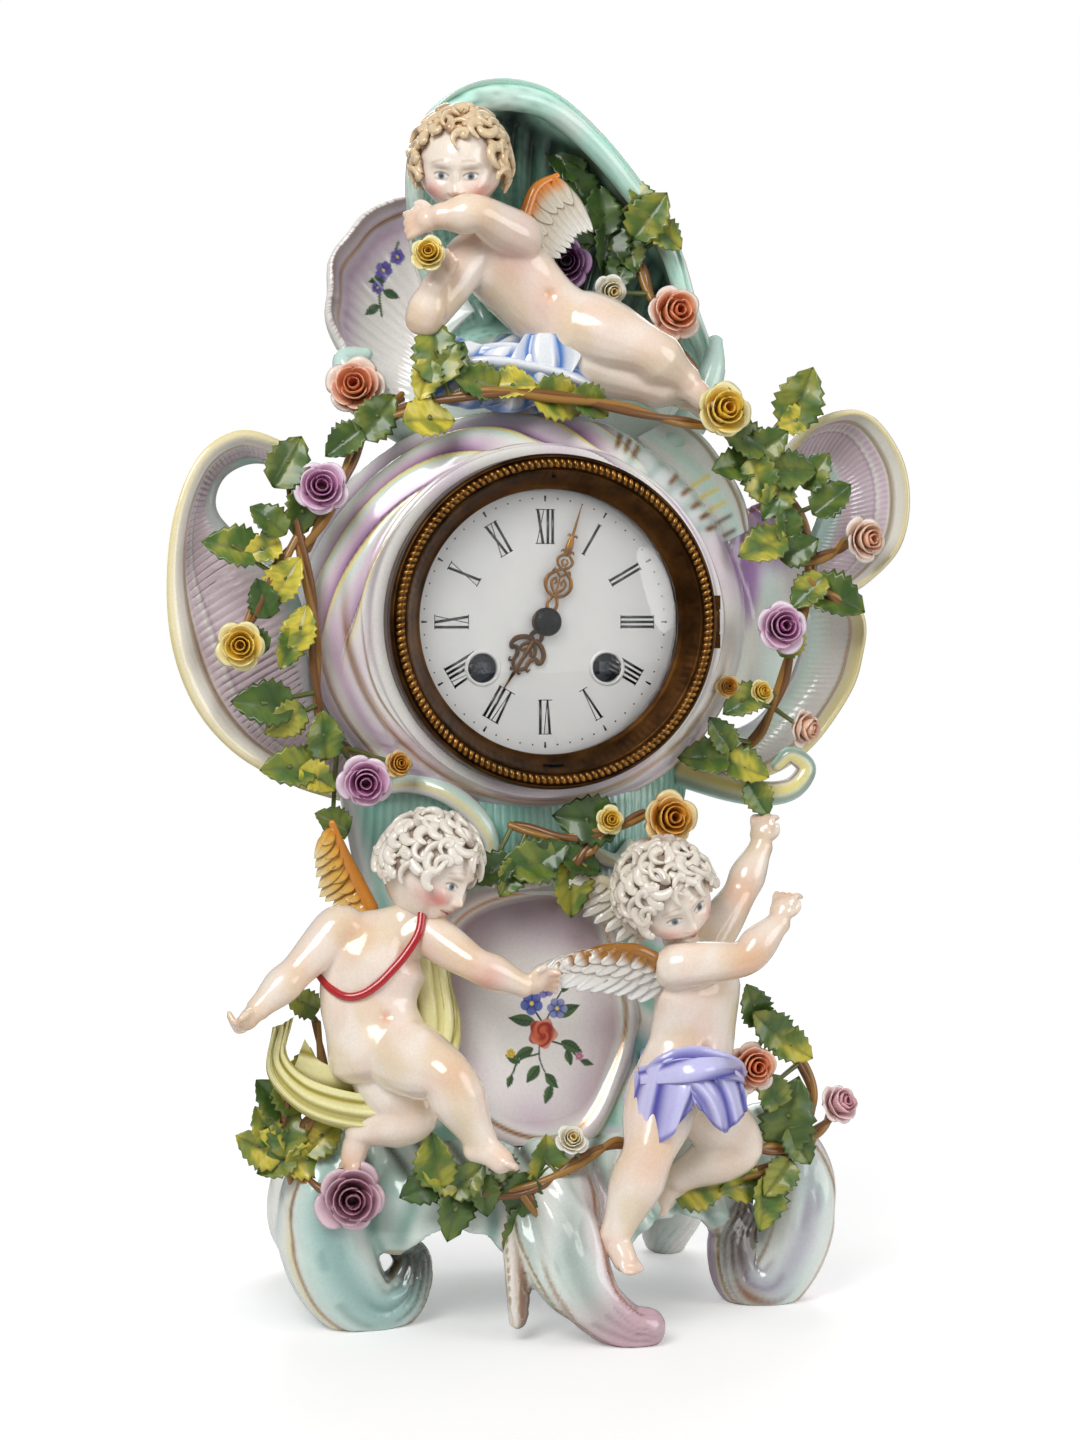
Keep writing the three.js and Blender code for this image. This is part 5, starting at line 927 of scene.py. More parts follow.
def lobedShell(s, t, points, groove):
    x, z = points[..., 0], points[..., 2]
    paint = mix(paleLilac, white, step(0.18, 0.4, t) * 0.95)
    paint = layered(paint, [
        (lilac, bump(t, 0.19, 0.03) * 0.4),
        (linear(0xB39A96), (1 - step(0.02, 0.08, t)) * 0.8),
        (paleMint, step(0.75, 1, t) * 0.6),
    ])
    green, blue = linear(0x4F6E3A), linear(0x7A6FC0)
    paint = paintedStem(paint, x, z, [(-44, 384), (-47, 375), (-50, 366), (-49, 358)], 0.7, green)
    for at, angle in (((-48, 372), 200), ((-49, 367), -20), ((-50, 362), 215)):
        paint = paintedLeaf(paint, x, z, at, angle, 7, 1.8, green, deepGreen)
    for at, size in (((-49, 374), 3.6), ((-44, 379), 3.0), ((-51, 368), 2.4)):
        paint = paintedFlower(paint, x, z, at, size, blue, linear(0x433A8C), 5)
    return paint, bump(t, 0.1, 0.014), mix(white, paleLilac, 0.3 * t)


hood = {
    "rim": [(-40, -16, 392), (-42, -24, 408), (-39.9, -29, 421), (-30, -34, 432), (-14.4, -34, 437.7),
        (5.2, -30, 435.9), (25, -24, 423.1),
        (45.3, -17, 402.6), (56.8, -14, 384.6), (63.9, -13, 362.3), (68.8, -15, 347.4), (70, -18, 338)],
    "inner": [(-24, -6, 340), (-18, -5, 346), (-12, -4, 348), (-6, -4, 349), (2, -4, 349),
        (10, -4, 347), (18, -5, 344),
        (28, -6, 339), (37, -7, 333), (46, -8, 327), (53, -9, 322), (57, -10, 318)],
}
lobes = {
    "rim": [(-50, -18, 330), (-60, -18, 338), (-66, -17, 346.5), (-70.5, -17, 356), (-70, -18, 366),
        (-69.5, -17, 376), (-64, -18, 383.8), (-57, -17, 392), (-47, -17, 397), (-38, -15, 399)],
    "inner": [(-36, -12, 318), (-37, -10, 324), (-36, -8, 330), (-34, -7, 335), (-32, -6, 340),
        (-30, -6, 344), (-28, -6, 348), (-25, -6, 352), (-21, -6, 356), (-16, -6, 360)],
}
hoodFoot = [(-34, -8, 308), (-26, -8, 311), (-19, -8, 313), (-11, -8, 314), (-2, -8, 314), (7, -8, 314),
    (15, -8, 313), (24, -8, 311), (32, -8, 307),
    (40, -8, 303), (47, -8, 298), (52, -8, 294)]


def hoodSkirt():
    top, low = spline(hood["inner"], 200)[:, None], spline(hoodFoot, 200)[:, None]
    t = np.linspace(-0.06, 1, 30)[None, :, None]
    points = top * (1 - t) + low * t
    return sheetPart(points, 4.6, mix(white, mint, 0.3 + 0.4 * step(-0.3, 0.6, cloudy(points, 12, 9))))


crestParts = [
    shell(hood["rim"], hood["inner"], 280, 84, 20, 5.0, mintHood, 26, 1.3, 4.0),
    hoodSkirt(),
    tube(np.array(hood["rim"]) * 0.94 + np.array(hood["inner"]) * 0.06,
        [2.4, 3.6, 4.6, 5, 5, 4.8, 4.4, 4, 3.6, 3.2, 2.8, 2.4], 20, 200, paint=hoodRoll),
    shell(lobes["rim"], lobes["inner"], 216, 84, 12, 4.6, lobedShell, 18, 0.5, 2.5),
    tube([(-36, -14, 314), (-50, -20, 320), (-62, -22, 330), (-66, -20, 340), (-58, -20, 342)],
        [7, 6.5, 5.5, 4, 2.6], 14, 50, paint=paleMint),
    tube([(48, -14, 304), (62, -18, 320), (70, -18, 338), (72, -16, 350)],
        [8, 6.5, 5, 3], 14, 40, paint=paleMint),
]
piece("crestShells", crestParts, porcelain, nodes=["crest_shell"])
print("crest")

# Plinth: the hollow base melted together with its scroll feet, then carved along each scroll

feet = {
    "left": {"path": [(-66, -36, 60), (-76, -38, 48), (-77, -40, 33), (-71, -40, 16), (-61, -40, 7.2),
        (-50, -39, 9.8), (-45, -38, 21), (-50, -37, 26)],
        "radii": [12.6, 15.8, 16.8, 15.8, 12.8, 9.8, 6.8, 4.6], "outer": 1},
    "right": {"path": [(82, -34, 62), (95, -36, 52), (98.5, -38, 38), (96, -38, 22), (87, -38, 7.4),
        (77, -37, 8.6), (73, -36, 21), (76, -34, 31)],
        "radii": [9.8, 11.8, 12.8, 13.3, 12.3, 10.8, 8.8, 7.2], "outer": -1},
    "wedge": {"path": [(-8, -56, 50), (-6, -68, 32), (0, -78, 18), (10, -84, 9)],
        "radii": [9, 9, 7.5, 5], "outer": 1},
    "centre": {"path": [(0, -54, 54), (2, -64, 41), (4, -73, 28), (10, -81, 14), (20, -86, 6.2),
        (28, -88, 5.6)], "radii": [13.8, 14.8, 12.8, 10.3, 8.2, 6.8], "outer": -1},
    "tail": {"path": [(-12, -60, 43), (-14, -67, 30), (-15, -73, 17), (-15.5, -76, 7)],
        "radii": [5.2, 4.6, 4, 3.1], "outer": 1},
    "rearLeft": {"path": [(-64, 40, 48), (-74, 42, 36), (-76, 43, 20), (-70, 44, 6)],
        "radii": [9.6, 10.6, 10.6, 9.4], "outer": 1},
    "rearRight": {"path": [(64, 40, 48), (74, 42, 36), (76, 43, 20), (70, 44, 6)],
        "radii": [9.6, 10.6, 10.6, 9.4], "outer": -1},
}
plinthVoxel = 1.12
# each foot's ground colour, the painted shade for its strands' hollows, and the darker painted shade for its
# inner side and its curl
footTones = {
    "left": (0xBCDAD3, 0x86A9A4, 0x3E2C22), "right": (0xDDE8E2, 0xA9A6B4, 0x4A3226),
    "wedge": (0xD2E0DA, 0x93A8A0, 0x5A4030),
    "centre": (0xD9E2DC, 0x9DA9A2, 0x6E4A3A), "tail": (0xE6DCD2, 0xA07A54, 0x4A2E1A),
    "rearLeft": (0xF1EEE8, 0xCDE9DF, 0xA5DACB), "rearRight": (0xF1EEE8, 0xCDE9DF, 0xA5DACB),
}


def alongFoot(points, foot):
    # for each point: distance from the foot's line in radii, share along it, and bearing about it
    line = spline(foot["path"], 60)
    sizes = spline(vec(foot["radii"])[:, None], 60)[:, 0]
    nearest = np.argmin(np.stack([np.sum((points - p) ** 2, -1) / r**2 for p, r in zip(line, sizes)]), 0)
    away = points - line[nearest]
    tangent = unit(np.gradient(line, axis=0))[nearest]
    front = unit(np.cross(tangent, np.cross(np.array([0.0, -1, 0]), tangent)))
    bearing = np.arctan2(np.sum(away * np.cross(tangent, front), -1), np.sum(away * front, -1))
    return np.linalg.norm(away, axis=-1) / sizes[nearest], nearest / 59, bearing * foot["outer"]


def plinthPiece():
    # strands like drawn-out leaves run down each foot into its curl, gilt on its outer edge; painted shade
    # lies in the strands' hollows, on each scroll's inner side and inside its curl, and painted highlights on
    # the strands' crests
    parts = [tube(f["path"], f["radii"], 24, 70, flat=1.1) for f in feet.values()]
    mesh = sculpted("plinthScrolls", parts, plinthVoxel, 3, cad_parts["plinth"].data)
    points, normals = pointsOf(mesh)
    x, y, z = points.T
    wash = cloudy(points, 13, 31)
    paint = mix(mix(white, paleMint, 0.5 + 0.3 * wash), mint,
        step(0.0, 0.8, cloudy(points, 17, 37)) * 0.5 * (y < 0))
    gold = np.zeros(len(points))
    rise = np.zeros(len(points))
    outward = step(-0.3, 0.2, np.sum(normals * unit(points * [1, 1, 0] + [0, 0, 1e-6]), -1)) * (y < 20)
    leafRise = 0.5 + 0.5 * np.sin(x * 0.5 + 2.4 * np.sin(z * 0.13 + x * 0.04) + 0.12 * z)
    apron = step(24, 34, z) * outward
    rise += apron * (leafRise - 0.5) * 1.3
    # darker green in the hollows of the apron's leaves and dark brown deeper in them: painted shade
    paint = mix(paint, linear(0x7FA79C), apron * (1 - leafRise) ** 2 * 0.8)
    paint = mix(paint, linear(0x5A4030), apron * (1 - leafRise) ** 4 * step(40, 60, z) * 0.7)
    free = np.ones(len(points))
    for name, foot in feet.items():
        r, s, turn = alongFoot(points, foot)
        on = (1 - step(1.12, 1.4, r)) * step(0.02, 0.14, s)
        free *= 1 - on
        base, shade, dark = (linear(code) for code in footTones[name])
        own = mix(base, mint, (0.1 + 0.2 * wash) * (name != "tail"))
        fine = 0.5 + 0.5 * np.cos(17 * turn + 3.4 * np.sin(1.9 * turn + 6 * s) + 9 * s)
        broad = 0.5 + 0.5 * np.cos(4.2 * turn + 4.5 * s + 1.1 * np.sin(5 * s + 1.3 * turn) + 0.7)
        face = np.cos(np.clip(turn, -1.57, 1.57)) ** 0.5
        comb = step(0.1, 0.7, cloudy(points, 11, 43) + 0.9 * step(0.3, 0.8, s)) * face
        quiet = (0.4 if name.startswith("rear") else 1.0) * step(0.08, 0.35, s)
        rise += (on * (face * (broad * 1.7 - 0.85) + comb * (fine - 0.5) * 0.8)
            * (1 - step(0.92, 1, s)) * quiet)
        # painted shade in the hollows of the broad and fine strands, painted highlights on the broad strands'
        # crests
        own = layered(own, [
            (shade, (1 - broad) ** 2 * face * 0.8 * quiet),
            (shade, comb * (1 - fine) ** 2 * 0.8 * quiet),
            (shade * 0.5, comb * (1 - fine) ** 6 * step(0.35, 0.8, s) * 0.8 * quiet),
            (white, broad**2 * face * 0.6),
        ])
        if not name.startswith("rear"):
            own = layered(own, [
                (white, bump(turn, 1.15, 0.3) * 0.8),
                (yellow, bump(turn, 0.95, 0.08) * step(0.1, 0.3, s) * 0.4),
                # dark on the inner side of each scroll: painted shade
                (dark, step(-0.5, -1.2, turn) * step(0.4, 0.75, s)),
            ])
            gold += on * bump(turn, 0.82, 0.05) * (1 - step(0.85, 0.95, s)) * 0.9
            gold += on * bump(turn, -0.95, 0.05) * step(0.3, 0.5, s) * 0.6
        if name in ("left", "right"):
            # the end of the foot darkened toward the curl: painted shade inside the curl
            own = mix(own, dark, step(0.62, 0.82, s) * (0.68 + 0.3 * (1 - fine)) * step(1.3, 0.3, turn))
        if name == "right":
            own = mix(own, linear(0xCDAAC4), step(0.95, 1.25, turn) * 0.85)
            own = mix(own, linear(0x8A5A2A), bump(turn, 0.35, 0.25) * bump(s, 0.66, 0.07) * 0.9)
        if name == "centre":
            own = mix(own, linear(0xC79BA8), step(0.5, 0.8, s) * 0.75)
            own = mix(own, linear(0xC9A4B4), step(0.1, 0.9, turn) * 0.6)
        if name == "tail":
            own = mix(own, linear(0x6A4426), bump(turn, -0.5, 0.5) * 0.8)
        paint = mix(paint, own, on)
    ground = 1 - step(0.3, 1.2, z)
    points = points + normals * (rise * (1 - ground))[:, None]
    points[:, 2] = np.maximum(points[:, 2], 0)
    rimGold = bump(z, 27.5, 0.8) * outward * free
    setPoints(mesh, points)
    setPaint(mesh, paint, np.clip(gold + rimGold * 0.7, 0, 1))
    return mesh


piece("plinthScrolls", plinthPiece(), porcelain, nodes=["plinth"])
print("plinth")

# Flowers, leaves and twigs: pinched by hand from soft paste, stuck on with slip and fired with the case

leafGreens = {"dark": linear(0x22391A), "green": linear(0x557530),
    "yellow": linear(0xE2D04A), "vein": linear(0x3C2C14)}
roseTones = {
    "orange": (0xC9521F, 0xF0A274, 0xF8ECE0), "pink": (0x9A427C, 0xD294BE, 0xF8EAF3),
    "yellow": (0xDE9A1C, 0xF0CE48, 0xF3ECBC),
    "purple": (0x3A1238, 0x763C72, 0xB48CB4), "pale": (0xBE7082, 0xE8B9BE, 0xF5E9E4),
    "amber": (0xB4640F, 0xE5A632, 0xF0DDA6),
    "peach": (0xD98A60, 0xF0CBB0, 0xF8EEE6), "white": (0xE2C050, 0xF1ECD8, 0xF6F3EC),
    "mauve": (0x7A3650, 0xB98196, 0xEAD2DB),
}


def bladePart(base, along, up, length, width, painter, serration=0.0, roundness=0.8, fold=0.3, droop=0.2,
    ripple=0.25, rows=15, cols=9, thick=0.7, skew=0.0):
    # a leaf or feather: length by width grid, folded along its rib, drooping toward the tip
    along = unit(vec(along))
    up = unit(vec(up) - along * (vec(up) @ along))
    across = np.cross(along, up)
    v, u = gridOf((0, 1, rows), (-1, 1, cols))
    teeth = 1 + serration * (0.5 - (v * 6.5 + 0.5 * np.abs(u)) % 1)
    half = 0.5 * width * np.sin(np.pi * np.clip(v, 0.001, 0.999) ** roundness) ** 0.75 * teeth
    rise = fold * np.abs(u) * half - droop * length * v**2 + ripple * np.sin(v * 15) * np.abs(u)
    points = (vec(base) + along * (length * v)[..., None] + across
        * (u * half + skew * v**2 * length)[..., None] + up * rise[..., None])
    return sheetPart(points, thick, painter(u, v, points))


def leafPart(x, y, z, bearing, length, tone, draw):
    a = np.radians(bearing)
    along = np.array([np.cos(a), draw.uniform(-0.45, 0.05), np.sin(a)])
    up = np.array([draw.uniform(-0.35, 0.35), -1, draw.uniform(-0.1, 0.5)])
    start = np.array([x, y, z], float) - unit(along) * length * 0.5
    seed = int(draw.integers(1, 999))

    def painter(u, v, points):
        patch = step(-0.5, 0.6, cloudy(points, 5, seed))
        first = mix(leafGreens["dark"], leafGreens["green"], np.clip(tone * 2.0, 0, 1) + 0 * u)
        second = mix(leafGreens["green"], leafGreens["yellow"], np.clip(tone * 1.4 - 0.25, 0, 0.9) + 0 * u)
        share = np.clip(patch * (0.5 + 0.6 * tone) + (tone - 0.6) * 0.8 * (tone > 0.6), 0, 1)
        colour = mix(first, second, share)
        veins = np.maximum(bump(u, 0, 0.09), 0.6
            * bump((v * 5 - 1.3 * np.abs(u)) % 1, 0.5, 0.12) * (np.abs(u) < 0.85))
        colour = mix(colour, leafGreens["dark"], veins * 0.5)
        return mix(colour, leafGreens["vein"], step(0.86, 1, np.abs(u)) * 0.25 * (tone < 0.8))

    return bladePart(start, along, up, length * 0.98, length * 0.76, painter, 0.42, 0.72,
        draw.uniform(0.25, 0.6), draw.uniform(0.05, 0.3), 0.5)


def rosePart(centre, radius, facing, tones, draw):
    # rings of cupped petals round a rolled bud; each petal is bearing by height, curling back at its edge
    inner, middle, outer = (linear(code) for code in tones)
    f = unit(vec(facing))
    side = unit(np.cross(f, (0.2, 0.1, 1)))
    up = np.cross(side, f)
    rings = [(2, 0.06, 0.2, 0.74, 0.02, 1.9), (3, 0.12, 0.38, 0.74, 0.06, 1.6),
        (3, 0.2, 0.6, 0.66, 0.12, 1.5), (4, 0.26, 0.82, 0.46, 0.26, 1.35), (5, 0.3, 1.04, 0.16, 0.36, 1.25)]
    parts = []
    u, v = gridOf((-1, 1, 9), (0, 1, 7))
    for ring, (count, low, high, top, curl, spread) in enumerate(rings):
        turn = draw.uniform(0, 6.28)
        for k in range(count):
            lean = draw.uniform(0.9, 1.1)
            theta = turn + 2 * np.pi * k / count + u * np.pi / count * spread * (1 - 0.3 * v**4)
            reach = radius * (low + (high * lean - low) * v**0.75) * (1 - 0.1 * u**2 * v)
            height = (radius * (-0.45 + (top + 0.45) * v**0.9 - curl * 0.55 * step(0.62, 1.05, v)
                + 0.05 * np.sin(4 * u + k) * v))
            height = height - 0.1 * radius * (u**4) * v
            points = (vec(centre) + (reach * np.cos(theta))[..., None] * side
                + (reach * np.sin(theta))[..., None] * up + height[..., None] * f)
            share = np.clip(ring / 4 * 0.8 + 0.35 * v**2 - 0.1, 0, 1)
            paint = mix(mix(inner, middle, np.clip(share * 2, 0, 1)), outer, np.clip(share * 2 - 1, 0, 1))
            paint = mix(paint, middle, bump(np.abs(u), 1.0, 0.16) * 0.4)
            parts.extend(sheetPart(points, -0.055 * radius, paint))
    heart = ball(np.asarray(centre) - f * radius * 0.3, [radius * 0.42] * 3, around=12, down=8,
        paint=mix(inner, leafGreens["green"], np.array(0.5)))
    return parts + [heart]


def twigPart(path, radius=1.5):
    # two thin stems twisted round one line
    line = spline(path, 40)
    parts = []
    for k in (0, 1):
        turn = np.linspace(0, len(path) * 2.2, 40) + np.pi * k
        twist = line + np.stack([np.cos(turn), 0.5 * np.sin(turn), np.sin(turn)], -1) * radius * 0.62
        parts.append(tube(twist, [radius * 0.95] * 3 + [radius * 0.7], 8, 56,
            paint=mix(brown, ochre, np.array(0.55 if k else 0.12))))
    return parts


# each garland's leaves: runs of one depth y, and for each leaf x, z, bearing, length and tone
leaves = {
    "leftGarland": [
        (-50, [(-90, 302, 60, 21, 0.35), (-85, 285, 265, 19, 0.3), (-109, 273, 165, 20, 0.45),
            (-99, 272, 200, 14, 0.85), (-91, 262, 60, 18, 1), (-99, 255, 110, 15, 0.15),
            (-86, 245, 80, 17, 0.95), (-90, 238, 255, 15, 0.6), (-103, 241, 150, 14, 0.2),
            (-99, 219, 172, 22, 0.22), (-91, 213, 215, 17, 0.6), (-78, 208, 95, 18, 0.38),
            (-90, 197, 178, 20, 0.4), (-80, 193, 330, 15, 0.75), (-75, 178, 150, 15, 0.3),
            (-59, 318, 50, 20, 0.32), (-71, 309, 215, 16, 0.25), (-97, 282, 140, 16, 0.3)]),
    ],
    "topGarland": [
        (-58, [(-42, 317, 8, 20, 0.95), (-40, 340, 95, 24, 0.5), (-44, 330, 255, 15, 0.8),
            (-26, 330, 165, 18, 0.42), (-13, 329, 5, 17, 0.9), (4, 324, 350, 22, 0.7),
            (15, 323, 330, 16, 0.5), (-34, 337, 60, 15, 0.35)]),
    ],
    "crestGarland": [
        (-12, [(21, 405, 120, 21, 0.12), (30, 397, 95, 20, 0.2), (33, 383, 265, 20, 0.12)]),
        (-24, [(45, 394, 55, 21, 0.5), (51, 387, 320, 16, 0.6)]),
        (-22, [(42, 401, 105, 14, 0.68)]),
        (-12, [(41, 382, 280, 16, 0.35), (25, 390, 200, 18, 0.2), (37, 375, 250, 16, 0.15),
            (16, 414, 140, 17, 0.1)]),
    ],
    "rightGarland": [
        (-52, [(93, 327, 70, 24, 0.45), (92, 319, 20, 15, 0.8), (72, 312, 150, 20, 0.33),
            (81, 310, 35, 18, 0.4), (78, 297, 290, 19, 0.65), (68, 302, 185, 18, 0.28),
            (90, 301, 0, 19, 0.35), (79, 274, 200, 20, 0.68), (93, 273, 30, 16, 0.3),
            (107, 255, 335, 23, 0.25), (96, 258, 220, 17, 0.6), (105, 291, 40, 18, 0.3),
            (88, 283, 95, 16, 0.4), (90, 241, 60, 15, 0.75), (72, 219, 205, 17, 0.5),
            (58, 199, 172, 19, 0.35), (73, 195, 340, 19, 0.7), (64, 207, 120, 15, 0.3),
            (78, 184, 300, 15, 0.5), (99, 301, 60, 16, 0.4), (84, 291, 240, 17, 0.55)]),
    ],
    "waistSwag": [
        (-60, [(13, 178, 172, 24, 0.12), (-8, 163, 182, 22, 0.35), (7, 154, 275, 21, 0.6),
            (-1, 166, 30, 17, 0.15), (-21, 161, 205, 17, 0.2), (11, 163, 340, 16, 0.15),
            (-15, 158, 240, 15, 0.5)]),
    ],
    "baseLeftSpray": [
        (-50, [(-101, 66, 150, 19, 0.85), (-91, 71, 80, 19, 0.45), (-79, 69, 40, 18, 0.88),
            (-95, 60, 200, 15, 0.4), (-90, 86, 108, 20, 0.35), (-86, 93, 65, 15, 0.75),
            (-97, 83, 125, 17, 0.3), (-79, 82, 55, 15, 0.3), (-84, 61, 10, 17, 0.8),
            (-86, 116, 150, 14, 0.4), (-99, 73, 110, 15, 0.6)]),
    ],
    "baseCentreSpray": [
        (-70, [(-43, 63, 100, 20, 0.5), (-47, 54, 200, 18, 0.15), (-36, 45, 262, 21, 0.25),
            (-41, 57, 150, 16, 0.6), (-32, 56, 40, 17, 0.4), (-13, 49, 250, 18, 0.2),
            (-13, 37, 240, 19, 0.3), (-4, 61, 92, 20, 0.62), (-1, 52, 330, 16, 0.35),
            (6, 29, 262, 20, 0.33), (-10, 26, 230, 15, 0.8), (12, 34, 300, 15, 0.5),
            (-26, 50, 280, 15, 0.25), (-20, 61, 120, 14, 0.3)]),
    ],
    "baseRightSpray": [
        (-60, [(54, 46, 5, 20, 0.72), (78, 40, 262, 21, 0.55), (69, 47, 190, 17, 0.7),
            (87, 71, 82, 27, 0.28), (80, 81, 120, 17, 0.4), (80, 103, 140, 19, 0.42),
            (88, 96, 330, 18, 0.7), (74, 111, 110, 17, 0.3), (83, 49, 230, 17, 0.5),
            (91, 60, 300, 16, 0.3)]),
    ],
}
twigs = {
    "leftGarland": [[(-84, -24, 304), (-88, -44, 296), (-86, -47, 276), (-81, -46, 250), (-80, -44, 230),
        (-76, -38, 210), (-60, -24, 198)],
        [(-84, -46, 272), (-76, -50, 286), (-68, -46, 302), (-60, -40, 318), (-48, -36, 326)],
        [(-86, -47, 276), (-96, -48, 262), (-104, -48, 246)]],
    "topGarland": [[(-60, -44, 316), (-44, -52, 322), (-22, -58, 326), (0, -60, 325), (22, -60, 322),
        (42, -58, 318), (58, -54, 316)]],
    "crestGarland": [[(22, -6, 410), (34, -8, 394), (44, -10, 380), (48, -14, 366),
        (54, -24, 350), (60, -30, 338)]],
    "rightGarland": [[(85, -24, 300), (90, -43, 293), (98, -48, 276), (97, -49, 258), (92, -48, 240),
        (88, -44, 222), (80, -38, 204), (62, -26, 192)],
        [(96, -49, 268), (106, -50, 272), (114, -46, 277)], [(88, -46, 296), (80, -48, 304), (70, -48, 312)],
        [(98, -50, 262), (108, -52, 254)]],
    "waistSwag": [[(-12, -52, 176), (4, -58, 172), (20, -60, 174), (34, -60, 180)],
        [(20, -60, 174), (12, -60, 166), (6, -58, 160)]],
    "baseLeftSpray": [[(-88, -44, 52), (-92, -46, 66), (-92, -50, 82), (-90, -52, 92)],
        [(-88, -46, 56), (-80, -54, 52), (-72, -56, 52)],
        [(-90, -46, 62), (-84, -50, 74), (-78, -48, 84), (-80, -42, 108)]],
    "baseCentreSpray": [[(-42, -62, 56), (-26, -68, 50), (-10, -72, 52), (6, -72, 60), (20, -70, 66),
        (32, -64, 62)], [(-12, -72, 50), (-4, -76, 38), (4, -84, 22)]],
    "baseRightSpray": [[(62, -60, 50), (78, -58, 52), (90, -56, 60), (98, -54, 76), (92, -52, 92),
        (80, -52, 104)], [(92, -56, 60), (102, -54, 66), (108, -52, 74)],
        [(60, -58, 62), (76, -60, 60), (90, -56, 58)]],
}
roses = {
    "leftGarland": [((-65.5, -42, 328.4), 10, (-0.3, -1, 0.2), "orange"),
        ((-79.3, -54, 292.7), 9.6, (-0.1, -1, 0.15), "pink"),
        ((-106.7, -52, 239.1), 8.4, (-0.2, -1, 0), "yellow"),
        ((-64.3, -54, 192), 9.4, (-0.1, -1, -0.1), "pink"),
        ((-52.3, -52, 197.7), 5, (0.2, -1, 0.2), "amber")],
    "topGarland": [((62, -60, 321), 10, (0.1, -1, 0.15), "yellow")],
    "crestGarland": [((14, -22, 375.8), 9.2, (-0.2, -1, 0.1), "purple"),
        ((51.4, -34, 358), 10, (0.15, -1, 0.1), "orange"), ((30, -26, 366), 6, (0.1, -1, -0.2), "white")],
    "rightGarland": [((115.6, -58, 276.4), 8.2, (0.3, -1, 0), "peach"),
        ((83.8, -60, 245.2), 9.2, (0, -1, 0.1), "pink"), ((95.6, -50, 209), 7, (0.8, -1, -0.2), "peach"),
        ((67, -50, 224), 4.4, (0, -1, 0.1), "amber"), ((79, -52, 222), 4.4, (0.2, -1, 0.2), "yellow")],
    "waistSwag": [((40.5, -68, 178.5), 9.6, (0.1, -1, 0.15), "amber"),
        ((20.2, -64, 178), 5, (0, -1, 0.2), "yellow")],
    "baseLeftSpray": [((-71, -64, 49.8), 12, (-0.1, -1, 0.05), "mauve")],
    "baseCentreSpray": [((3.5, -76, 69), 5.6, (0, -1, 0.6), "white")],
    "baseRightSpray": [((73, -62, 89.5), 9.2, (0.1, -1, 0.1), "orange"),
        ((108, -54, 73.5), 7.6, (0.5, -1, 0.5), "pale"), ((64, -66, 79), 6, (0, -1, -0.2), "white")],
}
garlandNodes = {
    "leftGarland": "left_garland", "topGarland": "top_garland", "crestGarland": "crest_garland",
    "rightGarland": "right_garland",
    "waistSwag": "waist_swag", "baseLeftSpray": "base_left_spray", "baseCentreSpray": "base_centre_spray",
    "baseRightSpray": "base_right_spray",
}


def stalkTo(point, lines):
    # a short stem from the nearest point of the twigs
    stations = np.concatenate([spline(line, 30) for line in lines])
    near = stations[np.argmin(np.linalg.norm(stations - point, axis=1))]
    point = vec(point)
    if np.linalg.norm(point - near) < 1.5:
        near = near + np.array([0, 1.5, 0])
    return tube([near, (near + point) / 2 + [0, 0.8, 0], point], [1.1, 0.9, 0.9], 6, 8,
        paint=mix(leafGreens["green"], brown, np.array(0.35)))


for order, (name, node) in enumerate(garlandNodes.items()):
    draw = np.random.default_rng(100 + order)
    parts = [part for path in twigs[name] for part in twigPart(path)]
    for y, run in leaves[name]:
        for x, z, bearing, length, tone in run:
            parts.append(leafPart(x, y, z, bearing, length, tone, draw))
            parts.append(stalkTo(np.array([x, y + 1, z], float), twigs[name]))
    for centre, radius, facing, tone in roses[name]:
        parts.append(rosePart(centre, radius, facing, roseTones[tone], draw))
        parts.append(stalkTo(np.array(centre, float) + [0, radius * 0.4, 0], twigs[name]))
    piece(name + "Flowers", parts, flowerGlaze, nodes=[node])
print("garlands")

# Cherub figures: bodies melted together from tapered limbs, heads worked as grids with doll-like faces

flesh = {"skin": linear(0xFAF0E3), "peach": linear(0xECB088), "blush": linear(0xE07F74),
    "shade": linear(0xCDBBA2), "ochre": linear(0xE8CFA0), "tan": linear(0xE0A470), "lips": linear(0xB8392F),
    "iris": linear(0x6E7C86), "lid": linear(0x6A4632), "brow": linear(0xB08A62)}


figureVoxel = 0.79


def between(first, second, share):
    return vec(first) * (1 - share) + vec(second) * share


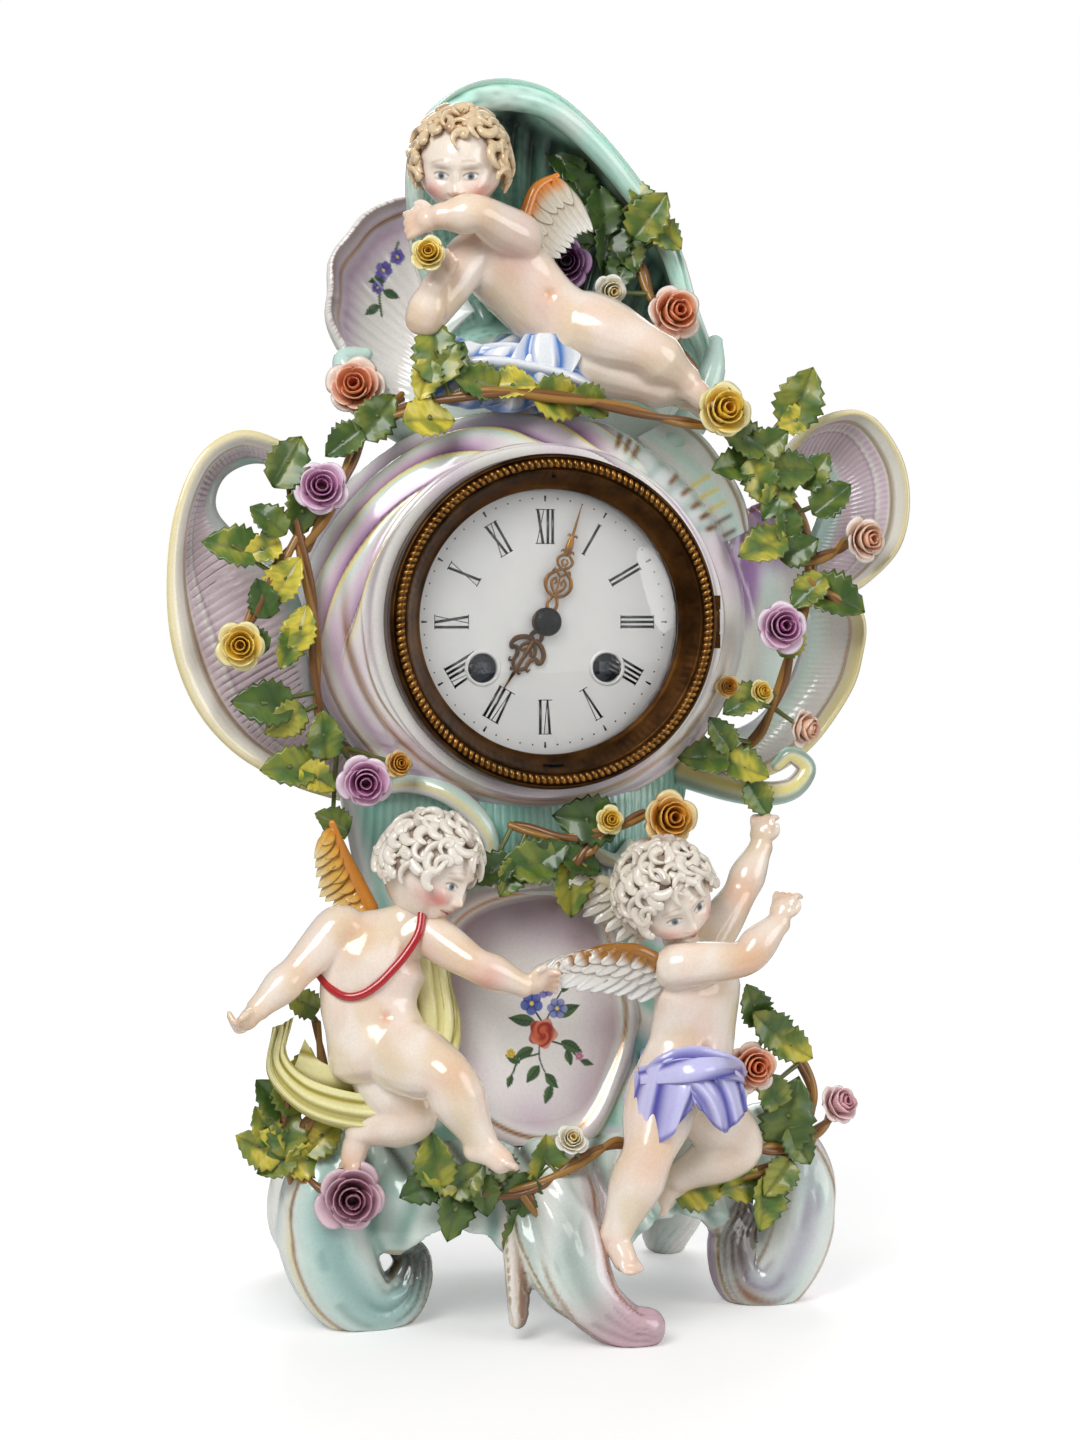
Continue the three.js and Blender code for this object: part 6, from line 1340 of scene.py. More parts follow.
def torsoPart(pose):
    # rings along the spine, oval across the shoulders and hips, with a round belly
    spine = [pose["neck"], pose["chest"], pose["waist"], pose["pelvis"],
        between(pose["pelvis"], pose["waist"], -0.75)]
    centres = spline(spine, 44)
    tangents = unit(np.gradient(centres, axis=0))
    shoulder = unit(vec(pose.get("shoulders", np.subtract(pose["arms"][1][0], pose["arms"][0][0]))))
    hip = unit(vec(pose.get("hips", np.subtract(pose["legs"][1][0], pose["legs"][0][0]))))
    t = np.linspace(0, 1, 44)[:, None]
    sides = shoulder * (1 - step(0.3, 0.8, t)) + hip * step(0.3, 0.8, t)
    sides = unit(sides - tangents * np.sum(sides * tangents, -1, keepdims=True))
    fronts = np.cross(tangents, sides)
    facing = vec(pose["front"])
    fronts = fronts * np.sign(np.sum(fronts * facing, -1, keepdims=True))
    knots = np.array([0, 0.08, 0.18, 0.3, 0.46, 0.6, 0.74, 0.86, 0.95, 1.0])
    wide = (np.interp(t[:, 0], knots, [5.6, 8, 13.2, 15.4, 14.4, 13.8, 15.2, 15.4, 12, 5])
        * pose.get("broad", 1))
    deep = np.interp(t[:, 0], knots, [5.4, 6.4, 9, 11, 11, 11.4, 13.2, 12.8, 10, 4])
    belly = bump(t, 0.72, 0.16) * 2.4 + bump(t, 0.3, 0.12) * 1.0
    a = fullTurn(28)
    centres = centres + fronts * belly
    points = (centres[:, None] + sides[:, None] * (wide[:, None] * np.cos(a))[..., None] + fronts[:, None]
        * (deep[:, None] * np.sin(a))[..., None])
    ends = [np.repeat(points[:1].mean(1, keepdims=True), 28, 1), points,
        np.repeat(points[-1:].mean(1, keepdims=True), 28, 1)]
    return gridPart(np.concatenate(ends), flesh["skin"], aroundCols=True)


def handParts(wrist, tip, spreadAxis, curl):
    # a plump palm and four fingers fanned across it, with a thumb
    wrist, tip = vec(wrist), vec(tip)
    along = unit(tip - wrist)
    spread = unit(vec(spreadAxis) - along * (vec(spreadAxis) @ along))
    bend = np.cross(along, spread) * curl
    fist = max(0, curl - 0.5)
    palm = wrist + along * 4.2
    parts = [ball(palm, (4.6, 4.8, 3.3), np.array([spread, along, np.cross(spread, along)]), 18, 12)]
    for k in range(4):
        share = (k - 1.5) / 1.5
        root = palm + along * 3 + spread * share * 3.2
        mid = root + along * (3.6 - 1.6 * fist) + spread * share * 0.8 + bend * 1.0
        end = mid + along * (2.4 - 0.5 * abs(share) - 3.4 * fist) + spread * share * 0.4 + bend * 2.6
        parts.append(tube([root, mid, end], [1.55, 1.4, 1.15], 8, 8))
    root = palm + spread * 3.4 - along * 1.2
    parts.append(tube([root, root + spread * 2.6 + along * 1.8, root + spread * 3.2 + along * 4.6],
        [1.7, 1.5, 1.2], 8, 8))
    return parts


def footParts(ankle, toe, upAxis):
    ankle, toe = vec(ankle), vec(toe)
    along = unit(toe - ankle)
    up = unit(vec(upAxis) - along * (vec(upAxis) @ along))
    across = np.cross(along, up)
    heel = ankle - up * 2.2 - along * 1.5
    toeBall = ankle + along * 9 - up * 3.4
    parts = [tube([heel, between(heel, toeBall, 0.5) + up * 1.0, toeBall], [5.0, 4.8, 4.4], 14, 14)]
    for k in range(5):
        share = (k - 2) / 2
        root = toeBall + along * 2.4 + across * share * 3.4
        parts.append(tube([root, root + along * (3.2 - 0.9 * abs(share - 0.4))],
            [2.0 - 0.13 * k, 1.65 - 0.13 * k], 8, 6))
    return parts


def bodyMesh(name, pose):
    parts = [torsoPart(pose)]
    for arm, curl in zip(pose["arms"], pose.get("curls", (0.5, 0.5))):
        shoulder, elbow, wrist, tip = (vec(p) for p in arm)
        root = between(pose["chest"], shoulder, 0.62)
        path = [root, shoulder, between(shoulder, elbow, 0.5), elbow, between(elbow, wrist, 0.4),
            between(elbow, wrist, 0.85), wrist]
        parts.append(tube(path, np.array([8.2, 8.6, 8.0, 6.5, 7.0, 4.9, 4.6]) * pose.get("slim", 1), 18, 46))
        parts.extend(handParts(wrist, tip, pose["palm"], curl))
    for leg, up in zip(pose["legs"], pose["toesUp"]):
        hip, knee, ankle, toe = (vec(p) for p in leg)
        root = between(pose["pelvis"], hip, 0.45)
        path = [root, hip, between(hip, knee, 0.5), knee, between(knee, ankle, 0.35),
            between(knee, ankle, 0.8), ankle]
        parts.append(tube(path, [12, 13.2, 12.2, 9.0, 9.6, 6.4, 5.7], 20, 50))
        parts.extend(footParts(ankle, toe, up))
    neckTop = between(pose["neck"], pose["head"], 0.5)
    parts.append(tube([pose["chest"], pose["neck"], neckTop], [8, 6.4, 6.2], 16, 16))
    mesh = sculpted(name, parts, figureVoxel, 5)
    points, normals = pointsOf(mesh)
    wash = cloudy(points, 9, 51)
    paint = mix(flesh["skin"], flesh["peach"], 0.06 + 0.16 * step(-0.2, 0.8, wash))
    paint = mix(paint, flesh["ochre"], 0.45 * step(-0.3, 0.9, cloudy(points, 14, 53)))
    paint = mix(paint, flesh["shade"], 0.35 * step(0.1, 0.8, -normals[:, 2]))
    for key, tone in (("warm", "blush"), ("tanned", "tan")):
        for place, size, strength in pose[key]:
            near = np.exp(-np.sum((points - vec(place)) ** 2, -1) / size**2)
            paint = mix(paint, flesh[tone], near * strength)
    for limb in [*pose["arms"], *pose["legs"]]:
        for place, size, strength in ((limb[1], 8, 0.30), (limb[2], 5, 0.22), (limb[3], 7, 0.34)):
            near = np.exp(-np.sum((points - vec(place)) ** 2, -1) / size**2)
            paint = mix(paint, flesh["peach"], near * strength * 1.6)
    navel = between(pose["waist"], pose["pelvis"], 0.35) + vec(pose["front"]) * 13
    dent = np.exp(-np.sum((points - navel) ** 2, -1) / 2.0**2)
    setPoints(mesh, points - normals * (dent * 1.1)[:, None])
    setPaint(mesh, mix(paint, flesh["peach"], dent * 0.7), np.zeros(len(points)))
    return mesh


def headAxes(forward, up):
    forward = unit(vec(forward))
    up = unit(vec(up) - forward * (vec(up) @ forward))
    return np.array([np.cross(up, forward), forward, up])


faceShape = {"skull": (14.8, 15.8, 17.2), "eyeX": 5.1, "eyeZ": 0.2, "around": 212, "down": 156, "locks": 175}


def headPart(pose):
    # a round skull pushed forward by bell curves for cheeks, nose, lips, lids and chin
    e, ez = faceShape["eyeX"], faceShape["eyeZ"]

    def hill(x, z, cx, cz, wx, wz):
        return np.exp(-(((x - cx) / wx) ** 2) - ((z - cz) / wz) ** 2)

    def shape(local):
        x, y, z = np.moveaxis(local, -1, 0)
        front = step(0.15, 0.6, y / faceShape["skull"][1])
        pairs = [(7.6, -5.6, 5.0, 4.8, 2.1), (e, ez, 3.2, 2.3, -1.9), (e, ez - 0.1, 2.1, 1.5, 1.35),
            (e, 4.6, 3.8, 1.5, 0.8), (e, 2.35, 2.4, 0.45, -0.35), (e, -1.3, 2.1, 0.4, -0.25),
            (1.95, -5.0, 1.0, 0.9, 0.95), (3.2, -9.0, 0.8, 0.8, -0.5)]
        singles = [(0, -14.0, 4.2, 3.2, 2.6), (0, -9.3, 5.0, 3.8, 1.5), (0, -4.4, 1.7, 1.9, 2.6),
            (0, -0.6, 1.5, 3.2, 1.5), (0, -8.2, 2.5, 0.75, 1.0), (0, -10.1, 2.1, 0.85, 1.1),
            (0, -9.15, 2.8, 0.36, -0.9), (0, -11.9, 2.5, 0.8, -0.5),
            (0, -6.9, 0.6, 0.9, -0.35), (0, 9, 8, 6, 1.0)]
        push = sum(a * (hill(x, z, cx, cz, wx, wz) + hill(x, z, -cx, cz, wx, wz))
            for cx, cz, wx, wz, a in pairs)
        push = push + sum(a * hill(x, z, cx, cz, wx, wz) for cx, cz, wx, wz, a in singles)
        y = y + push * front
        narrow = 1 - 0.17 * step(3, 17, -z)
        return np.stack([x * narrow, y * (1 - 0.1 * step(6, 17, -z)), z], -1)

    def paint(local):
        x, y, z = np.moveaxis(local, -1, 0)
        front = step(0.1, 0.5, y / faceShape["skull"][1])
        tone = mix(flesh["skin"], flesh["peach"], 0.08 + 0 * x)
        tone = layered(tone, [
            (flesh["blush"], front * (hill(x, z, 8.2, -5.4, 3.9, 3.4) + hill(x, z, -8.2, -5.4, 3.9, 3.4))
                * pose.get("cheek", 0.62)),
            (flesh["peach"], front * (hill(x, z, 0, -5.2, 2.0, 1.6) * 0.55
                + hill(x, z, 0, -14, 3.4, 2.6) * 0.4)),
            (flesh["shade"], front * (hill(x, z, e, 3.0, 3.2, 1.1) + hill(x, z, -e, 3.0, 3.2, 1.1)) * 0.5),
            (flesh["shade"], step(2, -4, y) * 0.4),
        ])
        for side in (-e, e):
            eye = 1 - step(0.85, 1.1, ((x - side) / 2.35) ** 2 + ((z - ez) / 1.2) ** 2)
            tone = mix(tone, linear(0xF6F3EE), eye * front)
            iris = 1 - step(0.8, 1.15, np.hypot(x - side, z - ez) / 1.2)
            tone = mix(tone, flesh["iris"], iris * eye * front)
            tone = mix(tone, linear(0x1A1A1E), (1 - step(0.7, 1.1, np.hypot(x - side, z - ez) / 0.5)) * front)
            lid = bump(z, ez + 1.25 - 0.14 * (x - side) ** 2, 0.3) * (np.abs(x - side) < 2.7)
            tone = mix(tone, flesh["lid"], lid * 0.85 * front)
            low = bump(z, ez - 1.2 + 0.1 * (x - side) ** 2, 0.22) * (np.abs(x - side) < 2.2)
            tone = mix(tone, flesh["lid"], low * 0.35 * front)
            brow = bump(z, 5.8 - 0.07 * (x - 0.72 * side) ** 2, 0.42) * (np.abs(x - side) < 3.4)
            tone = mix(tone, flesh["brow"], brow * 0.4 * front)
        lips = hill(x, z, 0, -8.3, 2.6, 0.75) + hill(x, z, 0, -10.0, 2.1, 0.8)
        tone = mix(tone, flesh["lips"], np.clip(lips * 1.2, 0, 1) * 0.8 * front)
        tone = mix(tone, linear(0x6E1D1A), bump(z, -9.15 + 0.03 * x**2, 0.28)
            * (np.abs(x) < 2.9) * front * 0.8)
        return tone

    return ball(pose["head"], faceShape["skull"], headAxes(pose["face"], pose["crown"]), faceShape["around"],
        faceShape["down"], paint, shape)


def earPart(pose, side):
    axes = headAxes(pose["face"], pose["crown"])
    centre = vec(pose["head"]) + axes[0] * side * 13.9 + axes[2] * -1.0 - axes[1] * 0.5
    turn = np.linspace(-0.6, 4.2, 9)
    rim = [centre + axes[2] * 2.8 * np.cos(t) - axes[1] * 1.8 * np.sin(t)
        + axes[0] * side * 0.8 for t in turn]
    return [tube(rim, [0.8] * 9, 8, 24, paint=flesh["peach"]),
        ball(centre, (1.2, 2.0, 2.8), axes, 12, 8, flesh["skin"])]


def hairParts(pose, draw):
    # locks: short curled strands that flow from the crown down to the hairline, cream and brown; the brown
    # lies at each lock's root and sides as painted shade, the cream where it faces outwards
    axes = headAxes(pose["face"], pose["crown"])
    count, goldenTurn = faceShape["locks"], 2.399963
    k = np.arange(count)
    z = 1 - 2 * (k + 0.5) / count
    a = k * goldenTurn
    spots = np.stack([np.sqrt(1 - z**2) * np.sin(a), np.sqrt(1 - z**2) * np.cos(a), z], -1)
    hairline = np.where(spots[:, 1] > 0.15, pose["line"] - 0.12 * (np.abs(spots[:, 0]) < 0.12) - 0.5
        * np.abs(spots[:, 0]) ** 2, -0.42 - 0.1 * spots[:, 1])
    hairline = np.where((spots[:, 1] > 0.0) & (np.abs(spots[:, 0]) > 0.72), -0.05, hairline)
    spots = spots[spots[:, 2] > hairline]
    light, dark = (linear(code) for code in pose["hair"])
    crown = unit(np.array([0.1, -0.35, 1]))
    parts = []
    for spot in spots:
        normal = unit(spot)
        flow = unit(normal * (normal @ crown) - crown + 0.45 * draw.normal(size=3))
        side = unit(np.cross(normal, flow))
        flow = np.cross(side, normal)
        share = np.linspace(0, 1, 9)
        turns = 2 * np.pi * draw.uniform(0.7, 1.25) * share + draw.uniform(0, 6.28)
        centre = spot * (np.array(faceShape["skull"]) + 0.2)
        path = (centre + np.outer((share - 0.4) * draw.uniform(5, 8) + 1.3 * np.sin(turns), flow)
            + np.outer(draw.uniform(1.5, 2.5) * np.cos(turns), side))
        path += np.outer(0.8 + 2.4 * share - 1.6 * share**4 + draw.uniform(0, 0.8), normal)
        shade = lambda along, angle, points: mix(dark, light, step(-0.15, 0.5, along + 0.35 * np.cos(angle)))
        parts.append(tube(path @ axes + vec(pose["head"]), [1.2, 1.9, 2.1, 2.0, 1.85, 1.6, 1.35, 1.0, 0.6],
            10, 22, 0.7, normal @ axes, shade))

    def swell(places):
        rise = np.maximum(step(10, 14, places[..., 2]), step(3, -2, places[..., 1]))
        return places * (1.015 + 0.075 * rise)[..., None]

    # a dark cap under the locks: painted shade between them
    cap = ball(pose["head"], faceShape["skull"], axes, 60, 40, mix(dark, light, np.array(0.15)), swell)
    local = (cap["points"] - vec(pose["head"])) @ axes.T
    inside = ((local[:, 2] > faceShape["skull"][2] * pose["line"] + 0.5)
        | ((local[:, 1] < 2) & (local[:, 2] > -5)))
    keep = inside[cap["faces"]].all(1)
    cap["faces"] = cap["faces"][keep]
    parts.append(cap)
    return parts


def wingParts(lead, fall, out, lengths, tones, layers=((13, 1.0, 5.2), (10, 0.55, 5.0)), spread=0.0):
    # overlapping rows of feathers that fall from a leading edge
    base, middle, tipTone = (linear(code) for code in tones)
    parts = []
    line = spline(lead, 40)
    parts.append(tube(lead, [2.6, 2.4, 2.0, 1.2], 12, 26, paint=base))
    for row, (count, share, width) in enumerate(layers):
        for k in range(count):
            s = (k + 0.5) / count
            root = line[int(s * 39)] + vec(out) * (0.7 + 0.9 * row)
            direction = unit(between(fall[0], fall[1], s))
            length = np.interp(s, [0, 0.5, 1], lengths) * share

            def painter(u, v, points, row=row, s=s):
                barbs = 0.5 + 0.5 * np.sin(v * 46 + 6 * np.abs(u))
                colour = mix(base, middle, step(0.1, 0.6, v + 0.25 * (1 - row) + 0.5 * s * spread))
                colour = mix(colour, tipTone, step(0.45, 0.95, v) * (0.85 if row == 0 else 0.25))
                return mix(colour, colour * 0.72,
                    bump(u, 0, 0.1) * 0.8 + barbs * 0.14 + bump(np.abs(u), 1, 0.14) * 0.4)

            parts.append(bladePart(root, direction, out, length, width, painter, 0, 0.9,
                -0.25, 0.05, 0.12, 16, 9, 0.8))
    return parts


def clothPart(path, radii, tones, flat=0.5, start=(0, 1, 0.1), folds=5, phase=0.0, depth=0.2):
    # a bunched cloth: a flattened tube whose outline ripples into folds that drift along it
    light, dark = (linear(code) for code in clothLitAndShadedTones[tones])

    def profile(along, angle):
        return (1 + depth * np.cos(folds * angle + 3.5 * np.sin(4.5 * along + phase)) + 0.08
            * np.sin(11 * along + 2 * angle))

    # the cloth's light tone on the folds' ridges and its dark tone in their hollows: partly the cloth's own
    # colour, partly painted shade and painted highlight
    def paint(along, angle, points):
        return mix(light, dark, 0.5 - 0.5 * np.cos(folds * angle + 3.5 * np.sin(4.5 * along + phase)))

    return tube(path, radii, 64, 70, flat, start, paint, profile=profile)


drapeGrid = (88, 38)


def drape(top, bottom, tones, across=3.0, down=0.0, depth=1.6, bulge=2.0, hem=1.5, phase=0.0):
    # a thin hanging cloth between two edges; its folds run across or down it and deepen toward the hem
    light, dark = (linear(code) for code in clothLitAndShadedTones[tones])
    u, v = gridOf((0, 1, drapeGrid[0]), (0, 1, drapeGrid[1]))
    high, low = (spline(edge, drapeGrid[0])[:, None] for edge in (top, bottom))
    angle = 2 * np.pi * (across * u + down * v) + 1.6 * np.sin(3.1 * u + 2.4 * v + phase)
    fold = np.cos(angle) + 0.35 * np.cos(2.3 * angle + 1)
    out = depth * fold * (0.3 + 0.7 * v) + bulge * np.sin(np.pi * v)
    points = high * (1 - v[..., None]) + low * v[..., None] + out[..., None] * np.array([0, -1, 0.1])
    points[..., 2] -= hem * 0.5 * np.cos(angle * 0.5) * v**3
    # light on the folds that stand out and dark in their hollows, partly the cloth's own colour and partly
    # painted shade and painted highlight; a dark band along the hem
    paint = mix(light, dark, np.clip(0.35 - 0.5 * fold, 0, 1) ** 1.2)
    paint = mix(paint, dark, bump(v, 0.97, 0.035) * 0.8)
    return sheetPart(points, 1.3, paint)


figures = {
    "leftCherub": {
        "node": "left_putto", "head": (-45, -67, 163), "neck": (-51, -64, 146), "chest": (-61, -64, 134),
        "waist": (-65, -64, 118), "pelvis": (-61.5, -65, 102),
        "arms": [[(-75, -64, 143), (-90, -68, 129), (-104, -72, 117), (-111, -74, 110)],
            [(-46, -66, 141), (-31, -80, 131), (-14, -79, 123), (-4, -77, 125)]],
        "legs": [[(-55, -72, 100), (-43, -90, 95), (-31, -90, 72), (-20, -96, 68)],
            [(-58, -62, 92), (-50, -66, 78), (-68, -60, 72), (-74, -62, 62)]],
        "line": 0.55, "front": (0.2, -0.97, 0.1), "face": (0.62, -0.64, -0.45), "crown": (0.22, 0.05, 1),
        "palm": (0.3, -0.5, 0.8), "toesUp": [(0.3, 0.2, 1), (-0.5, -0.3, 0.6)],
        "hair": (0xF1E9DC, 0x8F7560), "warm": [((-50, -80, 134), 9, 0.25), ((-63, -78, 118), 9, 0.16),
            ((-28, -86, 126), 6, 0.55)],
        "tanned": [((-71, -76, 143), 8, 0.6), ((-40, -98, 96), 7, 0.4), ((-58, -80, 104), 7, 0.25)],
        "broad": 1.18, "slim": 0.92, "hips": (0.95, -0.3, 0.2), "curls": (1.5, 0.7), "cheek": 0.9,
    },
    "rightCherub": {
        "node": "right_putto", "head": (38, -72, 153), "neck": (45, -68, 135), "chest": (50, -67, 122),
        "waist": (49.5, -66, 104), "pelvis": (45.5, -67, 89),
        "arms": [[(57, -60, 134), (70, -54, 150), (79, -52, 167), (79, -52, 180)],
            [(40, -78, 128), (63, -84, 131), (76, -82, 143), (79, -80, 154)]],
        "legs": [[(38, -72, 84), (29, -82, 64), (18, -80, 36), (24, -92, 27)],
            [(52, -62, 80), (67, -64, 62), (46, -58, 50), (34, -57, 38)]],
        "line": 0.55, "front": (0.25, -0.96, 0.0), "face": (0.3, -0.85, -0.45), "crown": (-0.42, -0.4, 0.82),
        "palm": (0.6, -0.7, 0.1), "toesUp": [(0.2, -0.3, 1), (0.3, -0.4, 1)],
        "hair": (0xEFE6D8, 0x8B7058), "warm": [((47, -80, 118), 10, 0.16),
            ((50, -79, 100), 8, 0.16), ((31, -82, 74), 9, 0.25)],
        "tanned": [((64, -90, 131), 8, 0.5), ((70, -60, 150), 7, 0.35), ((40, -80, 92), 8, 0.35),
            ((30, -90, 62), 8, 0.3)], "broad": 1.17, "shoulders": (0.88, 0.42, 0.2),
        "hips": (0.97, 0.15, -0.15), "slim": 0.94, "curls": (1.0, 1.0),
    },
    "topCherub": {
        "node": "top_putto", "head": (-30, -50, 405), "neck": (-23, -46, 389), "chest": (-15, -45, 375),
        "waist": (-3, -44, 361), "pelvis": (11, -43, 350),
        "arms": [[(-10, -54, 380), (-27, -66, 386), (-40, -64, 385), (-48, -60, 383)],
            [(-26, -46, 374), (-43, -52, 351), (-41, -58, 362), (-36, -62, 371)]],
        "legs": [[(16, -48, 350), (34, -58, 342), (50, -54, 332), (60, -56, 327)],
            [(14, -42, 342), (36, -50, 333), (53, -46, 329), (62, -44, 326)]],
        "line": 0.80, "front": (-0.1, -0.95, 0.25), "face": (-0.27, -0.86, -0.42), "crown": (-0.05, -0.3, 1),
        "palm": (0.1, 0.1, 1), "toesUp": [(0.5, -0.3, 0.8), (0.5, -0.3, 0.8)],
        "hair": (0xE6CDA6, 0x9A6434), "warm": [((-12, -56, 372), 9, 0.35), ((-2, -55, 358), 8, 0.2),
            ((20, -58, 350), 9, 0.22), ((-12, -60, 384), 7, 0.3)],
        "tanned": [((2, -56, 356), 9, 0.25), ((48, -60, 334), 8, 0.25)],
    },
}
# each cloth's colour as a lit and a shaded tone, laid by its folds: partly its own colour, partly painted
# shade and painted highlight
clothLitAndShadedTones = {"yellow": (0xF8F2B4, 0xA6961C), "violet": (0xD0CEF8, 0x5450AE), "blue": (0xF0F3F6, 0x4A7CC4)}
extras = {
    "leftCherub": [
        drape([(-90, -58, 112), (-93, -60, 101), (-86, -62, 92), (-72, -66, 87),
            (-58, -68, 86), (-44, -64, 90)],
            [(-97, -56, 108), (-99, -58, 92), (-88, -60, 79), (-72, -63, 73), (-56, -65, 73),
                (-40, -62, 80)], "yellow", 0.9, 3.1, 1.4, 2.0, 1.0),
        drape([(-86, -56, 104), (-80, -58, 96), (-66, -58, 92)],
            [(-92, -54, 88), (-82, -56, 80), (-66, -58, 78)], "yellow", 1.0, 1.5, 1.2, 1.5),
        drape([(-50, -58, 144), (-48, -60, 124), (-48, -60, 106), (-52, -58, 92)],
            [(-38, -54, 142), (-35, -56, 124), (-32, -58, 106), (-36, -58, 88)], "yellow",
            0.6, 2.8, 1.3, 2.4, 0.5, 1.0),
        *wingParts([(-62, -52, 148), (-67, -51, 158), (-72, -52, 168), (-76, -54, 178)],
            [(-0.7, 0.1, -0.4), (-0.55, 0.2, -0.9)], (-0.5, -0.8, 0.2), [9, 15, 12],
            (0xD88A2A, 0xE8B24A, 0xF3E2B0), ((9, 1.0, 6.0), (7, 0.55, 5.6))),
    ],
    "rightCherub": [
        clothPart([(28, -72, 80), (38, -80, 90), (54, -78, 90), (63, -68, 86)], [5, 7.6, 8, 6],
            "violet", 0.75, folds=7, depth=0.2),
        drape([(25, -78, 92), (33, -87, 96), (44, -90, 95)], [(24, -82, 68), (31, -90, 70), (42, -92, 80)],
            "violet", 2.2, 0.8, 1.7, 1.6, 2.0),
        drape([(38, -90, 96), (50, -89, 96), (63, -76, 92)], [(43, -93, 82), (54, -92, 73), (66, -80, 77)],
            "violet", 2.0, -0.7, 1.7, 1.6, 2.0, 2.0),
        drape([(26, -79, 94), (40, -91, 98), (52, -89, 98), (64, -75, 94)],
            [(26, -82, 88), (40, -94, 90), (52, -93, 91), (65, -78, 87)], "violet", 1.2, 1.0, 0.9, 1.2, 0.4),
        clothPart([(46, -57, 84), (45, -44, 90)], [8, 9], "violet", 0.8, folds=7, phase=0.5, depth=0.1),
        *wingParts([(37, -76, 128), (26, -79, 134), (12, -78, 134), (-1, -75, 127)],
            [(-0.6, 0, -0.9), (-1, 0, -0.3)], (-0.15, -1, 0.1), [15, 23, 14],
            (0xA06A24, 0xE2DCD2, 0xF3F2EF), ((12, 1.0, 8.8), (10, 0.62, 7.4), (9, 0.36, 5.8)), 0.15),
        *wingParts([(36, -56, 138), (28, -57, 150), (20, -58, 156), (12, -59, 158)],
            [(-0.7, 0, -0.8), (-1, 0, -0.2)], (-0.1, -1, 0.1), [10, 17, 12],
            (0xD9CDB0, 0xE9E4D2, 0xF3F1EA), ((10, 1.0, 5.0), (7, 0.5, 4.6))),
    ],
    "topCherub": [
        clothPart([(-36, -44, 336), (-16, -48, 334), (4, -48, 333), (22, -42, 331)], [6, 9, 9, 7],
            "blue", 0.9, folds=8, depth=0.16),
        drape([(-34, -50, 347), (-22, -52, 343), (-9, -54, 343), (3, -54, 346)],
            [(-40, -50, 324), (-27, -53, 321), (-12, -53, 322), (0, -52, 327)], "blue", 3.4, 1.3, 1.3, 1.0),
        drape([(-8, -54, 347), (3, -56, 347), (14, -55, 343)],
            [(-24, -53, 321), (-11, -54, 320), (4, -53, 326)], "blue", 2.6, -0.8, 1.3, 1.0, 1.0, 1.0),
        clothPart([(-8, -32, 335), (12, -22, 326)], [15, 14], "blue", 0.8, folds=7, depth=0.08),
        *wingParts([(-8, -36, 378), (-4, -36, 390), (0, -36, 400), (8, -35, 405)],
            [(0.9, 0, -0.5), (0.75, 0, -1)], (0.1, -1, 0.1), [14, 22, 24],
            (0xE0872A, 0xD9CDB6, 0xEFEDE6), ((10, 1.0, 7.2), (7, 0.5, 6.4))),
        *rosePart((-45, -70, 371.4), 6, (-0.2, -1, 0.2), roseTones["yellow"], np.random.default_rng(11)),
    ],
}
for name, pose in figures.items():
    piece(name + "Body", bodyMesh(name + "Body", pose), porcelain, nodes=[pose["node"]])
    headBits = [headPart(pose), *earPart(pose, -1), *earPart(pose, 1)]
    piece(name + "Head", headBits, porcelain)
    piece(name + "Hair", hairParts(pose, np.random.default_rng(20)), porcelain)
    piece(name + "Dress", extras[name], porcelain)
    print(name)


def ribbonOn(body, path, radius, lift):
    # a path laid on a body's surface
    stations = []
    for place in spline(path, 9):
        hit, at, normal, _ = body.closest_point_on_mesh(Vector((place + shift) / 1000))
        stations.append(np.array(at) * 1000 - shift + np.array(normal) * lift)
    stations = np.array(stations)
    stations[1:-1] = stations[1:-1] / 2 + (stations[:-2] + stations[2:]) / 4
    return tube(stations, [radius] * 5, 12, 90, flat=0.8, paint=linear(0xB3161E))


ribbon = [(-47, -76, 150), (-49.5, -79, 143), (-53, -80, 135.5), (-58.5, -80.5, 129), (-64, -80.5, 124),
    (-70.5, -79, 120.5), (-76, -76, 120), (-80.5, -70, 122.5), (-83, -62, 129)]
piece("leftCherubRibbon", ribbonOn(bpy.data.objects["leftCherubBody"], ribbon, 1.5, 0.9),
    porcelain)
print("figures")

# Dial, numerals, hands and bezel

dialMade = {"front": -50.2, "numerals": (27.2, 39.4), "stroke": 0.95, "hair": 0.3, "gap": 0.75,
    "track": 43.2, "ink": linear(0x14161A), "enamel": linear(0xF2F1ED)}
holes = [(-22.3, 230.9), (22.3, 230.9)]


def lathe(profile, columns, centre=(0, 0, dialZ), paint=(1, 1, 1), relief=None):
    # a profile of radius and depth turned round the dial's axis; relief adds to the radius and depth
    profile = vec(profile)
    a = fullTurn(columns)
    r = profile[:, :1] + 0 * a
    y = profile[:, 1:] + 0 * a
    if relief is not None:
        dr, dy = relief(np.arange(len(profile))[:, None] / (len(profile) - 1), a[None, :])
        r, y = r + dr, y + dy
    points = np.stack([r * np.sin(a), y, r * np.cos(a)], -1) + vec(centre)
    return gridPart(points, paint, aroundCols=True, aroundRows=bool(np.allclose(profile[0], profile[-1])))


def slab(outline, front, back, paint):
    # a four-cornered tile: the corners at two depths, with its sides
    corners = vec(outline)
    points = np.array([(x, y, z) for y in (front, back) for x, z in corners])
    faces = np.array([[0, 1, 2, 3], [7, 6, 5, 4], [0, 4, 5, 1], [1, 5, 6, 2], [2, 6, 7, 3], [3, 7, 4, 0]])
    return {"points": points, "faces": faces, "paint": np.tile(paint, (8, 1)), "gold": np.zeros(8)}


def turnedBy(points, angle):
    # local across and outward places, turned clockwise from twelve
    points = vec(points)
    across, out = points[..., 0], points[..., 1]
    return np.stack([across * np.cos(angle) + out * np.sin(angle),
        dialZ + out * np.cos(angle) - across * np.sin(angle)], -1)


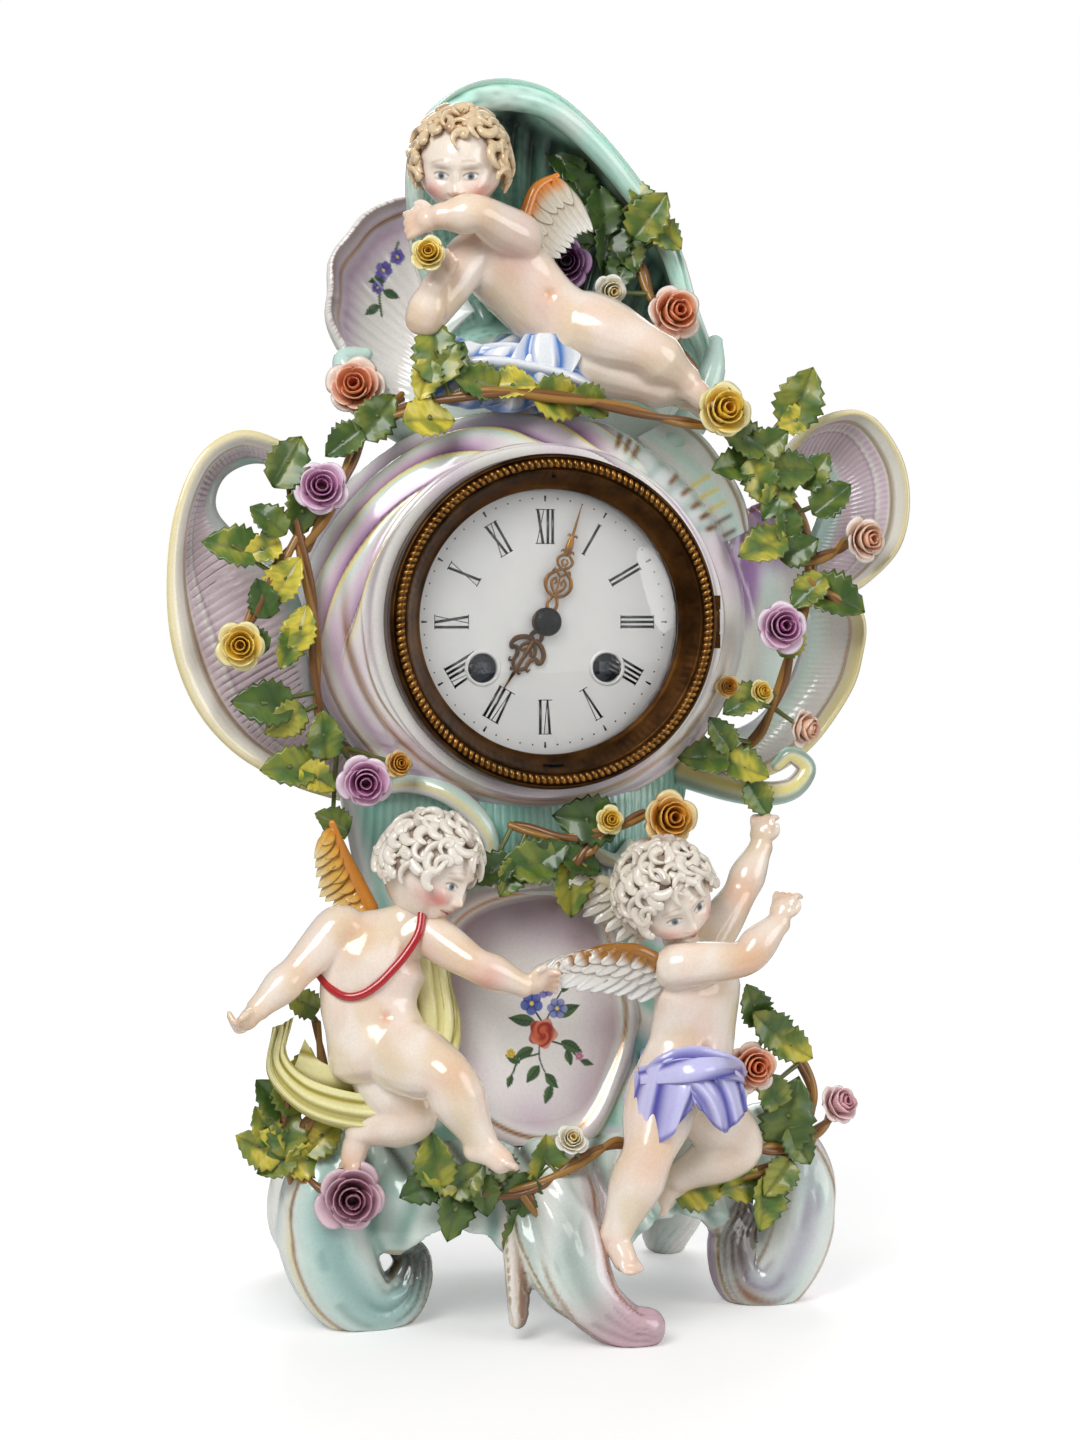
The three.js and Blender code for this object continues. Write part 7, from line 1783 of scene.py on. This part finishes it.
def numeralStrokes(word):
    # thick and thin strokes of one numeral, centred, with hairline serifs at foot and head
    low, high = dialMade["numerals"]
    thick, hair, gap = dialMade["stroke"], dialMade["hair"], dialMade["gap"]
    wide = {"I": thick, "V": 2.7, "X": 2.9}
    total = sum(wide[c] for c in word) + gap * (len(word) - 1)
    at = -total / 2
    strokes = []
    for c in word:
        w = wide[c]
        if c == "I":
            strokes.append([(at, low), (at + w, low), (at + w, high), (at, high)])
        if c == "V":
            foot = at + w / 2
            strokes.append([(foot - hair, low), (foot + thick * 0.4, low), (at + thick, high), (at, high)])
            strokes.append([(foot, low), (foot + hair, low), (at + w, high), (at + w - hair, high)])
        if c == "X":
            strokes.append([(at + w - thick, low), (at + w, low), (at + thick, high), (at, high)])
            strokes.append([(at, low), (at + hair, low), (at + w, high), (at + w - hair, high)])
        for level in (low, high - hair):
            strokes.append([(at - 0.3, level), (at + w + 0.3, level),
                (at + w + 0.3, level + hair), (at - 0.3, level + hair)])
        at += w + gap
    return strokes


def dialMarks():
    parts = []
    front = dialMade["front"]
    words = ["XII", "I", "II", "III", "IIII", "V", "VI", "VII", "VIII", "IX", "X", "XI"]
    for hour, word in enumerate(words):
        angle = hour * np.pi / 6
        for n, stroke in enumerate(numeralStrokes(word)):
            parts.append(slab(turnedBy(stroke, angle), front - 0.05 - 0.004 * (n % 5),
                front + 0.1, dialMade["ink"]))
    for minute in range(60):
        angle = minute * np.pi / 30
        r = dialMade["track"]
        if minute % 5 == 0:
            mark = [(-0.25, r - 1.2), (0.25, r - 1.2), (0.42, r + 0.9), (-0.42, r + 0.9)]
        else:
            mark = [(-0.36, r), (0, r - 0.36), (0.36, r), (0, r + 0.36)]
        parts.append(slab(turnedBy(mark, angle), front - 0.05, front + 0.1, dialMade["ink"]))
    return joined(parts)


def handWires(angle, y, wires):
    # flat wires bent in the plane of the hand: each has places along and across it, and half-widths
    parts = []
    for path, radii in wires:
        path = vec(path)
        for side in ((1, -1) if np.abs(path[:, 1]).max() > 0.05 else (1,)):
            flatPlace = turnedBy(np.stack([path[:, 1] * side, path[:, 0]], -1), np.radians(angle))
            line = np.stack([flatPlace[:, 0], np.full(len(path), y), flatPlace[:, 1]], -1)
            parts.append(tube(line, radii, 10, 34, flat=0.5, start=(0, 1, 0)))
    return parts


minuteWires = [
    ([(3, 0.9), (6, 1.7), (8.2, 1.2), (9.6, 0.5)], [0.8, 0.6, 0.6, 0.6]),
    ([(9.2, 0.6), (10.6, 3.2), (13.4, 4.6), (16.2, 3.9), (18.3, 1.6), (19.2, 0.5)],
        [0.7, 0.6, 0.75, 0.7, 0.55, 0.6]),
    ([(10.4, 0.3), (12.2, 1.9), (14.2, 2.6), (15.6, 1.6), (14.6, 0.9), (13.6, 1.3)],
        [0.5, 0.5, 0.5, 0.45, 0.4, 0.35]),
    ([(16.6, 0.2), (17.8, 1.6), (18.8, 2.6), (17.8, 3.2), (17.2, 2.6)], [0.5, 0.45, 0.4, 0.35, 0.3]),
    ([(19.2, 0.5), (20.6, 2.2), (22.4, 2.7), (23.8, 1.6), (24.8, 0.4)], [0.6, 0.5, 0.55, 0.5, 0.5]),
    ([(20.4, 0.3), (21.8, 1.1), (22.8, 0.4)], [0.4, 0.4, 0.3]),
    ([(24.4, 0.3), (25.8, 1.7), (25.2, 2.3)], [0.5, 0.4, 0.3]),
    ([(24.4, 0.0), (27, 0.0), (29.5, 0.0), (31.4, 0.0)], [0.7, 1.35, 1.1, 0.6]),
    ([(30.8, 0.2), (31.6, 1.3), (31.0, 1.7)], [0.45, 0.35, 0.25]),
    ([(31, 0.0), (36, 0.0), (42.6, 0.0)], [0.55, 0.42, 0.16]),
    ([(9.6, 0.0), (16.5, 0.0)], [0.45, 0.35]),
]
hourWires = [
    ([(4, 1.1), (6.4, 1.9), (7.4, 1.2), (8.2, 0.6)], [0.9, 0.8, 0.7, 0.7]),
    ([(7.6, 0.8), (8.2, 3.2), (10.2, 5.6), (12.8, 6.4), (14.0, 5.4), (13.2, 4.5)],
        [0.9, 0.9, 0.95, 0.8, 0.65, 0.5]),
    ([(13.4, 6.0), (13.0, 3.9), (15.0, 2.6), (17.6, 2.5), (19.2, 1.2), (19.8, 0.3)],
        [0.5, 0.75, 0.8, 0.75, 0.7, 0.6]),
    ([(8.6, 0.4), (10.4, 2.2), (12.2, 2.9), (12.8, 1.6), (11.6, 1.2)], [0.7, 0.7, 0.6, 0.5, 0.4]),
    ([(17.0, 2.2), (18.2, 3.7), (17.2, 4.2)], [0.55, 0.45, 0.35]),
    ([(8.2, 0.0), (13, 0.0), (19.8, 0.0)], [0.9, 0.8, 0.7]),
    ([(19.4, 0.2), (20.6, 1.5), (20.0, 2.0)], [0.5, 0.4, 0.3]),
    ([(19.6, 0.0), (23.4, 0.0), (28.4, 0.0)], [0.75, 0.5, 0.18]),
]
hourY, minuteY = -51.55, -53.15
piece("dialNumerals", dialMarks(), porcelain)
lips = [lathe(spline([(5.05, -48.6), (5.1, -50.1), (5.5, -50.62), (6.0, -50.6), (6.5, -50.22)], 16), 72,
    (x, 0, z), dialMade["enamel"]) for x, z in holes]
# a near-black lining inside each winding hole: painted shade where the hole runs back into the case
lips += [lathe([(5.12, -50.2), (5.0, -46), (5.0, -40)], 48, (x, 0, z), linear(0x0B0B0C)) for x, z in holes]
piece("dialHoleLips", lips, porcelain)
minuteHub = lathe(spline([(2.4, -52.8), (2.6, -53.5), (3.6, -53.5), (4.1, -53.1),
    (3.8, -52.8), (2.4, -52.8)], 20), 64)
piece("minuteHandScrolls", [minuteHub, *handWires(17, minuteY, minuteWires)], giltBrass, "minute_arbor",
    ["minute_hand"])
hourHub = lathe(spline([(3.4, -51.2), (3.6, -51.9), (4.6, -51.9), (5.0, -51.5), (4.8, -51.2), (3.4, -51.2)],
    20), 64)
piece("hourHandScrolls", [hourHub, *handWires(213, hourY, hourWires)], darkGilt, "hour_pipe",
    ["hour_hand"])
colletDome = spline([(0.02, -56.3), (1.6, -56.25), (3.4, -55.8), (4.7, -54.8), (5.0, -53.95),
    (4.4, -53.7), (0.02, -53.7)], 40)
piece("blackenedCollet", lathe(colletDome, 96), blackSteel, "minute_arbor", ["hand_collet"])

bezelMade = {"beads": 150, "ring": 54.5, "depth": -68.5, "ribs": 240, "rows": 104, "columns": 720}
outline = [(46.0, -57.2), (46.1, -58.7), (46.5, -59.4), (47.6, -60.4), (49.2, -62.6), (50.4, -64.4),
    (51.6, -66.6), (52.2, -67.2), (52.6, -67.0), (52.9, -67.5), (53.3, -68.6),
    (54.2, -69.2), (55.2, -69.0), (55.9, -68.0), (56.2, -67.2), (56.6, -67.6), (57.2, -67.4), (57.8, -66.2),
    (58.0, -64.4), (57.6, -63.0), (57.9, -61.6), (58.0, -58), (58.0, -55.0),
    (56, -54.85), (50, -54.85), (49.4, -55.4), (49.4, -56.9), (47, -57.0), (46.0, -57.2)]


def bezelRelief(t, a):
    # short cast ribs across the inner cone
    profile = spline(outline, bezelMade["rows"])
    cone = bump(profile[:, 0], 50.6, 1.4) * (profile[:, 1] < -61)
    rib = cone[:, None] * 0.22 * (0.5 + 0.5 * np.cos(bezelMade["ribs"] / 2 * a))
    return 0 * rib, -rib


def ropeBeads():
    # one leaning oval bead, repeated round the ring
    one = ball((0, 0, 0), (1.75, 0.95, 0.92), around=10, down=7)["points"].reshape(7, 10, 3)
    lean = np.radians(28)
    r, along, y = (one[..., 0] * np.cos(lean) + one[..., 2] * np.sin(lean),
        one[..., 2] * np.cos(lean) - one[..., 0] * np.sin(lean), one[..., 1])
    beads = []
    for a in fullTurn(bezelMade["beads"]):
        reach = bezelMade["ring"] + r
        points = np.stack([reach * np.sin(a) + along * np.cos(a), bezelMade["depth"] + y,
            dialZ + reach * np.cos(a) - along * np.sin(a)], -1)
        beads.append(gridPart(points, (1, 1, 1), aroundCols=True))
    return joined(beads)


piece("castBezel", lathe(spline(outline, bezelMade["rows"]), bezelMade["columns"], relief=bezelRelief),
    castBrass, "front_bezel", ["bezel"])
piece("ropeBeads", ropeBeads(), ropeBrass, "front_bezel")
pins = [ball((0, -64.3, dialZ + 50.2), (0.9, 0.8, 0.9), around=16, down=10),
    tube([(-3.4, -63.6, dialZ - 49.6), (0, -63.6, dialZ - 49.9), (3.4, -63.6, dialZ - 49.6)],
        [0.5, 0.75, 0.5], 10, 16)]
piece("bezelPins", pins, blackSteel, "front_bezel")
knuckle = [tube([(59.6, -57.2, dialZ - 3.4), (59.6, -57.2, dialZ + 3.4)], [2.15, 2.15], 24, 8),
    tube([(56.6, -57.6, dialZ - 2.4), (56.6, -57.6, dialZ + 2.4)], [2.3, 2.3], 12, 8)]
piece("bezelKnuckle", knuckle, castBrass, "front_bezel")
glassShape = spline([(0.02, -62.6), (16, -62.2), (32, -60.8), (44, -58.9), (48.6, -58.25), (48.9, -57.6),
    (48.6, -56.9), (44, -57.5), (32, -59.4), (16, -60.8), (0.02, -61.2)], 60)
piece("domedGlass", lathe(glassShape, 128), clearGlass, "front_bezel", ["bezel_glass"])
print("dial, hands and bezel")

# What the CAD solids keep showing: the case's inside, the movement and the back

bareGlaze = plainGlaze("unpaintedGlaze", 0xEFEEEA, 0xDDE2E2)
enamel = plainGlaze("firedDialEnamel", 0xF3F2EE, 0xE9E9E6, roughness=0.12)
finishes = {
    "bareGlaze": (bareGlaze, ["case_body"]),
    "enamel": (enamel, ["dial"]),
    "castBrass": (castBrass, ["dial_ring", "bezel_hinge", "back_ring", "back_door"]),
    "movementBrass": (movementBrass, ["cannon_pinion", "minute_wheel", "hour_wheel", "front_plate",
        "back_plate", "going_barrel", "second_wheel", "centre_wheel", "third_wheel",
        "escape_wheel", "suspension_cock", "pendulum_bob", "strike_barrel", "count_wheel_arbor", "pin_wheel",
        "fly", "bell", "left_strap", "right_strap"]),
    "workedSteel": (workedSteel, ["going_winding_arbor", "strike_winding_arbor", "pallets_and_crutch",
        "pendulum_rod", "bell_stand", "hammer"]),
}
for finish, nodes in finishes.values():
    for node in nodes:
        slots = bpy.data.objects[node].data.materials
        for n in range(len(slots)):
            slots[n] = finish
print("carried-over solids finished")
